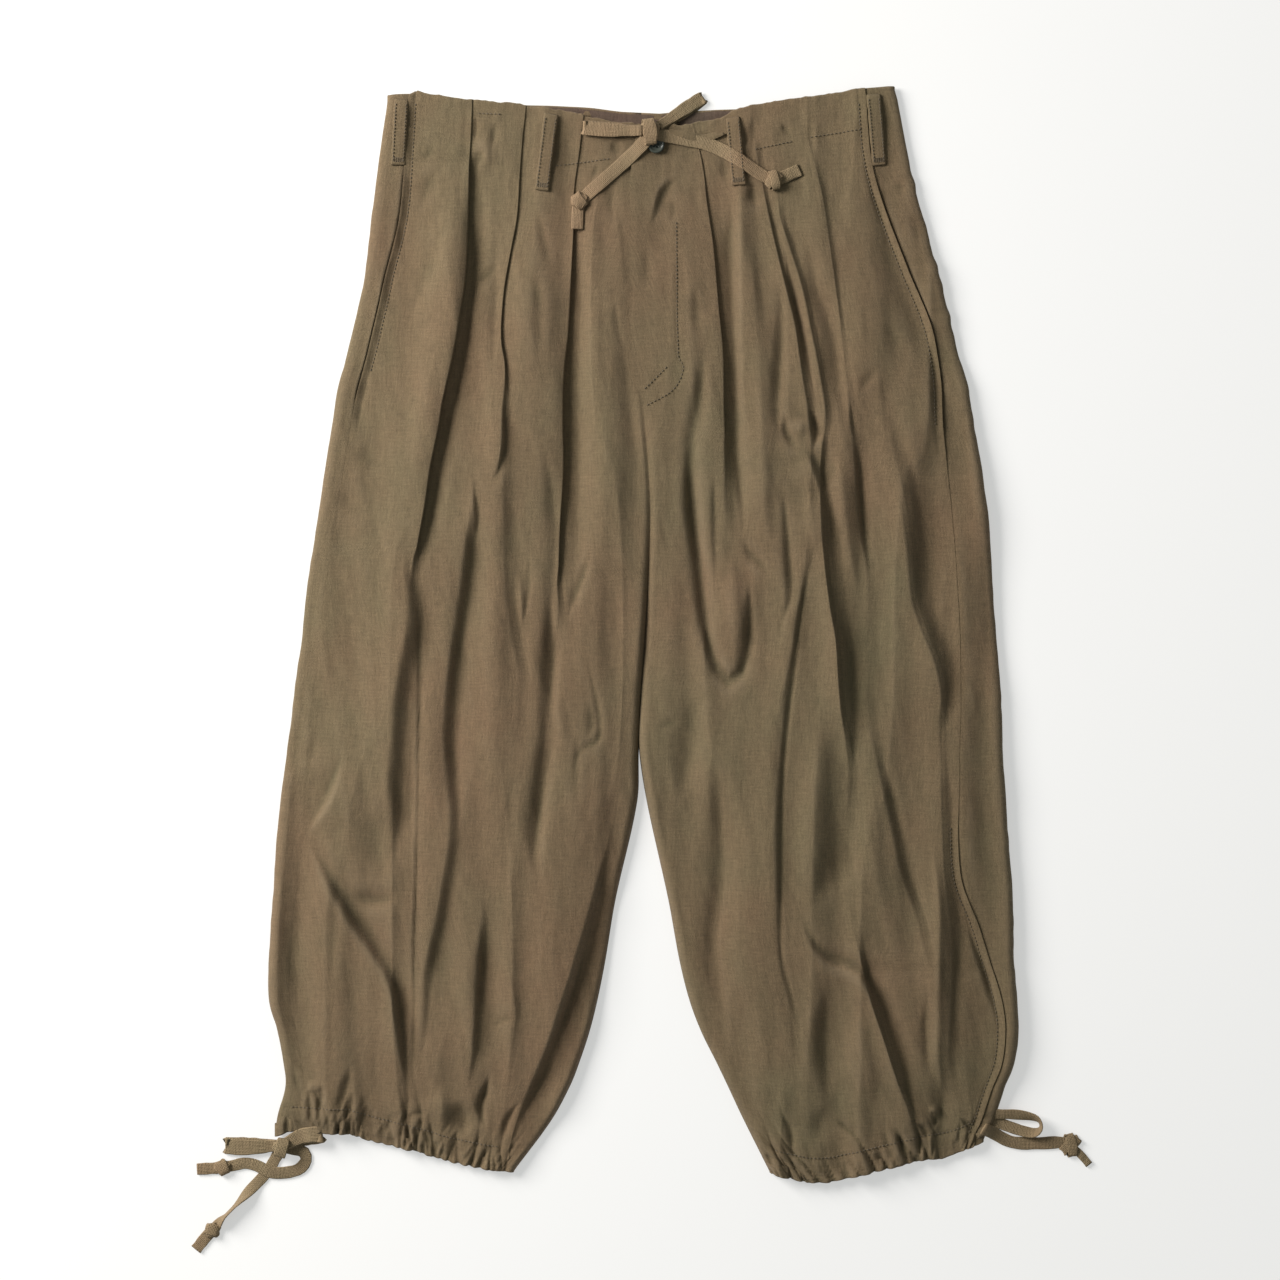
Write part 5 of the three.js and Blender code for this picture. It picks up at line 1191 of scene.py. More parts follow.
@dataclass
class TrouserLeg:
    """The front and the back of one leg, each one cloth from the waist to the hem.

    Attributes:
        leg: The leg's surface.
        columns: Number of columns of the front beside those at the pleats.
        pull: How much the columns gather towards a pleat's edge.
        curl_columns: Columns of the front's curl down to the inner edge.
        back_columns: Columns on the front side, round the outer edge and underneath.
    """

    leg: Leg
    columns: int = 236
    pull: float = 0.45
    curl_columns: int = 8
    back_columns: tuple[int, int, int] = (12, 10, 26)

    PLEAT_OUT = (-0.7, -0.5, -0.3, -0.1, 0.1, 0.3, 0.5, 0.7)
    PLEAT_FOLDED = (-0.5, -0.05, 0.12, -0.1, 0.0, 0.0, 0.0, 0.5)
    PLEAT_TUCKED = (0.0, 0.0, 0.0, 0.25, 1.0, 1.0, 0.0, 0.0)
    PLEAT_FALL = (0.0, 0.06, 0.35, 0.62, 0.72, 0.94, 1.0, 1.0)

    def levels(self, fine: float, coarse: float) -> np.ndarray:
        """Levels of the rows, from the hem up, close together near both ends.

        Args:
            fine: Distance of the rows near the waist and the hem.
            coarse: Distance of the others.

        Returns:
            The levels of the rows.
        """
        hem = np.arange(-HALF_LENGTH, -HALF_LENGTH + FINE_AT_HEM, fine)
        waist = np.arange(HALF_LENGTH - FINE_AT_WAIST, HALF_LENGTH + 0.01, fine)
        count = int((waist[0] - hem[-1]) / coarse)
        middle = np.linspace(hem[-1], waist[0], count + 1)[1:-1]
        return np.concatenate([hem, middle, waist])

    def lap(self, level: np.ndarray) -> np.ndarray:
        """1 where the left front laps over the right one at the fly."""
        return smooth_step(150, 195, level)

    def front_columns(self, level: np.ndarray) -> Grid:
        """Lay out the columns of the front.

        Args:
            level: Levels of the rows, as one column.

        Returns:
            Place across the leg of each point, share by which each pleat is passed, and
            the angle by which each column curls down to the inner edge.
        """
        leg = self.leg
        parted = leg.parted(level)
        apart = smooth_step(LEG_GAP_LEVEL + GAP_BLEND, LEG_GAP_LEVEL - GAP_BLEND, level)
        in_from_edge = -0.15 + 0.9 * apart
        lap = self.lap(level) * (LAP if leg.to_inner < 0 else UNDERLAP)
        curl = leg.width(level) - in_from_edge - INNER_ROLL
        seam = leg.x_of(leg.seam_depth(level) - SEAM_LIP, level)
        angles = np.linspace(0, math.pi / 2, self.curl_columns + 1)
        curled = np.broadcast_to(angles, (len(level), len(angles)))
        rolled = leg.x_of(curl + INNER_ROLL * np.sin(angles) + lap * np.sin(angles), level)
        inner = rolled[:, :1]
        edges = [leg.pleat_x(pleat, level) for pleat in leg.pleats]
        bounds = [seam, *edges, inner] if leg.to_inner > 0 else [inner, *edges, seam]
        for i in range(1, len(bounds) - 1):
            bounds[i] = np.maximum(bounds[i], bounds[i - 1] + PLEAT_GAP)
        for i in range(len(bounds) - 2, 0, -1):
            bounds[i] = np.minimum(bounds[i], bounds[i + 1] - PLEAT_GAP)
        edge_half = []
        for i, pleat in enumerate(leg.pleats):
            y = leg.plan(leg.depth_of(bounds[i + 1], level), level)[1]
            half = np.interp(pleat.tuck_at(y), [0.5, 1.5, 2.0], [5.0, 2.4, PLEAT_EDGE])
            room = np.minimum(bounds[i + 1] - bounds[i], bounds[i + 2] - bounds[i + 1])
            edge_half.append(np.minimum(half, 0.3 * room))
        gather = self.pull * smooth_step(-330, -250, level)
        wide = np.asarray([float((b - a).mean()) for a, b in zip(bounds, bounds[1:])])
        counts = np.rint(self.columns * wide / wide.sum()).astype(int)
        parts, passed = [], [[] for _ in leg.pleats]
        for i, count in enumerate(counts):
            start = bounds[i] + (edge_half[i - 1] if i else 0.0)
            end = bounds[i + 1] - (edge_half[i] if i < len(leg.pleats) else 0.0)
            share = np.linspace(0, 1, count + 2)[None, :]
            keep = share[:, 1:-1] if 0 < i < len(leg.pleats) else (
                share[:, :-1] if i == 0 else share[:, 1:])
            drawn = keep - gather * np.sin(2 * math.pi * keep) / (2 * math.pi)
            parts.append(start + (end - start) * drawn)
            for k, row in enumerate(passed):
                row.append(np.full(drawn.shape, 0.0 if i <= k else 1.0))
            if i == len(leg.pleats):
                continue
            pleat = leg.pleats[i]
            y = leg.plan(leg.depth_of(bounds[i + 1], level), level)[1]
            drop, tuck = pleat.drop_at(y), pleat.tuck_at(y)
            under = tuck * smooth_step(0.9, 1.6, drop)
            folded = np.asarray(self.PLEAT_FOLDED) - under * np.asarray(self.PLEAT_TUCKED)
            shut = smooth_step(1.4, 2.0, tuck)
            out = np.asarray(self.PLEAT_OUT)[None, :] * edge_half[i] / PLEAT_EDGE
            parts.append(bounds[i + 1] + out + (folded - out) * shut)
            for k, row in enumerate(passed):
                fall = np.broadcast_to(np.asarray(self.PLEAT_FALL), (len(level), 8))
                row.append(fall if i == k else np.full(fall.shape, 0.0 if i < k else 1.0))
        x = np.concatenate(parts, axis=1)
        angle = np.zeros(x.shape)
        rows = [np.concatenate(row, axis=1) for row in passed]
        if leg.to_inner > 0:
            x = np.concatenate([x, rolled[:, 1:]], axis=1)
            angle = np.concatenate([angle, curled[:, 1:]], axis=1)
            rows = [np.pad(row, ((0, 0), (0, self.curl_columns)), constant_values=1.0)
                    for row in rows]
        else:
            x = np.concatenate([rolled[:, :0:-1], x], axis=1)
            angle = np.concatenate([curled[:, :0:-1], angle], axis=1)
            rows = [np.pad(row, ((0, 0), (self.curl_columns, 0))) for row in rows]
        return x, np.asarray(rows), angle

    def front_points(self) -> Grid:
        """Work out the front's upper face.

        Returns:
            The points, and the distance across and along the cloth of each.
        """
        leg = self.leg
        level = self.levels(*ROW_STEPS)[:, None]
        x, passed, angle = self.front_columns(level)
        levels = np.broadcast_to(level, x.shape)
        depth = leg.depth_of(x, levels)
        full = leg.height(depth, levels, passed)
        parted, lap = leg.parted(levels), self.lap(levels)
        from_inner = leg.width(levels) - depth
        lip = FLY_LIPS[0] if leg.to_inner < 0 else FLY_LIPS[1]
        full = full + lap * lip * np.exp(-((np.maximum(from_inner, 0) / FLY_REACH) ** 2))
        ditch = (1 - lap) * (1 - parted) * np.exp(-((from_inner / DITCH_REACH) ** 2))
        full = full - DITCH_DEPTH * ditch
        curled = INSEAM_HEIGHT + (full - INSEAM_HEIGHT) * np.cos(angle)
        z = full + (curled - full) * parted
        z = z + self.seam_lip(depth, levels)
        px, py = leg.plan(depth, levels)
        py = py + self.waist_ruffle(px, py)
        points = np.stack([px, py, z], axis=-1)
        points = self.finish_hem(points, depth, levels)
        return self.with_turned_edges(points, levels, np.full(points.shape[1], -1.0))

    def seam_lip(self, depth: np.ndarray, level: np.ndarray) -> np.ndarray:
        """Height by which the front's sewn edge stands over the back's cloth.

        Args:
            depth: Distances from the outer edge.
            level: Levels.

        Returns:
            Heights to add.
        """
        leg = self.leg
        off = depth - leg.seam_depth(level) + SEAM_LIP
        pocket = self.pocket_opening(level)
        stands = self.seam_shown(level)
        ridge = stands * (0.9 + 0.9 * pocket) * np.exp(-((off / 3.0) ** 2))
        stitched = -0.4 * np.exp(-(((off - 5.6) / 1.4) ** 2)) * stands
        return ridge + stitched

    def seam_shown(self, level: np.ndarray) -> np.ndarray:
        """How clearly the side seam shows, least between the pocket and the hem.

        Args:
            level: Levels.

        Returns:
            Shares between 0 and 1.
        """
        low = self.leg.pocket[0]
        shown = 0.12 + 0.88 * smooth_step(low - 30, low, level)
        if self.leg.to_inner < 0:
            shown = np.maximum(shown, smooth_step(-120, -180, level))
        return shown

    def pocket_opening(self, level: np.ndarray) -> np.ndarray:
        """1 where the pocket is open."""
        low, high = self.leg.pocket
        return smooth_step(low, low + 14, level) * smooth_step(high, high - 14, level)

    def waist_ruffle(self, x: np.ndarray, y: np.ndarray) -> np.ndarray:
        """How far the front's upper edge waves up and down, most beside the fly.

        Args:
            x: Places from side to side.
            y: Places from hem to waist.

        Returns:
            Distances to move the cloth by, towards the waist.
        """
        near = smooth_step(370, 395, y) * (0.6 + 0.9 * np.exp(-((x / 62.0) ** 2)))
        return near * (0.8 * soft_noise(x, y * 0, (7.0, 9.0), 61)
                       + 0.5 * soft_noise(x, y * 0, (3.0, 9.0), 62))

    def outer_pucker(self, level: np.ndarray) -> np.ndarray:
        """How far the outer edge waves in and out.

        Args:
            level: Levels.

        Returns:
            Distances to move the edge by.
        """
        small = 0.2 if self.leg.to_inner > 0 else 0.25 + 0.5 * smooth_step(100, 250, level)
        return (small * soft_noise(level, level * 0, (8.0, 9.0), self.leg.seed + 8)
                + 1.0 * soft_noise(level, level * 0, (40.0, 9.0), self.leg.seed + 9))

    def finish_hem(self, points: np.ndarray, depth: np.ndarray,
                   level: np.ndarray) -> np.ndarray:
        """Let the hem's edge bulge between its gathers, and press in its stitching.

        Args:
            points: Grid of points of the cloth.
            depth: Distances from the outer edge.
            level: Levels.

        Returns:
            The moved points.
        """
        x, y = points[..., 0], points[..., 1]
        above = np.maximum(y - self.leg.hem_line(x), 0.0)
        wave = self.leg.gather_wave(self.leg.hem_place(depth, level))
        points[..., 1] = y - wave * SCALLOP * np.exp(-((above / SCALLOP_REACH) ** 2))
        sewn = np.exp(-(((above - HEM_DEPTH) / SEWN_REACH) ** 2))
        points[..., 2] -= SEWN_DEPTH * sewn * (0.6 + soft_noise(x, y, (9.0, 30.0), 5))
        return points

    def with_turned_edges(self, points: np.ndarray, levels: np.ndarray,
                          inwards: np.ndarray) -> Grid:
        """Turn the cloth in at the hem and at the waist.

        Args:
            points: The panel, rows towards the waist.
            levels: Level of each point.
            inwards: For each column, -1 where the inside lies below it and 1 where above.

        Returns:
            The longer panel, and the distance across and along the cloth of each point.
        """
        hem, waist, turned_levels = [], [], []
        for out, fall in EDGE_STEPS:
            low, high = points[0].copy(), points[-1].copy()
            low[:, 1] -= out
            high[:, 1] += out
            low[:, 2] += inwards * EDGE_DEPTH * fall
            high[:, 2] += inwards * EDGE_DEPTH * fall
            hem.append(low)
            waist.append(high)
            turned_levels.append(max(-out, 0) + fall * 2)
        grown = np.concatenate([np.stack(hem[::-1]), points, np.stack(waist)])
        turned = np.asarray(turned_levels)[:, None] * np.ones(points.shape[1])
        along = np.concatenate(
            [levels[:1] - turned[::-1], levels, levels[-1:] + turned])
        run = np.linalg.norm(np.diff(grown, axis=1), axis=2)
        walked = np.concatenate(
            [np.zeros((len(grown), 1)), np.cumsum(run, axis=1)], axis=1)
        middle = walked[:, walked.shape[1] // 2][:, None]
        return grown, walked - middle, along

    def back_points(self) -> Grid:
        """Work out the back: on the front side, round the outer edge and underneath.

        Returns:
            Points, and the measures across and along the cloth.
        """
        leg = self.leg
        level = self.levels(*ROW_STEPS)[:, None]
        on_front, round_edge, beneath = self.back_columns
        roll = OUTER_ROLL + SOLID_CLOTH / 2
        reach = leg.seam_depth(level) + 4.2
        depths = reach + (roll - reach) * np.linspace(0, 1, on_front)[None, :]
        levels = np.broadcast_to(level, depths.shape)
        off = depths - leg.seam_depth(levels)
        sides = self.pleats_passed(depths, levels)
        tucked = smooth_step(-2.2, 0.4, off)
        dip = 0.25 + 0.65 * self.seam_shown(levels) + 2.6 * self.pocket_opening(levels)
        z = np.maximum(leg.height(depths, levels, sides) - tucked * dip, 0.8)
        angle = np.linspace(0, math.pi, round_edge + 2)[None, 1:]
        curl_depth = roll - roll * np.sin(angle) * np.ones_like(level)
        edge = z[:, -1:]
        curl_z = UNDERSIDE + (edge - UNDERSIDE) * (1 + np.cos(angle)) / 2
        share = np.linspace(0, 1, beneath + 1)[None, 1:]
        apart = smooth_step(LEG_GAP_LEVEL + 20, LEG_GAP_LEVEL - 20, level)
        under_depth = roll + (leg.width(level) + 0.2 - 0.6 * apart - roll) * share
        under_z = np.full(under_depth.shape, UNDERSIDE)
        depth = np.concatenate([depths, curl_depth, under_depth], axis=1)
        z = np.concatenate([z, curl_z, under_z], axis=1)
        inside = np.concatenate(
            [np.zeros(depths.shape), np.broadcast_to(angle / math.pi, curl_depth.shape),
             np.ones(under_depth.shape)], axis=1)
        levels = np.broadcast_to(level, depth.shape)
        px, py = leg.plan(depth, levels, inside)
        px = px + self.outer_pucker(levels) * np.exp(-((depth / 6.0) ** 2))
        points = np.stack([px, py, z], axis=-1)
        shaped = self.finish_hem(points.copy(), depth, levels)
        points = np.where(inside[..., None] < 0.5, shaped, points)
        inwards = -np.cos(math.pi * inside[0])
        if leg.to_inner > 0:
            points, levels, inwards = points[:, ::-1], levels[:, ::-1], inwards[::-1]
        return self.with_turned_edges(points, levels, inwards)

    def pleats_passed(self, depth: np.ndarray, level: np.ndarray) -> np.ndarray:
        """For each pleat, 0 to its left and 1 to its right.

        Args:
            depth: Distances from the outer edge.
            level: Levels.

        Returns:
            Numbers of pleats.
        """
        x = self.leg.x_of(depth, level)
        return np.asarray(
            [(x > self.leg.pleat_x(pleat, level[:, :1])).astype(float)
             for pleat in self.leg.pleats])

    def build(self, finish: bpy.types.Material, surface: Surface) -> list[bpy.types.Object]:
        """Make both cloths of the leg.

        Args:
            finish: Material of the trouser cloth.
            surface: Gets the cloth, for what lies on it.

        Returns:
            The front and the back.
        """
        side = self.leg.side
        pieces = []
        for name, made in (("front", self.front_points()), ("back", self.back_points())):
            points, across, along = made
            # The relief goes into the cloth's colour as wear and painted highlight on ridges and
            # as painted shade in hollows.
            mesh = grid_mesh(f"{name}_cloth_{side}", points, across, along,
                             curvature_wear_and_painted_light(points))
            surface.add(points)
            piece = new_object(f"{name}_cloth_{side}", mesh, finish, "trouser_cloth",
                               f"{name}_{side}", f"hem_casing_{name}_{side}")
            if name == "back":
                thicken(piece)
            pieces.append(piece)
        return pieces


SECTION = (
    (-1.0, 0.0), (-0.95, 0.75), (-0.8, 0.95), (-0.4, 1.0), (0.0, 1.0), (0.4, 1.0),
    (0.8, 0.95), (0.95, 0.75), (1.0, 0.0), (0.95, -0.75), (0.8, -0.95), (0.0, -1.0),
    (-0.8, -0.95), (-0.95, -0.75), (-1.0, 0.0),
)


@dataclass
class Band:
    """A flat tape along a line in space.

    Attributes:
        centre: Points of its middle line, in millimetres.
        side: Direction across it at each point.
        width: Its width, one value or one for each point.
        thickness: Its thickness.
        closed: Whether it runs back into its own start.
        seed: Number that its unevenness follows from.
    """

    centre: np.ndarray
    side: np.ndarray
    width: float | np.ndarray
    thickness: float = 1.3
    closed: bool = False
    seed: int = 1

    def grid(self) -> Grid:
        """Points round the tape, and its distance along and across at each.

        Returns:
            Points, and the measures across and along the tape.
        """
        centre = np.asarray(self.centre, float)
        if self.closed:
            centre = np.concatenate([centre, centre[:1]])
            side = np.concatenate([self.side, self.side[:1]])
        else:
            side = np.asarray(self.side, float)
        width = np.broadcast_to(self.width, (len(centre),)) * 1.0
        run = np.gradient(centre, axis=0)
        if self.closed:
            run[0] = run[-1] = centre[1] - centre[-2]
        run /= np.linalg.norm(run, axis=1)[:, None]
        side = side - run * np.sum(side * run, axis=1)[:, None]
        side /= np.linalg.norm(side, axis=1)[:, None]
        up = np.cross(side, run)
        along = np.concatenate(
            [[0], np.cumsum(np.linalg.norm(np.diff(centre, axis=0), axis=1))])
        section = np.asarray(SECTION)
        wobble = soft_noise(along, along * 0 + self.seed * 7.3, (4.5, 5.0), self.seed)
        if self.closed:
            wobble = wobble * 0
        across = section[None, :, 0] * (width / 2 * (1 + 0.055 * wobble))[:, None]
        lift = section[None, :, 1] * self.thickness / 2
        hollow = 1.0 - np.abs(section[None, :, 0]) ** 3
        ripple = soft_noise(across, along[:, None] + across * 0, (7.0, 2.8), self.seed + 3)
        lift = lift + (0.34 * ripple - 0.10) * hollow
        points = (centre[:, None, :] + side[:, None, :] * across[..., None]
                  + up[:, None, :] * lift[..., None])
        points[..., 2] = np.maximum(points[..., 2], 0.1)
        return points, along[:, None] + across * 0, across

    def add_to(self, made: bmesh.types.BMesh) -> None:
        """Add the tape to a mesh, with its cloth coordinates.

        Args:
            made: The bmesh.
        """
        points, along, across = self.grid()
        rows, columns = points.shape[:2]
        cloth = made.loops.layers.uv.get("cloth") or made.loops.layers.uv.new("cloth")
        place = fresh_grid(made, rows, columns)
        fresh = list(place)
        faces = {face for vertex in fresh for face in vertex.link_faces}
        for face in faces:
            face.smooth = True
            for loop in face.loops:
                row, column = place[loop.vert]
                loop[cloth].uv = (across[row, column] * MM, along[row, column] * MM)
        for vertex in fresh:
            row, column = place[vertex]
            vertex.co = Vector(points[row, column] * MM)
        bmesh.ops.remove_doubles(made, verts=fresh, dist=2e-6)
        kept = [vertex for vertex in fresh if vertex.is_valid]
        edges = {edge for vertex in kept for edge in vertex.link_edges if edge.is_boundary}
        if edges:
            bmesh.ops.holes_fill(made, edges=list(edges), sides=0)


def band_mesh(name: str, *bands: Band) -> bpy.types.Mesh:
    """Make one mesh of some tapes.

    Args:
        name: Name of the mesh.
        bands: The tapes.

    Returns:
        The mesh.
    """
    made = bmesh.new()
    for band in bands:
        band.add_to(made)
    bmesh.ops.recalc_face_normals(made, faces=made.faces)
    return mesh_of(made, name, smooth=False)


def tape_piece(name: str, finish: bpy.types.Material, *bands: Band) -> bpy.types.Object:
    """Make a piece of a drawstring from some tapes."""
    return new_object(name, band_mesh(name, *bands), finish, "drawstring_tape", name)


def crosswise(line: np.ndarray) -> np.ndarray:
    """Level directions across a line, to its left seen from above.

    Args:
        line: Points of the line.

    Returns:
        A direction for each point.
    """
    run = np.gradient(line, axis=0)
    side = np.stack([-run[:, 1], run[:, 0], np.zeros(len(line))], axis=1)
    return side / np.linalg.norm(side, axis=1)[:, None]


def smoothed(values: np.ndarray, times: int = 3) -> np.ndarray:
    """Even out values along a line.

    Args:
        values: The values, in order.
        times: How many times.

    Returns:
        The smoothed values.
    """
    values = np.asarray(values, float).copy()
    for _ in range(times):
        values[1:-1] = 0.25 * values[:-2] + 0.5 * values[1:-1] + 0.25 * values[2:]
    return values


def lay_band(route: Sequence[Point2], width: float | np.ndarray, surface: Surface,
             lift: float | np.ndarray = 0.0, thickness: float = 1.3, steps: int = 28,
             seed: int = 1) -> Band:
    """Lay a flat tape on what lies under its route.

    Args:
        route: Points of the middle of the tape.
        width: Its width.
        surface: What it lies on.
        lift: How far it is held up.
        thickness: Its thickness.
        steps: Number of pieces along it.
        seed: Number that its unevenness follows from.

    Returns:
        The tape.
    """
    line = rounded_route(route, steps)
    widths = np.broadcast_to(width, (len(line),))
    flat = np.concatenate([line, np.zeros((len(line), 1))], axis=1)
    side = crosswise(flat)
    left, right, middle = [], [], []
    for place, across, wide in zip(flat, side, widths):
        half = 0.42 * wide
        left.append(surface.under(*(place + across * half)[:2])[0])
        right.append(surface.under(*(place - across * half)[:2])[0])
        middle.append(surface.under(*place[:2])[0])
    left, right = smoothed(left), smoothed(right)
    rest = np.maximum(0.5 * (left + right), smoothed(middle) - 0.1)
    flat[:, 2] = smoothed(rest, 4) + thickness / 2 + 0.12 + lift
    tilt = smoothed((left - right) / (0.84 * widths), 4)
    side[:, 2] = np.clip(tilt, -0.6, 0.6)
    return Band(flat, side, width, thickness, seed=seed)


def ring_band(centre: Sequence[float], angle: float, length: float, height: float,
              width: float, lean: float = 0.0, seed: int = 1, thickness: float = 1.2) -> Band:
    """A turn of tape round a knot.

    Args:
        centre: Middle of the knot.
        angle: Direction of the turn's own axis, seen from above.
        length: Size of the turn across its axis.
        height: Size of the turn upwards.
        width: Width of the tape.
        lean: How far the top of the turn lies forward along its axis.
        seed: Number that its unevenness follows from.
        thickness: Its thickness.

    Returns:
        The tape, closed in itself.
    """
    turn = np.linspace(0, 2 * math.pi, 33)[:-1]
    axis = np.array([math.cos(angle), math.sin(angle), 0.0])
    out = np.array([-math.sin(angle), math.cos(angle), 0.0])
    square = np.sign(np.cos(turn)) * np.abs(np.cos(turn)) ** 0.75
    points = (np.asarray(centre, float)[None]
              + out * (square * (length - thickness) / 2)[:, None]
              + UP * (np.sin(turn) * (height - thickness) / 2)[:, None]
              + axis * (lean * np.sin(turn))[:, None])
    narrow = width * (1 - 0.16 * np.abs(np.cos(turn)) ** 2)
    narrow = narrow * (1 + 0.06 * np.sin(3 * turn + seed))
    closed = Band(points, np.broadcast_to(axis, points.shape), 1.0, thickness, True, seed)
    closed.width = np.concatenate([narrow, narrow[:1]])
    return closed


@dataclass
class TapeKnot:
    """A knot in a flat tape.

    Attributes:
        name: Name of the piece and of its CAD node.
        place: Middle of the knot.
        angle: Direction of the tape through it.
        size: Its length along the tape, its width and its height.
        seed: Number that its unevenness follows from.
    """

    name: str
    place: Point2
    angle: float
    size: tuple[float, float, float]
    seed: int = 5

    def build(self, finish: bpy.types.Material, surface: Surface) -> bpy.types.Object:
        """Make the knot on what it lies on.

        Args:
            finish: What it is made of.
            surface: What it lies on.

        Returns:
            The new piece.
        """
        length, width, height = self.size
        rest = surface.level_over(*self.place, 0.25 * width)
        centre = (*self.place, rest + height / 2 + 0.1)
        x, y, z = centre
        return tape_piece(
            self.name, finish,
            ring_band(centre, self.angle + 0.42, width, height, length * 0.6, 0.8, self.seed),
            ring_band((x, y, z - 0.3), self.angle - 0.62, width * 0.96, height * 0.84,
                      length * 0.62, -0.6, self.seed + 1),
            ring_band((x, y, z - 0.5), self.angle + 1.4, length * 0.9, height * 0.62,
                      width * 0.62, 0.0, self.seed + 2))


@dataclass
class FreeEnd:
    """A free end of a drawstring: the tape, its knot and the tail beyond it.

    Attributes:
        name: Name of the piece and of its CAD node.
        route: Route of the tape, into the knot.
        width: Width of the tape.
        knot: The knot.
        tail: Route of the tail out of the knot.
        tail_width: Its width.
        tail_name: Its name.
        lift: How far the tape is held up along it.
        twist: Angle that it is turned on edge towards its knot.
        seed: Number that its unevenness follows from.
    """

    name: str
    route: Sequence[Point2]
    width: float
    knot: TapeKnot
    tail: Sequence[Point2]
    tail_width: float
    tail_name: str
    lift: Sequence[float] = (0.6, 0.2, 0.4)
    twist: float = 0.0
    seed: int = 11

    def build(self, finish: bpy.types.Material, surface: Surface) -> bpy.types.Object:
        """Args:
            finish: Material of the tape.
            surface: What it lies on.

        Returns:
            The tape.
        """
        steps = 28
        share = np.linspace(0, 1, steps + 1)
        lift = np.interp(share, np.linspace(0, 1, len(self.lift)), self.lift)
        width = self.width * (1 - 0.10 * smooth_step(0.72, 1.0, share))
        band = lay_band(self.route, width, surface, lift, steps=steps, seed=self.seed)
        if self.twist:
            turn = self.twist * smooth_step(0.35, 0.72, share) * (
                1 - smooth_step(0.8, 1.0, share))
            band.side = band.side * np.cos(turn)[:, None] + UP * np.sin(turn)[:, None]
            band.centre[:, 2] += np.sin(turn) * self.width * 0.36
        piece = tape_piece(self.name, finish, band)
        knot = self.knot.build(finish, surface)
        tail_band = lay_band(self.tail, self.tail_width, surface, 0.5, thickness=1.2,
                             steps=14, seed=self.seed + 1)
        tail = tape_piece(self.tail_name, finish, tail_band)
        surface.add_mesh(piece.data)
        return piece


@dataclass
class BowLoop:
    """A loop of a bow, a flat tape doubled back on itself.

    Attributes:
        name: Name of the piece and of its CAD node.
        start: Where it leaves the knot.
        angle: Its direction.
        length: Its length.
        width: Width of the tape.
        height: Height of the loop over what it lies on.
        droop: How far it bends on its way, as an angle.
        shift: How far the upper layer lies beside the lower one.
        rise: How far it is held up at its knot.
    """

    name: str
    start: Point2
    angle: float
    length: float
    width: float
    height: float
    droop: float = 0.0
    shift: float = 1.2
    rise: float = 0.0

    def build(self, finish: bpy.types.Material, surface: Surface) -> bpy.types.Object:
        """Make the loop on what it lies on.

        Args:
            finish: What it is made of.
            surface: What it lies on.

        Returns:
            The new piece.
        """
        steps = 18
        walked = np.linspace(0, self.length, steps + 1)
        bend = self.angle + self.droop * (walked / self.length) ** 1.5
        line = np.stack([
            self.start[0] + np.concatenate([[0], np.cumsum(np.cos(bend[1:]) * np.diff(walked))]),
            self.start[1] + np.concatenate([[0], np.cumsum(np.sin(bend[1:]) * np.diff(walked))]),
        ], axis=1)
        rest = smoothed([surface.level_over(x, y, 0.35 * self.width) for x, y in line], 4)
        share = walked / self.length
        open_height = self.height * (0.62 + 0.38 * np.sin(math.pi * share * 0.93) ** 0.8)
        low = rest + 0.75 + self.rise * (1 - share)
        side = crosswise(np.concatenate([line, np.zeros((len(line), 1))], axis=1))
        lower = np.concatenate([line, low[:, None]], axis=1)
        upper = np.concatenate([line, (low + open_height - 1.3)[:, None]], axis=1)
        upper += side * (self.shift * np.sin(math.pi * share * 0.8))[:, None]
        far = 0.5 * (lower[-1] + upper[-1])
        out = np.array([math.cos(bend[-1]), math.sin(bend[-1]), 0.0])
        half = 0.5 * (upper[-1, 2] - lower[-1, 2])
        turn = np.linspace(-math.pi / 2, math.pi / 2, 13)[1:-1]
        round_end = (far[None] + out * (np.cos(turn) * half * 1.3)[:, None]
                     + UP * (np.sin(turn) * half)[:, None])
        centre = np.concatenate([lower, round_end, upper[::-1]])
        sides = np.concatenate([side, np.repeat(side[-1:], len(turn), 0), side[::-1]])
        count = len(centre)
        near = np.minimum(np.arange(count), np.arange(count)[::-1]) / (count / 2)
        width = self.width * (0.74 + 0.26 * smooth_step(0.0, 0.55, near))
        band = Band(centre, sides, width, 1.25, seed=len(self.name))
        piece = tape_piece(self.name, finish, band)
        surface.add_mesh(piece.data)
        return piece


@dataclass
class OpenLoop:
    """A loop of tape that stands open, seen through from above.

    Attributes:
        name: Name of the piece and of its CAD node.
        route: Middle line of the tape, out and back.
        leans: How far each point of the route is turned on edge, as an angle.
        heights: Height of the tape's middle at each point.
        width: Width of the tape.
    """

    name: str
    route: Sequence[Point2]
    leans: Sequence[float]
    heights: Sequence[float]
    width: float

    def build(self, finish: bpy.types.Material, surface: Surface) -> bpy.types.Object:
        """Make the loop.

        Args:
            finish: What it is made of.
            surface: What it lies on.

        Returns:
            The new piece.
        """
        rows = [(x, y, lean, z) for (x, y), lean, z in
                zip(self.route, self.leans, self.heights)]
        line = rounded_route(rows, 40)
        flat = np.stack([line[:, 0], line[:, 1], line[:, 3]], axis=1)
        side = crosswise(np.stack([line[:, 0], line[:, 1], line[:, 3] * 0], axis=1))
        lean = line[:, 2][:, None]
        side = side * np.cos(lean) + UP * np.sin(lean)
        band = Band(flat, side, self.width, 1.2, seed=9)
        piece = tape_piece(self.name, finish, band)
        surface.add_mesh(piece.data)
        return piece


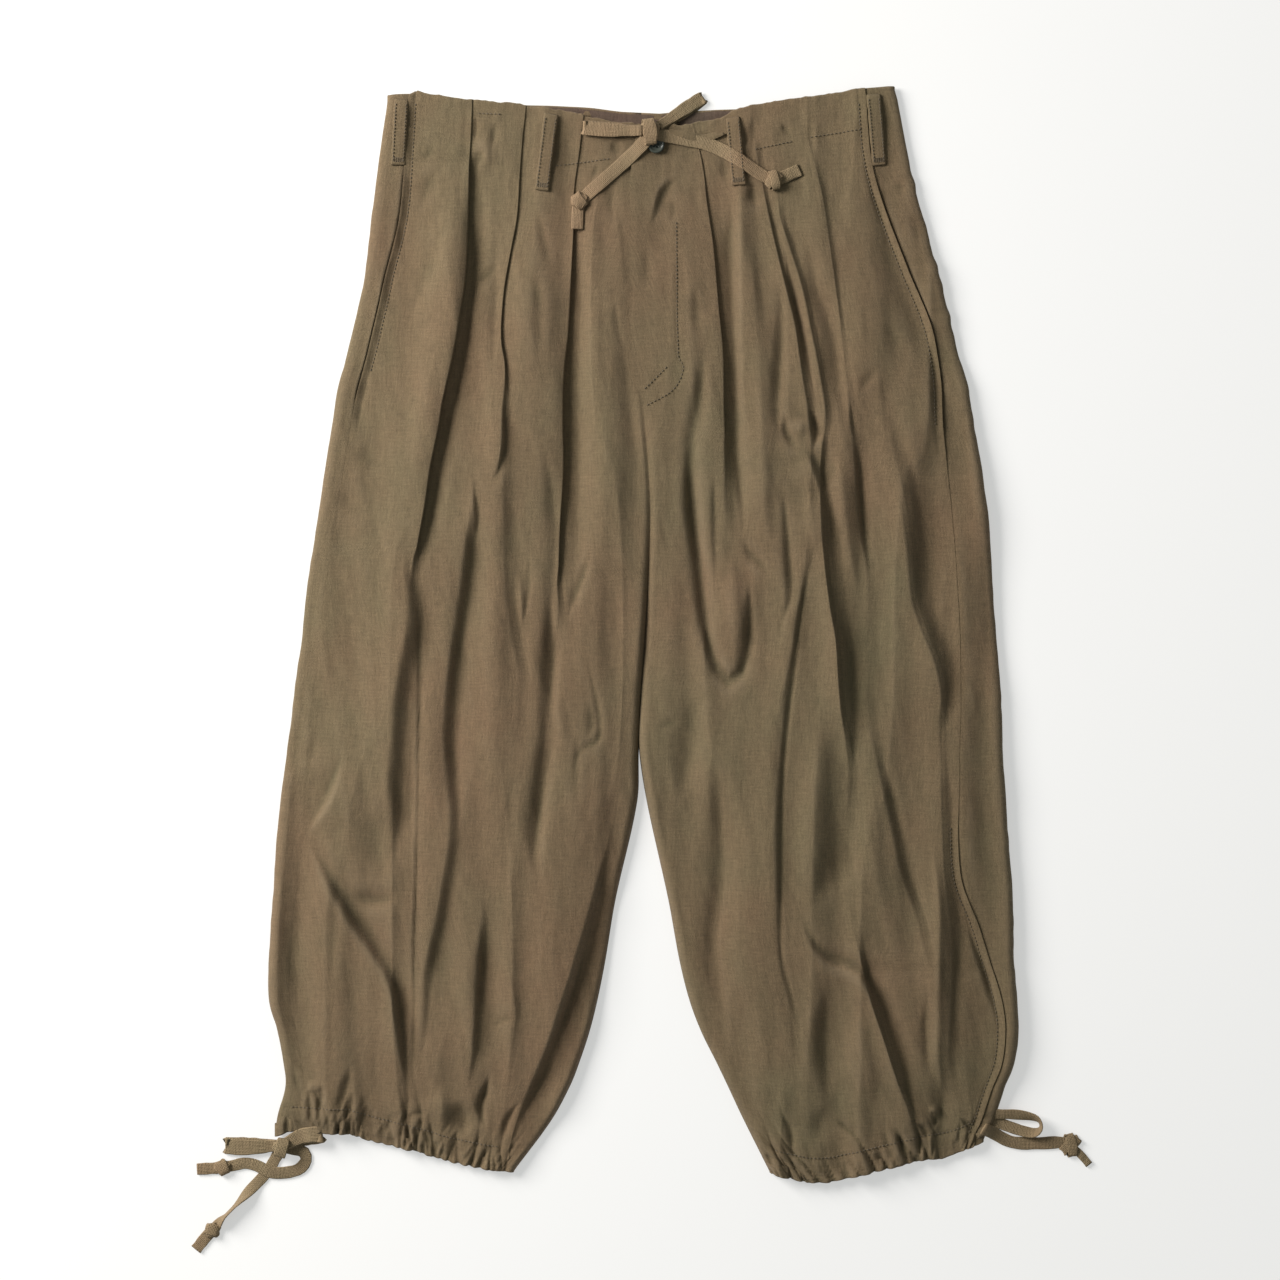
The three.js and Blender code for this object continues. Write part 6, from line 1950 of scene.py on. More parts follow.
@dataclass
class StitchRun:
    """A row of stitches in real thread.

    Attributes:
        name: Name of the piece.
        routes: One route for each row.
        pitch: Distance from one stitch to the next.
        length: Length of a stitch.
        thick: Thickness of the thread.
        sink: How far the thread lies in the cloth.
    """

    name: str
    routes: Sequence[Sequence[Point2]]
    pitch: float = 3.0
    length: float = 2.2
    thick: float = 0.8
    sink: float = 0.02

    def build(self, finish: bpy.types.Material, surface: Surface) -> bpy.types.Object:
        """Make the stitches on the cloth.

        Args:
            finish: What it is made of.
            surface: What it lies on.

        Returns:
            The new piece.
        """
        made = bmesh.new()
        for route in self.routes:
            rows = np.asarray(route, float)
            whole = np.linalg.norm(np.diff(rows, axis=0), axis=1).sum()
            count = max(int(whole / self.pitch), 2)
            line = rounded_route(route, count * 2)
            for i in range(1, len(line) - 1, 2):
                self.add_stitch(made, line[i - 1], line[i], line[i + 1], surface)
        return new_object(self.name, mesh_of(made, self.name), finish, "drawstring_tape")

    def add_stitch(self, made: bmesh.types.BMesh, before: np.ndarray, at: np.ndarray,
                   after: np.ndarray, surface: Surface) -> None:
        """Add one stitch, laid along the slope of the cloth.

        Args:
            made: The bmesh that it goes into.
            before: The point before it.
            at: Its own point.
            after: The point after it.
            surface: What it lies on.
        """
        run = (after - before) / np.linalg.norm(after - before)
        ends = [at - run * self.length * 0.42, at + run * self.length * 0.42]
        low = Vector((*ends[0], surface.under(*ends[0])[0]))
        high = Vector((*ends[1], surface.under(*ends[1])[0]))
        middle, normal = surface.under(*at)
        along = high - low
        if abs(along.z) > self.length * 1.2:
            along.z = 0.0
        along.normalize()
        across = normal.cross(along).normalized()
        up = along.cross(across)
        centre = Vector((*at, max(middle, 0.5 * (low.z + high.z)) + self.thick / 2 - self.sink))
        half, thin = self.length / 2, self.thick / 2
        turned = Matrix([(along[i] * half, across[i] * thin, up[i] * thin, centre[i])
                         for i in range(3)] + [(0, 0, 0, 1 / MM)]) * MM
        bmesh.ops.create_uvsphere(made, u_segments=6, v_segments=5, radius=1.0,
                                  matrix=turned)


@dataclass
class WaistFacing:
    """The strip of cloth inside the back of the waist, seen over the front's dip.

    Attributes:
        name: Name of the piece and of its CAD node.
        depth: How far down it reaches from the back's upper edge.
        start: Where it starts, across the waist.
        end: Where it ends.
    """

    name: str = "waist_facing_back"
    depth: float = 38.0
    start: float = -176.0
    end: float = 172.0

    def build(self, finish: bpy.types.Material, surface: Surface) -> bpy.types.Object:
        """Make the strip, under the front and over the back.

        Args:
            finish: What it is made of.
            surface: What it lies on.

        Returns:
            The new piece.
        """
        top = edge_line(BACK_TOP)
        x = np.linspace(self.start, self.end, 150)
        down = np.concatenate([[-0.6, -0.2, 0.4], np.linspace(1.4, self.depth, 26)])
        rise = np.interp(down, [-0.6, -0.2, 0.4, 3.0, 8.0, 9.5, 12.0, self.depth],
                         [0.4, 1.3, 1.75, 1.95, 1.9, 1.5, 1.7, 1.5])
        rows_x = np.broadcast_to(x, (len(down), len(x)))
        ripple = soft_noise(rows_x, down[:, None] + rows_x * 0, (11.0, 9.0), 77)
        puff = 0.55 * ripple * smooth_step(0.5, 4.0, down)[:, None]
        y = top(x)[None, :] - down[:, None] + 0.35 * soft_noise(
            rows_x, rows_x * 0, (9.0, 9.0), 78)
        points = np.stack([rows_x, y, rise[:, None] + 0.35 + puff], axis=-1)[::-1]
        across = rows_x[::-1]
        mesh = grid_mesh(self.name, points, across, -down[::-1][:, None] + across * 0,
                         np.zeros(points.shape[:2]))
        surface.add(points)
        piece = new_object(self.name, mesh, finish, "facing_cloth", self.name)
        thicken(piece, 0.6)
        return piece


@dataclass
class PocketFacing:
    """The turned-in edge of the pocket bag, seen in the pocket's opening.

    Attributes:
        name: Name of the piece and of its CAD node.
        leg: The leg that it is in.
        wide: Its width.
    """

    name: str
    leg: Leg
    wide: float = 13.0

    def build(self, finish: bpy.types.Material) -> bpy.types.Object:
        """Make the strip, under the opening.

        Args:
            finish: What it is made of.

        Returns:
            The new piece.
        """
        low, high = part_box(self.name)
        level = np.linspace(low.y / MM, high.y / MM, 70)[:, None]
        share = np.linspace(0, 1, 9)[None, :]
        seam = self.leg.seam_depth(level)
        depth = seam - 2.0 + share * self.wide
        levels = np.broadcast_to(level, depth.shape)
        x, y = self.leg.plan(depth, levels)
        passed = np.zeros((len(self.leg.pleats), *depth.shape))
        passed[:] = 0.0 if self.leg.to_inner > 0 else 1.0
        z = self.leg.height(depth, levels, passed) - 2.9
        points = np.stack([x, y, z], axis=-1)
        if self.leg.to_inner < 0:
            points = points[:, ::-1]
        mesh = grid_mesh(self.name, points, depth, levels, np.zeros(depth.shape))
        piece = new_object(self.name, mesh, finish, "facing_cloth", self.name)
        thicken(piece, 0.4)
        return piece


@dataclass
class BeltLoop:
    """A belt loop, a stitched strip held at the waist's edge and at its foot.

    Attributes:
        name: Name of the piece and of its CAD node.
        top: Middle of its upper end.
        bottom: Middle of its foot.
        width: Its width.
        thickness: Its thickness, folded.
        lift: How far it stands off the cloth, from its upper end to its foot.
    """

    name: str
    top: Point2
    bottom: Point2
    width: float = 11.0
    thickness: float = 1.5
    lift: Sequence[float] = (0.1, 0.9, 1.3, 1.2, 0.8, 0.2, 0.0)

    def build(self, finish: bpy.types.Material, thread: bpy.types.Material,
              surface: Surface) -> bpy.types.Object:
        """Make the loop and its stitching on the cloth.

        Args:
            finish: What it is made of.
            thread: What it is sewn with.
            surface: What it lies on.

        Returns:
            The new piece.
        """
        start, end = np.asarray(self.top), np.asarray(self.bottom)
        run = (end - start) / np.linalg.norm(end - start)
        route = [tuple(start), tuple(0.5 * (start + end)), tuple(end)]
        share = np.linspace(0, 1, 31)
        height = np.interp(share, np.linspace(0, 1, len(self.lift)), self.lift)
        band = lay_band(route, self.width, surface, height, self.thickness, 30,
                        seed=len(self.name))
        turned = band.centre.copy()
        first = np.array([*(start - run * 0.9), turned[0, 2] - 0.9])
        last = np.array([*(end + run * 0.8), turned[-1, 2] - 0.5])
        band.centre = np.concatenate([first[None], turned, last[None]])
        band.side = np.concatenate([band.side[:1], band.side, band.side[-1:]])
        piece = new_object(self.name, band_mesh(self.name, band), finish,
                           "trouser_cloth", self.name)
        surface.add_mesh(piece.data)
        out = np.array([-run[1], run[0]]) * (self.width / 2 - 1.5)
        rows = [[tuple(start + run * 2 + out), tuple(end - run * 1.5 + out)],
                [tuple(start + run * 2 - out), tuple(end - run * 1.5 - out)]]
        StitchRun(f"{self.name}_topstitch", rows, 2.6, 2.0).build(thread, surface)
        bars = []
        for shift in np.linspace(1.6, 4.4, 4):
            middle = end - run * shift
            bars.append([tuple(middle + out * 1.05), tuple(middle - out * 1.05)])
        StitchRun(f"{self.name}_bar_tack", bars, 1.5, 1.7, 0.6).build(thread, surface)
        return piece


@dataclass
class WaistButton:
    """The sewn button at the middle of the waist.

    Attributes:
        name: Name of the piece and of its CAD node.
        place: Its middle.
        radius: Its radius.
        thickness: Its thickness at the rim.
        hole_radius: Radius of a hole.
        hole_ring: Distance of the holes from its middle.
    """

    name: str = "waist_button"
    place: Point2 = (9.8, 380.4)
    radius: float = 6.5
    thickness: float = 2.6
    hole_radius: float = 0.85
    hole_ring: float = 1.75

    def build(self, finish: bpy.types.Material, surface: Surface) -> bpy.types.Object:
        """Make the button, with its rim, its hollow and its four holes.

        Args:
            finish: What it is made of.
            surface: What it lies on.

        Returns:
            The new piece.
        """
        rest = surface.level_over(*self.place, 3.0)
        rings = np.concatenate([np.linspace(0.03, 0.62, 22), [0.68, 0.74, 0.80, 0.86, 0.92,
                                0.97, 1.0, 1.0, 0.96, 0.80]])
        height = np.interp(rings, [0.0, 0.50, 0.62, 0.74, 0.86, 0.97, 1.0],
                           [0.62, 0.64, 0.70, 0.92, 1.0, 0.86, 0.62])
        height[-3:] = [0.45, 0.08, 0.0]
        turn = np.linspace(0, 2 * math.pi, 97)
        points = np.zeros((len(rings), len(turn), 3))
        points[..., 0] = rings[:, None] * np.cos(turn)[None] * self.radius
        points[..., 1] = rings[:, None] * np.sin(turn)[None] * self.radius
        points[..., 2] = height[:, None] * self.thickness
        for k in range(4):
            angle = 0.5 + k * math.pi / 2
            off = np.hypot(points[..., 0] - self.hole_ring * math.cos(angle),
                           points[..., 1] - self.hole_ring * math.sin(angle))
            points[..., 2] -= 1.3 * (1 - smooth_step(self.hole_radius * 0.7,
                                                     self.hole_radius * 1.2, off))
        points += np.array([*self.place, rest + 0.2])
        made = bmesh.new()
        for vertex, (row, column) in fresh_grid(made, len(rings), len(turn)).items():
            vertex.co = Vector(points[row, column] * MM)
        bmesh.ops.remove_doubles(made, verts=made.verts, dist=1e-6)
        edges = [edge for edge in made.edges if edge.is_boundary]
        bmesh.ops.holes_fill(made, edges=edges, sides=0)
        bmesh.ops.recalc_face_normals(made, faces=made.faces)
        mesh = mesh_of(made, self.name)
        surface.add_mesh(mesh)
        return new_object(self.name, mesh, finish, "button", self.name)


class NodeBench:
    """Adds nodes to a tree and joins them."""

    def __init__(self, tree: bpy.types.NodeTree) -> None:
        """Work in one tree."""
        self.tree = tree

    def add(self, kind: str, **settings: object) -> bpy.types.Node:
        """Add a node and set its own settings.

        Args:
            kind: Type of the node.
            settings: Its settings.

        Returns:
            The node.
        """
        node = self.tree.nodes.new(kind)
        for name, value in settings.items():
            setattr(node, name, value)
        return node

    def join(self, source: Socket, target: Socket) -> None:
        """Join an output to an input."""
        self.tree.links.new(source, target)

    def put(self, socket: Socket, value: Value) -> None:
        """Set an input to a value, or join an output to it.

        Args:
            socket: The socket.
            value: A value, or a socket to link to it.
        """
        if isinstance(value, bpy.types.NodeSocket):
            self.join(value, socket)
        else:
            socket.default_value = value

    def math(self, operation: str, first: Value, second: Value = 0.0) -> Socket:
        """Work out one number from others.

        Args:
            operation: What it works out.
            first: First value.
            second: Second value.

        Returns:
            The result.
        """
        node = self.add("ShaderNodeMath", operation=operation)
        for socket, value in zip(node.inputs, (first, second)):
            self.put(socket, value)
        return node.outputs[0]

    def noise(self, place: Socket, scale: float, detail: float = 2.0,
              rough: float = 0.5) -> Socket:
        """Read a noise, from 0 to 1.

        Args:
            place: Where it is read.
            scale: Its scale.
            detail: Its detail.
            rough: Its roughness.

        Returns:
            The noise.
        """
        node = self.add("ShaderNodeTexNoise")
        self.join(place, node.inputs["Vector"])
        node.inputs["Scale"].default_value = scale
        node.inputs["Detail"].default_value = detail
        node.inputs["Roughness"].default_value = rough
        return node.outputs["Fac"]

    def stretched(self, place: Socket, size: tuple[float, float, float]) -> Socket:
        """Scale the place along each axis.

        Args:
            place: The place.
            size: Scale along each axis.

        Returns:
            The scaled place.
        """
        node = self.add("ShaderNodeMapping")
        self.join(place, node.inputs["Vector"])
        node.inputs["Scale"].default_value = size
        return node.outputs["Vector"]

    def mix(self, share: Value, first: Value, second: Value, blend: str = "MIX") -> Socket:
        """Mix two colours.

        Args:
            share: Share of the second colour.
            first: First colour.
            second: Second colour.
            blend: How they are mixed.

        Returns:
            The mixed colour.
        """
        node = self.add("ShaderNodeMix", data_type="RGBA", blend_type=blend)
        colours = [socket for socket in node.inputs if socket.type == "RGBA"]
        self.put(node.inputs[0], share)
        self.put(colours[0], first)
        self.put(colours[1], second)
        return [socket for socket in node.outputs if socket.type == "RGBA"][0]

    def raise_by(self, height: Socket, distance: float, shader: bpy.types.Node) -> None:
        """Let a height show as relief.

        Args:
            height: The height.
            distance: What a height of one stands for, in metres.
            shader: The shader that gets the relief.
        """
        bump = self.add("ShaderNodeBump")
        bump.inputs["Strength"].default_value = 1.0
        bump.inputs["Distance"].default_value = distance
        self.join(height, bump.inputs["Height"])
        self.join(bump.outputs[0], shader.inputs["Normal"])


def new_material(name: str, settings: dict[str, Value]
                 ) -> tuple[bpy.types.Material, NodeBench, bpy.types.Node]:
    """Start a material.

    Args:
        name: Name of the material.
        settings: Values that its shader has all over.

    Returns:
        The material, its bench and its shader.
    """
    material = bpy.data.materials.new(name)
    material.use_nodes = True
    shader = material.node_tree.nodes["Principled BSDF"]
    for label, value in settings.items():
        shader.inputs[label].default_value = value
    return material, NodeBench(material.node_tree), shader


def new_group(name: str, inputs: dict[str, tuple], outputs: dict[str, str]
              ) -> tuple[bpy.types.NodeTree, NodeBench, bpy.types.Node, bpy.types.Node]:
    """Start a group of nodes.

    Args:
        name: Name of the group.
        inputs: Kind and value of each input.
        outputs: Kind of each output.

    Returns:
        The group, its bench, and its nodes of inputs and outputs.
    """
    group = bpy.data.node_groups.new(name, "ShaderNodeTree")
    for label, (kind, value) in inputs.items():
        socket = group.interface.new_socket(name=label, in_out="INPUT", socket_type=kind)
        if value is not None:
            socket.default_value = value
    for label, kind in outputs.items():
        group.interface.new_socket(name=label, in_out="OUTPUT", socket_type=kind)
    bench = NodeBench(group)
    return group, bench, bench.add("NodeGroupInput"), bench.add("NodeGroupOutput")


class ClothEffects:
    """Groups of nodes that every cloth finish shares."""

    def __init__(self) -> None:
        """Build each group once."""
        self.weave = self.build_weave()
        self.slub = self.build_slub()
        self.crumple = self.build_crumple()
        self.drift = self.build_drift()

    def build_weave(self) -> bpy.types.NodeTree:
        """Plain weave: threads that pass over and under each other.

        Returns:
            The node group.
        """
        group, bench, given, result = new_group(
            "plain weave",
            {"Place": ("NodeSocketVector", None), "Threads": ("NodeSocketFloat", 2200.0)},
            {"Height": "NodeSocketFloat"})
        parts = bench.add("ShaderNodeSeparateXYZ")
        bench.join(given.outputs["Place"], parts.inputs[0])
        turned = [bench.math("MULTIPLY", parts.outputs[axis], given.outputs["Threads"])
                  for axis in (0, 1)]
        waves = [bench.math("SINE", bench.math("MULTIPLY", turn, math.pi)) for turn in turned]
        crossed = bench.math("MULTIPLY", waves[0], waves[1])
        rounded = bench.math("MULTIPLY", bench.math("ABSOLUTE", waves[0]),
                             bench.math("ABSOLUTE", waves[1]))
        height = bench.math("ADD", bench.math("MULTIPLY", crossed, 0.3), rounded)
        bench.join(height, result.inputs["Height"])
        return group

    def build_slub(self) -> bpy.types.NodeTree:
        """Uneven yarns: fine streaks along and across the cloth.

        Returns:
            The node group.
        """
        group, bench, given, result = new_group(
            "uneven yarns", {"Place": ("NodeSocketVector", None)},
            {"Shade": "NodeSocketFloat", "Height": "NodeSocketFloat"})
        place = given.outputs["Place"]
        along = bench.noise(bench.stretched(place, (620, 80, 1)), 1.0, 3.0, 0.6)
        across = bench.noise(bench.stretched(place, (95, 700, 1)), 1.0, 3.0, 0.6)
        grain = bench.noise(bench.stretched(place, (900, 900, 1)), 1.0, 1.0, 0.5)
        both = bench.math("ADD", bench.math("ADD", along, across),
                          bench.math("MULTIPLY", grain, 0.7))
        shade = bench.math("SUBTRACT", bench.math("MULTIPLY", both, 0.74), 1.0)
        bench.join(shade, result.inputs["Shade"])
        bench.join(both, result.inputs["Height"])
        return group

    def build_crumple(self) -> bpy.types.NodeTree:
        """Small creases left by washing.

        Returns:
            The node group.
        """
        group, bench, given, result = new_group(
            "washed creases", {"Place": ("NodeSocketVector", None)},
            {"Height": "NodeSocketFloat"})
        place = given.outputs["Place"]
        long = bench.noise(bench.stretched(place, (150, 45, 60)), 1.0, 3.0, 0.55)
        small = bench.noise(bench.stretched(place, (420, 260, 300)), 1.0, 2.0, 0.5)
        height = bench.math("ADD", long, bench.math("MULTIPLY", small, 0.3))
        bench.join(height, result.inputs["Height"])
        return group

    def build_drift(self) -> bpy.types.NodeTree:
        """Slow change of the dye between a reddish and a greenish brown.

        Returns:
            The node group.
        """
        group, bench, given, result = new_group(
            "dye drift",
            {"Place": ("NodeSocketVector", None), "Colour": ("NodeSocketColor", None)},
            {"Colour": "NodeSocketColor"})
        place = given.outputs["Place"]
        slow = bench.noise(bench.stretched(place, (9, 7, 20)), 1.0, 2.0, 0.5)
        patch = bench.noise(bench.stretched(place, (60, 35, 60)), 1.0, 2.0, 0.5)
        share = bench.math("ADD", bench.math("MULTIPLY", slow, 1.5),
                           bench.math("MULTIPLY", patch, 0.4))
        share = bench.math("SUBTRACT", share, 0.45)
        reddish = bench.mix(0.5, given.outputs["Colour"], (1.26, 0.94, 0.88, 1), "MULTIPLY")
        greenish = bench.mix(0.5, given.outputs["Colour"], (0.80, 1.02, 0.86, 1), "MULTIPLY")
        bench.join(bench.mix(share, reddish, greenish), result.inputs["Colour"])
        return group


@dataclass(frozen=True)
class ClothFinish:
    """A dyed, woven cloth.

    Attributes:
        name: Name of the finish.
        colour: Colour of the cloth, linear.
        wear_and_highlight: Colour of its raised folds, lighter for wear and as a painted
            highlight, linear.
        roughness: Roughness of its fibres.
        sheen: Strength of its sheen.
        threads: Threads to a metre.
        streaks: Strength of the uneven yarns.
        weave_depth: Height of the weave, in metres.
        crease_depth: Height of the washed creases, in metres.
        hollow: Darker, greener tint that paints shade into the hollows, linear.
        wear_and_highlight_share: How much of the worn colour and painted highlight the highest
            folds take.
        hollow_shade_share: How much of the painted shade the deepest hollows take.
    """

    name: str
    colour: Colour
    wear_and_highlight: Colour
    roughness: float = 0.7
    sheen: float = 0.04
    threads: float = 2200.0
    streaks: float = 0.78
    weave_depth: float = 0.00028
    crease_depth: float = 0.0009
    hollow: Colour = (0.58, 0.64, 0.60)
    wear_and_highlight_share: float = 0.45
    hollow_shade_share: float = 0.6

    def build(self, effects: ClothEffects) -> bpy.types.Material:
        """Make the material.

        Args:
            effects: The groups that it is made with.

        Returns:
            The material.
        """
        material, bench, shader = new_material(self.name, {
            "Sheen Weight": self.sheen, "Sheen Roughness": 0.45,
            "Specular IOR Level": 0.25})
        cloth = bench.add("ShaderNodeUVMap", uv_map="cloth").outputs["UV"]
        place = bench.add("ShaderNodeTexCoord").outputs["Object"]
        drift = self.group(bench, effects.drift, Place=place, Colour=(*self.colour, 1))
        slub = self.group(bench, effects.slub, Place=cloth)
        shade = bench.math("ADD", bench.math(
            "MULTIPLY", slub.outputs["Shade"], self.streaks), 1.0)
        grey = bench.add("ShaderNodeCombineColor")
        for socket in grey.inputs:
            bench.join(shade, socket)
        yarns = bench.mix(1.0, drift.outputs["Colour"], grey.outputs[0], "MULTIPLY")
        # Raised folds are lightened, partly for wear and partly as a painted highlight; sunk
        # hollows are darkened and turned greener as painted shade.
        wear_and_painted_light = bench.add("ShaderNodeAttribute", attribute_name="wear_and_painted_light").outputs["Fac"]
        raised = bench.math("MULTIPLY", bench.math("MAXIMUM", wear_and_painted_light, 0.0), self.wear_and_highlight_share)
        sunk = bench.math("MULTIPLY", bench.math("MAXIMUM", bench.math(
            "MULTIPLY", wear_and_painted_light, -1.0), 0.0), self.hollow_shade_share)
        edges = bench.mix(raised, yarns, (*self.wear_and_highlight, 1))
        deep = bench.mix(1.0, edges, (*self.hollow, 1), "MULTIPLY")
        bench.join(bench.mix(sunk, edges, deep), shader.inputs["Base Color"])
        rough = bench.math("ADD", bench.math("MULTIPLY", slub.outputs["Shade"], 0.12),
                           self.roughness)
        bench.join(rough, shader.inputs["Roughness"])
        weave = self.group(bench, effects.weave, Place=cloth, Threads=self.threads)
        crumple = self.group(bench, effects.crumple, Place=place)
        heights = bench.math("ADD", bench.math(
            "MULTIPLY", weave.outputs["Height"], self.weave_depth), bench.math(
            "MULTIPLY", slub.outputs["Height"], self.weave_depth * 1.6))
        heights = bench.math("ADD", heights, bench.math(
            "MULTIPLY", crumple.outputs["Height"], self.crease_depth))
        bench.raise_by(heights, 1.0, shader)
        return material

    @staticmethod
    def group(bench: NodeBench, tree: bpy.types.NodeTree, **given: Value) -> bpy.types.Node:
        """Add a group and set or join its inputs.

        Args:
            bench: Where it goes.
            tree: The node group.
            given: Values of its inputs.

        Returns:
            The node.
        """
        node = bench.add("ShaderNodeGroup", node_tree=tree)
        for name, value in given.items():
            bench.put(node.inputs[name], value)
        return node


@dataclass(frozen=True)
class ThreadFinish:
    """Twisted sewing thread.

    Attributes:
        name: Name of the finish.
        colour: Colour of the thread, linear.
    """

    name: str
    colour: Colour

    def build(self) -> bpy.types.Material:
        """Make the material.

        Returns:
            The material.
        """
        material, bench, shader = new_material(
            self.name, {"Roughness": 0.6, "Sheen Weight": 0.2})
        place = bench.add("ShaderNodeTexCoord").outputs["Object"]
        plies = bench.noise(place, 2600.0, 1.0)
        light = tuple(min(value * 1.25, 1.0) for value in self.colour)
        dark = tuple(value * 0.75 for value in self.colour)
        bench.join(bench.mix(plies, (*dark, 1), (*light, 1)), shader.inputs["Base Color"])
        bench.raise_by(plies, 0.0001, shader)
        return material


@dataclass(frozen=True)
class ButtonFinish:
    """Polished moulded plastic with a cloudy grain.

    Attributes:
        name: Name of the finish.
        colour: Its darkest colour, linear.
    """

    name: str = "dark button"
    colour: Colour = (0.026, 0.030, 0.024)

    def build(self) -> bpy.types.Material:
        """Make the material.

        Returns:
            The material.
        """
        material, bench, shader = new_material(
            self.name, {"Coat Weight": 0.15, "Coat Roughness": 0.12})
        place = bench.add("ShaderNodeTexCoord").outputs["Object"]
        cloud = bench.noise(place, 420.0, 4.0, 0.6)
        light = tuple(value * 2.2 for value in self.colour)
        bench.join(bench.mix(cloud, (*self.colour, 1), (*light, 1)),
                   shader.inputs["Base Color"])
        bench.join(bench.math("ADD", bench.math("MULTIPLY", cloud, 0.16), 0.3),
                   shader.inputs["Roughness"])
        return material


@dataclass
class Studio:
    """The camera, the pale floor and the soft light from the upper left.

    Attributes:
        middle: The place that the camera is over.
        camera_height: Height of the camera, in metres.
        lens: Its focal length.
        floor_size: Side of the floor, in metres.
        floor_shade: Grey of the floor.
        floor_glow: How brightly it shines by itself.
        key_place: Place of the light, in metres.
        key_colour: Its colour.
        key_power: Its power.
        key_size: Its side, in metres.
        sky: Strength of the light from all round.
        sky_colour: Its colour.
    """

    middle: Point2 = (-2.7, -4.7)
    camera_height: float = 2.2
    lens: float = 79.2
    floor_size: float = 3.0
    floor_shade: float = 0.5
    floor_glow: float = 0.47
    key_place: tuple[float, float, float] = (-1.95, 1.0, 1.2)
    key_colour: Colour = (1.0, 0.965, 0.925)
    key_power: float = 115.0
    key_size: float = 1.2
    sky: float = 0.262
    sky_colour: Colour = (0.94, 1.0, 0.97)

    def build(self) -> None:
        """Set the studio up."""
        self.add_camera()
        self.add_floor()
        self.add_light()
        world = bpy.data.worlds.new("pale room")
        world.use_nodes = True
        sky = world.node_tree.nodes["Background"]
        sky.inputs["Color"].default_value = (*self.sky_colour, 1)
        sky.inputs["Strength"].default_value = self.sky
        bpy.context.scene.world = world
        bpy.context.scene.view_settings.view_transform = "Standard"

    def add_camera(self) -> None:
        """Add the camera, straight above the garment."""
        camera = bpy.data.cameras.new("camera")
        camera.lens = self.lens
        camera.sensor_width = 36.0
        view = bpy.data.objects.new("camera", camera)
        view.location = (self.middle[0] * MM, self.middle[1] * MM, self.camera_height)
        bpy.context.scene.collection.objects.link(view)
        bpy.context.scene.camera = view

    def add_floor(self) -> None:
        """Add the floor that the garment lies on."""
        made = bmesh.new()
        bmesh.ops.create_grid(made, x_segments=2, y_segments=2, size=self.floor_size / 2)
        mesh = mesh_of(made, "floor", smooth=False)
        floor = bpy.data.objects.new("floor", mesh)
        bpy.context.scene.collection.objects.link(floor)
        shade = self.floor_shade
        material, _, _ = new_material("pale floor", {
            "Base Color": (shade, shade, shade, 1), "Roughness": 0.9,
            "Specular IOR Level": 0.1, "Emission Color": (1.0, 1.0, 0.99, 1),
            "Emission Strength": self.floor_glow})
        mesh.materials.append(material)

    def add_light(self) -> None:
        """Add the square soft light, which faces the garment."""
        lamp = bpy.data.lights.new("key light", "AREA")
        lamp.size = self.key_size
        lamp.energy = self.key_power
        lamp.color = self.key_colour
        light = bpy.data.objects.new("key light", lamp)
        light.location = self.key_place
        turn = (-Vector(self.key_place)).to_track_quat("-Z", "Y")
        light.rotation_euler = turn.to_euler()
        bpy.context.scene.collection.objects.link(light)


BELT_LOOPS = (
    ("belt_loop_side_right", (-188.5, 415), (-191, 366)),
    ("belt_loop_front_right", (-72, 403.5), (-79, 346)),
    ("belt_loop_front_left", (69.5, 401), (74, 350)),
    ("belt_loop_side_left", (179, 419), (183.5, 366)),
)
WAIST_END_RIGHT = ((3, 387), (-0.9, 380.7), (-20, 362.6), (-43.4, 342.3), (-52, 334))
WAIST_END_LEFT = (
    (5.5, 389.4), (12.1, 388.2), (32, 385.2), (54, 379.7), (75.4, 368), (92.5, 356.9),
    (104, 351.5),
)
HEM_END_UPPER = (
    (-281, -400), (-274.6, -401.6), (-265.2, -404.6), (-263.6, -411.5), (-270.4, -418.6),
    (-289.4, -420.6), (-302, -415), (-311.3, -413.2), (-320.8, -415.2), (-328.6, -416.3),
)
HEM_END_LOWER = (
    (-283.5, -402.5), (-287, -408.8), (-294, -420.3), (-311.3, -438.3), (-331.5, -459.6),
    (-336.4, -465.2),
)
HEM_END_LEFT = (
    (264, -384.6), (270.4, -387.8), (286.9, -396.4), (308, -397.7), (326.4, -397),
    (334, -398.9),
)


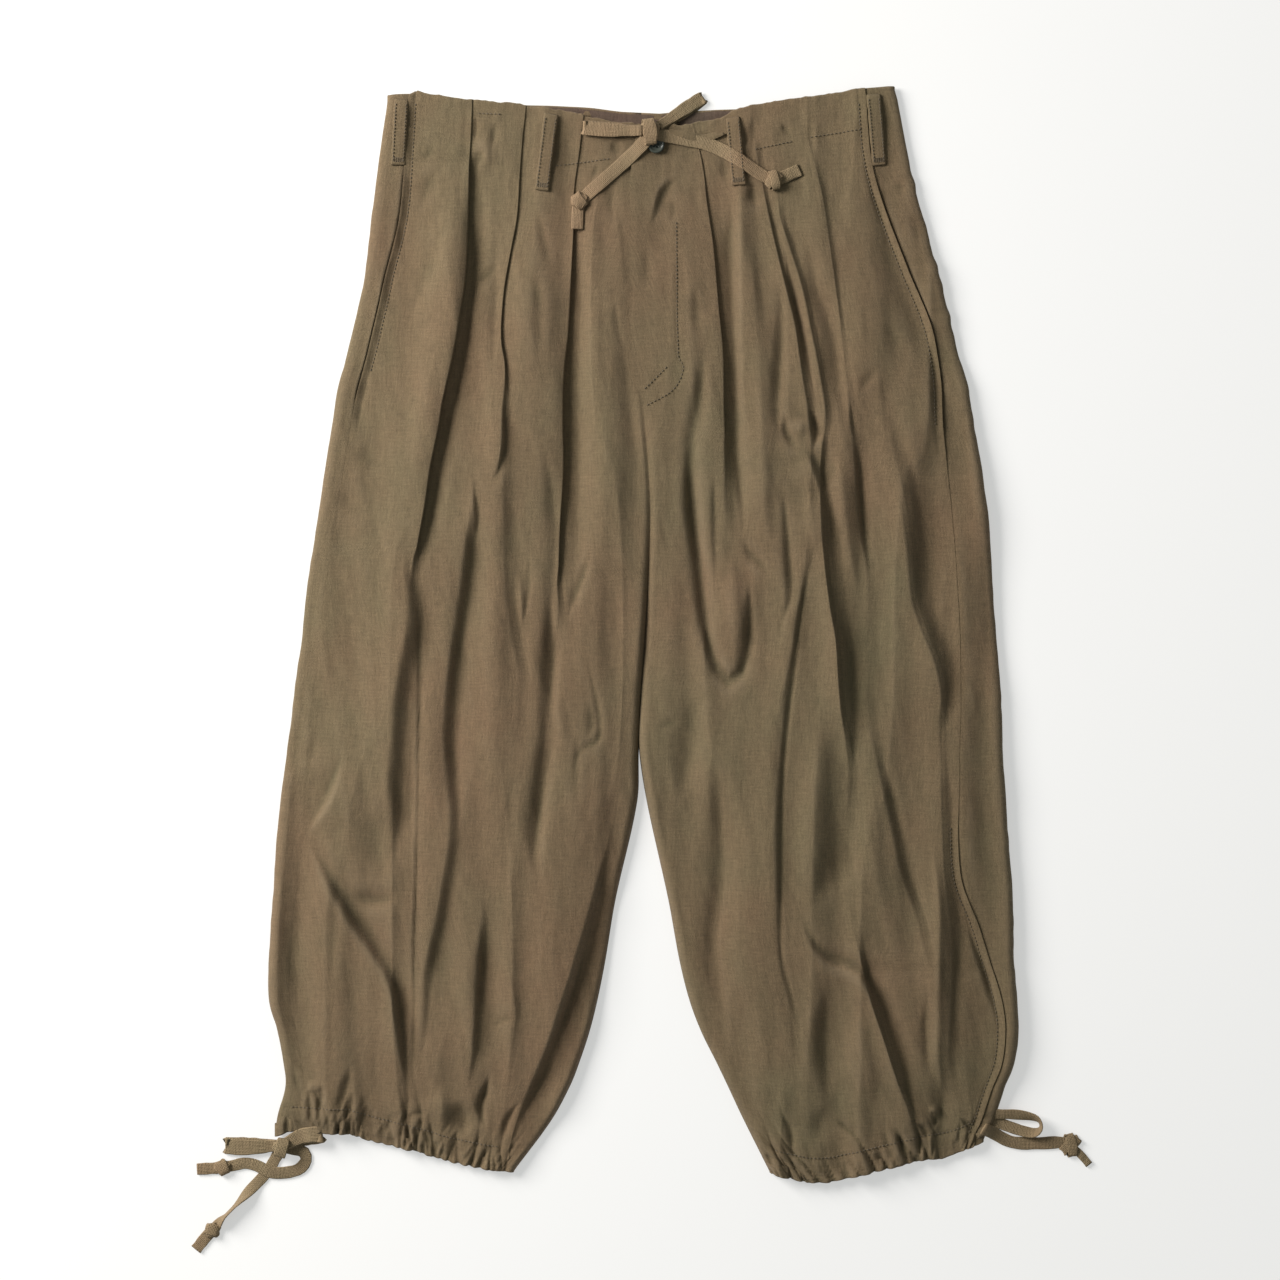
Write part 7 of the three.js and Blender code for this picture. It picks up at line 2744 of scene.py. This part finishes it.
@dataclass
class WaistTie:
    """The bow at the waist and its two free ends.

    Attributes:
        knot_place: Where its knot lies.
    """

    knot_place: Point2 = (4.1, 391.9)

    def build(self, tape: bpy.types.Material, cloth: bpy.types.Material,
              surface: Surface) -> None:
        """Make the waist's crumpled edge, the ends, the loops and the knot.

        Args:
            tape: What the tape is made of.
            cloth: What the cloth is made of.
            surface: What it lies on.
        """
        x, y = self.knot_place
        ruffle = lay_band(((20, 391.5), (33, 388.4), (46, 386.2), (63, 389.2)),
                          np.interp(np.linspace(0, 1, 29), (0, 0.3, 0.75, 1),
                                    (3.0, 6.5, 6.0, 2.0)), surface, 0.5, seed=51)
        ruffle.centre[:, 2] += 0.35 * np.sin(np.linspace(0, 8, 29))
        new_object("waist_edge_ruffle", band_mesh("waist_edge_ruffle", ruffle), cloth,
                   "trouser_cloth")
        FreeEnd("waist_tie_end_right", WAIST_END_RIGHT, 11.0,
                TapeKnot("waist_end_knot_right", (-49.6, 337.1), 0.2 + math.pi,
                         (15, 12.5, 5.5)),
                ((-50.4, 333.5), (-51.1, 328), (-51.4, 314.8)), 9.4,
                "waist_tail_right").build(tape, surface)
        FreeEnd("waist_tie_end_left", WAIST_END_LEFT, 10.2,
                TapeKnot("waist_end_knot_left", (101.4, 352.6), -0.2, (12, 15, 5.5), 8),
                ((104.5, 354), (110, 356), (121.6, 361.3)), 10.0, "waist_tail_left",
                seed=15).build(tape, surface)
        BowLoop("waist_bow_loop_right", (-0.5, 391.2), math.pi - 0.07, 45.0, 11.0,
                4.4).build(tape, surface)
        BowLoop("waist_bow_loop_left", (12.0, 395.4), 0.53, 40.5, 10.2, 4.2,
                0.12).build(tape, surface)
        z = surface.level_over(x, y, 3.0) + 2.6
        tape_piece("waist_bow_knot", tape,
                   ring_band((x + 0.6, y - 1.6, z), 0.12, 20.5, 6.2, 10.6, 0.5, 3),
                   ring_band((x + 2.4, y - 2.4, z - 0.9), -0.3, 18, 5, 9, -0.5, 4),
                   ring_band((x + 1, y, z - 1.2), 1.45, 15, 4.2, 10, 0, 6))


@dataclass
class HemTieRight:
    """The bow at the right hem: its knot, loops and two ends.

    Attributes:
        knot_place: Where its knot lies.
    """

    knot_place: Point2 = (-282.6, -399.3)

    def build(self, tape: bpy.types.Material, surface: Surface) -> None:
        """Make the ends, the loops and the knot, from the lowest up.

        Args:
            tape: What the tape is made of.
            surface: What it lies on.
        """
        x, y = self.knot_place
        FreeEnd("hem_right_end_lower", HEM_END_LOWER, 8.9,
                TapeKnot("hem_right_end_knot_lower", (-336.4, -465.2), 0.82,
                         (15, 11, 5), 21),
                ((-338.6, -467.6), (-341.9, -471.2), (-349.4, -480.6)), 9.0,
                "hem_right_tail_lower", (0.4, 0.1, 0.3), 1.4, 23).build(tape, surface)
        FreeEnd("hem_right_end_upper", HEM_END_UPPER, 9.4,
                TapeKnot("hem_right_end_knot_upper", (-328.6, -416.3), 0.0,
                         (14.5, 11.5, 5), 25),
                ((-332.5, -417.0), (-336.4, -417.2), (-348.6, -417.9)), 9.0,
                "hem_right_tail_upper", seed=27).build(tape, surface)
        BowLoop("hem_right_loop_outer", (-285.5, -399.2), math.pi, 39.5, 12.4,
                4.0).build(tape, surface)
        BowLoop("hem_right_loop_inner", (-281, -398.6), 0.34, 30.5, 12.4, 5.4, -0.2,
                shift=2.6, rise=0.6).build(tape, surface)
        z = surface.level_over(x, y, 3.0) + 2.4
        tape_piece("hem_right_knot", tape,
                   ring_band((x + 0.6, y - 0.8, z), -0.25, 15, 5.4, 10, 0.5, 31),
                   ring_band((x, y, z - 0.6), -0.8, 12, 4.6, 8.6, -0.5, 33),
                   ring_band((x, y, z - 0.8), 1.5, 11.6, 3.8, 8, 0, 35))


@dataclass
class HemTieLeft:
    """The tie at the left hem: an open loop and one end."""

    def build(self, tape: bpy.types.Material, surface: Surface) -> None:
        """Make the loop and the end.

        Args:
            tape: What the tape is made of.
            surface: What it lies on.
        """
        route = ((266.0, -373.0), (276.2, -374.3), (286, -374.4), (297, -375.4),
                 (305.5, -377.4), (309.6, -381.2), (309.4, -386.4), (304.5, -389.0),
                 (296, -387.8), (286, -384.6), (276.5, -381.2), (267.0, -378.0))
        leans = (0.2, 0.25, 0.3, 0.45, 0.9, 1.4, 1.4, 0.8, 0.35, 0.25, 0.2, 0.2)
        heights = (5.4, 5.0, 4.8, 4.6, 4.8, 5.2, 5.0, 3.8, 3.0, 2.8, 3.0, 3.4)
        OpenLoop("hem_left_loop", route, leans, heights, 8.6).build(tape, surface)
        FreeEnd("hem_left_end", HEM_END_LEFT, 9.8,
                TapeKnot("hem_left_end_knot", (333.4, -398.9), -0.25, (13.5, 17.5, 3.6), 41),
                ((336.5, -401.8), (339.4, -404.6), (343.6, -409), (348, -414.4)), 6.0,
                "hem_left_tail", lift=(2.2, 0.6, 0.4), seed=43).build(tape, surface)


def seam_route(leg: Leg, inset: float, low: float, high: float,
               step: float = 14.0) -> list[Point2]:
    """Lay a route beside a leg's side seam.

    Args:
        leg: The leg.
        inset: How far in from the seam.
        low: Lowest level.
        high: Highest level.
        step: Distance between two points.

    Returns:
        The route, from the top down.
    """
    level = np.arange(high, low, -step)
    x, y = leg.plan(leg.seam_depth(level) + inset, level)
    return list(zip(x.tolist(), y.tolist()))


def hem_route(leg: Leg, above: float, start: float, end: float,
              step: float = 9.0) -> list[Point2]:
    """Lay a route at some height over a leg's hem, from one x to another."""
    x = np.arange(start, end, step)
    return list(zip(x.tolist(), (leg.hem_line(x) + above).tolist()))


@dataclass
class Topstitching:
    """The rows of stitches that show on the trousers.

    Attributes:
        right: The right leg.
        left: The left leg.
    """

    right: Leg
    left: Leg

    def build(self, thread: bpy.types.Material, surface: Surface) -> None:
        """Make every row.

        Args:
            thread: What it is sewn with.
            surface: What it lies on.
        """
        fly = ((25.4, 321), (26.9, 216.4), (30.9, 206.3), (23, 189.8), (2, 177.3))
        slant = ((18.4, 207.8), (0.4, 189.8))
        runs = {
            "fly_stitches": [fly, slant],
            "waist_channel_stitches": [
                ((-69, 364.5), (-48, 367), (-26, 370)),
                ((86.3, 377.3), (101, 380.4), (116, 383.6)),
                ((129.3, 386.7), (150, 390), (169.9, 393)),
                ((-129.3, 405.5), (-111, 404.7)),
            ],
            "side_stitches_right": [seam_route(self.right, 5.2, 190, 400)],
            "side_stitches_left": [seam_route(self.left, 5.2, 150, 400),
                                   seam_route(self.left, 5.2, -400, -150)],
            "hem_stitches_right": [hem_route(self.right, HEM_DEPTH, -275, -104)],
            "hem_stitches_left": [hem_route(self.left, HEM_DEPTH, 102, 258)],
        }
        for name, routes in runs.items():
            StitchRun(name, routes).build(thread, surface)
            LOG.info("sewn: %s", name)


def build_legs() -> tuple[Leg, Leg]:
    """Make the surfaces of both legs from their tables.

    Returns:
        The right leg and the left one.
    """
    right = Leg("right", RIGHT_OUTLINE, RIGHT_SEAM_INSET, RIGHT_HEM, RIGHT_PLEATS,
                RIGHT_FOLDS, RIGHT_GATHERS, 1.0, (178.0, 360.0), 101)
    left = Leg("left", LEFT_OUTLINE, LEFT_SEAM_INSET, LEFT_HEM, LEFT_PLEATS, LEFT_FOLDS,
               LEFT_GATHERS, -1.0, (150.0, 352.0), 202)
    return right, left


def main() -> None:
    """Build the trousers piece by piece, and their studio."""
    logging.basicConfig(level=logging.INFO, format="%(name)s: %(message)s")
    Studio().build()
    LOG.info("studio set up")
    effects = ClothEffects()
    # The third colour of each finish is the lighter one of its raised folds, for wear and as a
    # painted highlight; its hollows take a painted shade.
    trouser = ClothFinish("brown cotton", (0.20, 0.145, 0.085), (0.265, 0.198, 0.122))
    facing = ClothFinish("facing cotton", (0.125, 0.086, 0.066), (0.19, 0.14, 0.10))
    tape_finish = ClothFinish("drawstring tape", (0.245, 0.178, 0.108),
                              (0.32, 0.24, 0.15), threads=900.0, streaks=0.6,
                              weave_depth=0.00035, crease_depth=0.0008)
    cloth, inside, tape = (finish.build(effects) for finish in (trouser, facing, tape_finish))
    thread = ThreadFinish("sewing thread", (0.105, 0.078, 0.046)).build()
    surface = Surface()
    right, left = build_legs()
    cloths = []
    for leg in (right, left):
        cloths += TrouserLeg(leg).build(cloth, surface)
        LOG.info("cloth of the %s leg", leg.side)
    strip = WaistFacing().build(inside, surface)
    bags = [PocketFacing(f"pocket_facing_{leg.side}", leg).build(inside)
            for leg in (right, left)]
    LOG.info("facings")
    for name, top, bottom in BELT_LOOPS:
        BeltLoop(name, top, bottom).build(cloth, thread, surface)
        LOG.info("belt loop: %s", name)
    WaistButton().build(ButtonFinish().build(), surface)
    Topstitching(right, left).build(thread, surface)
    WaistTie().build(tape, cloth, surface)
    LOG.info("waist tie")
    HemTieRight().build(tape, surface)
    HemTieLeft().build(tape, surface)
    LOG.info("hem ties")


if __name__ == "__main__":
    main()
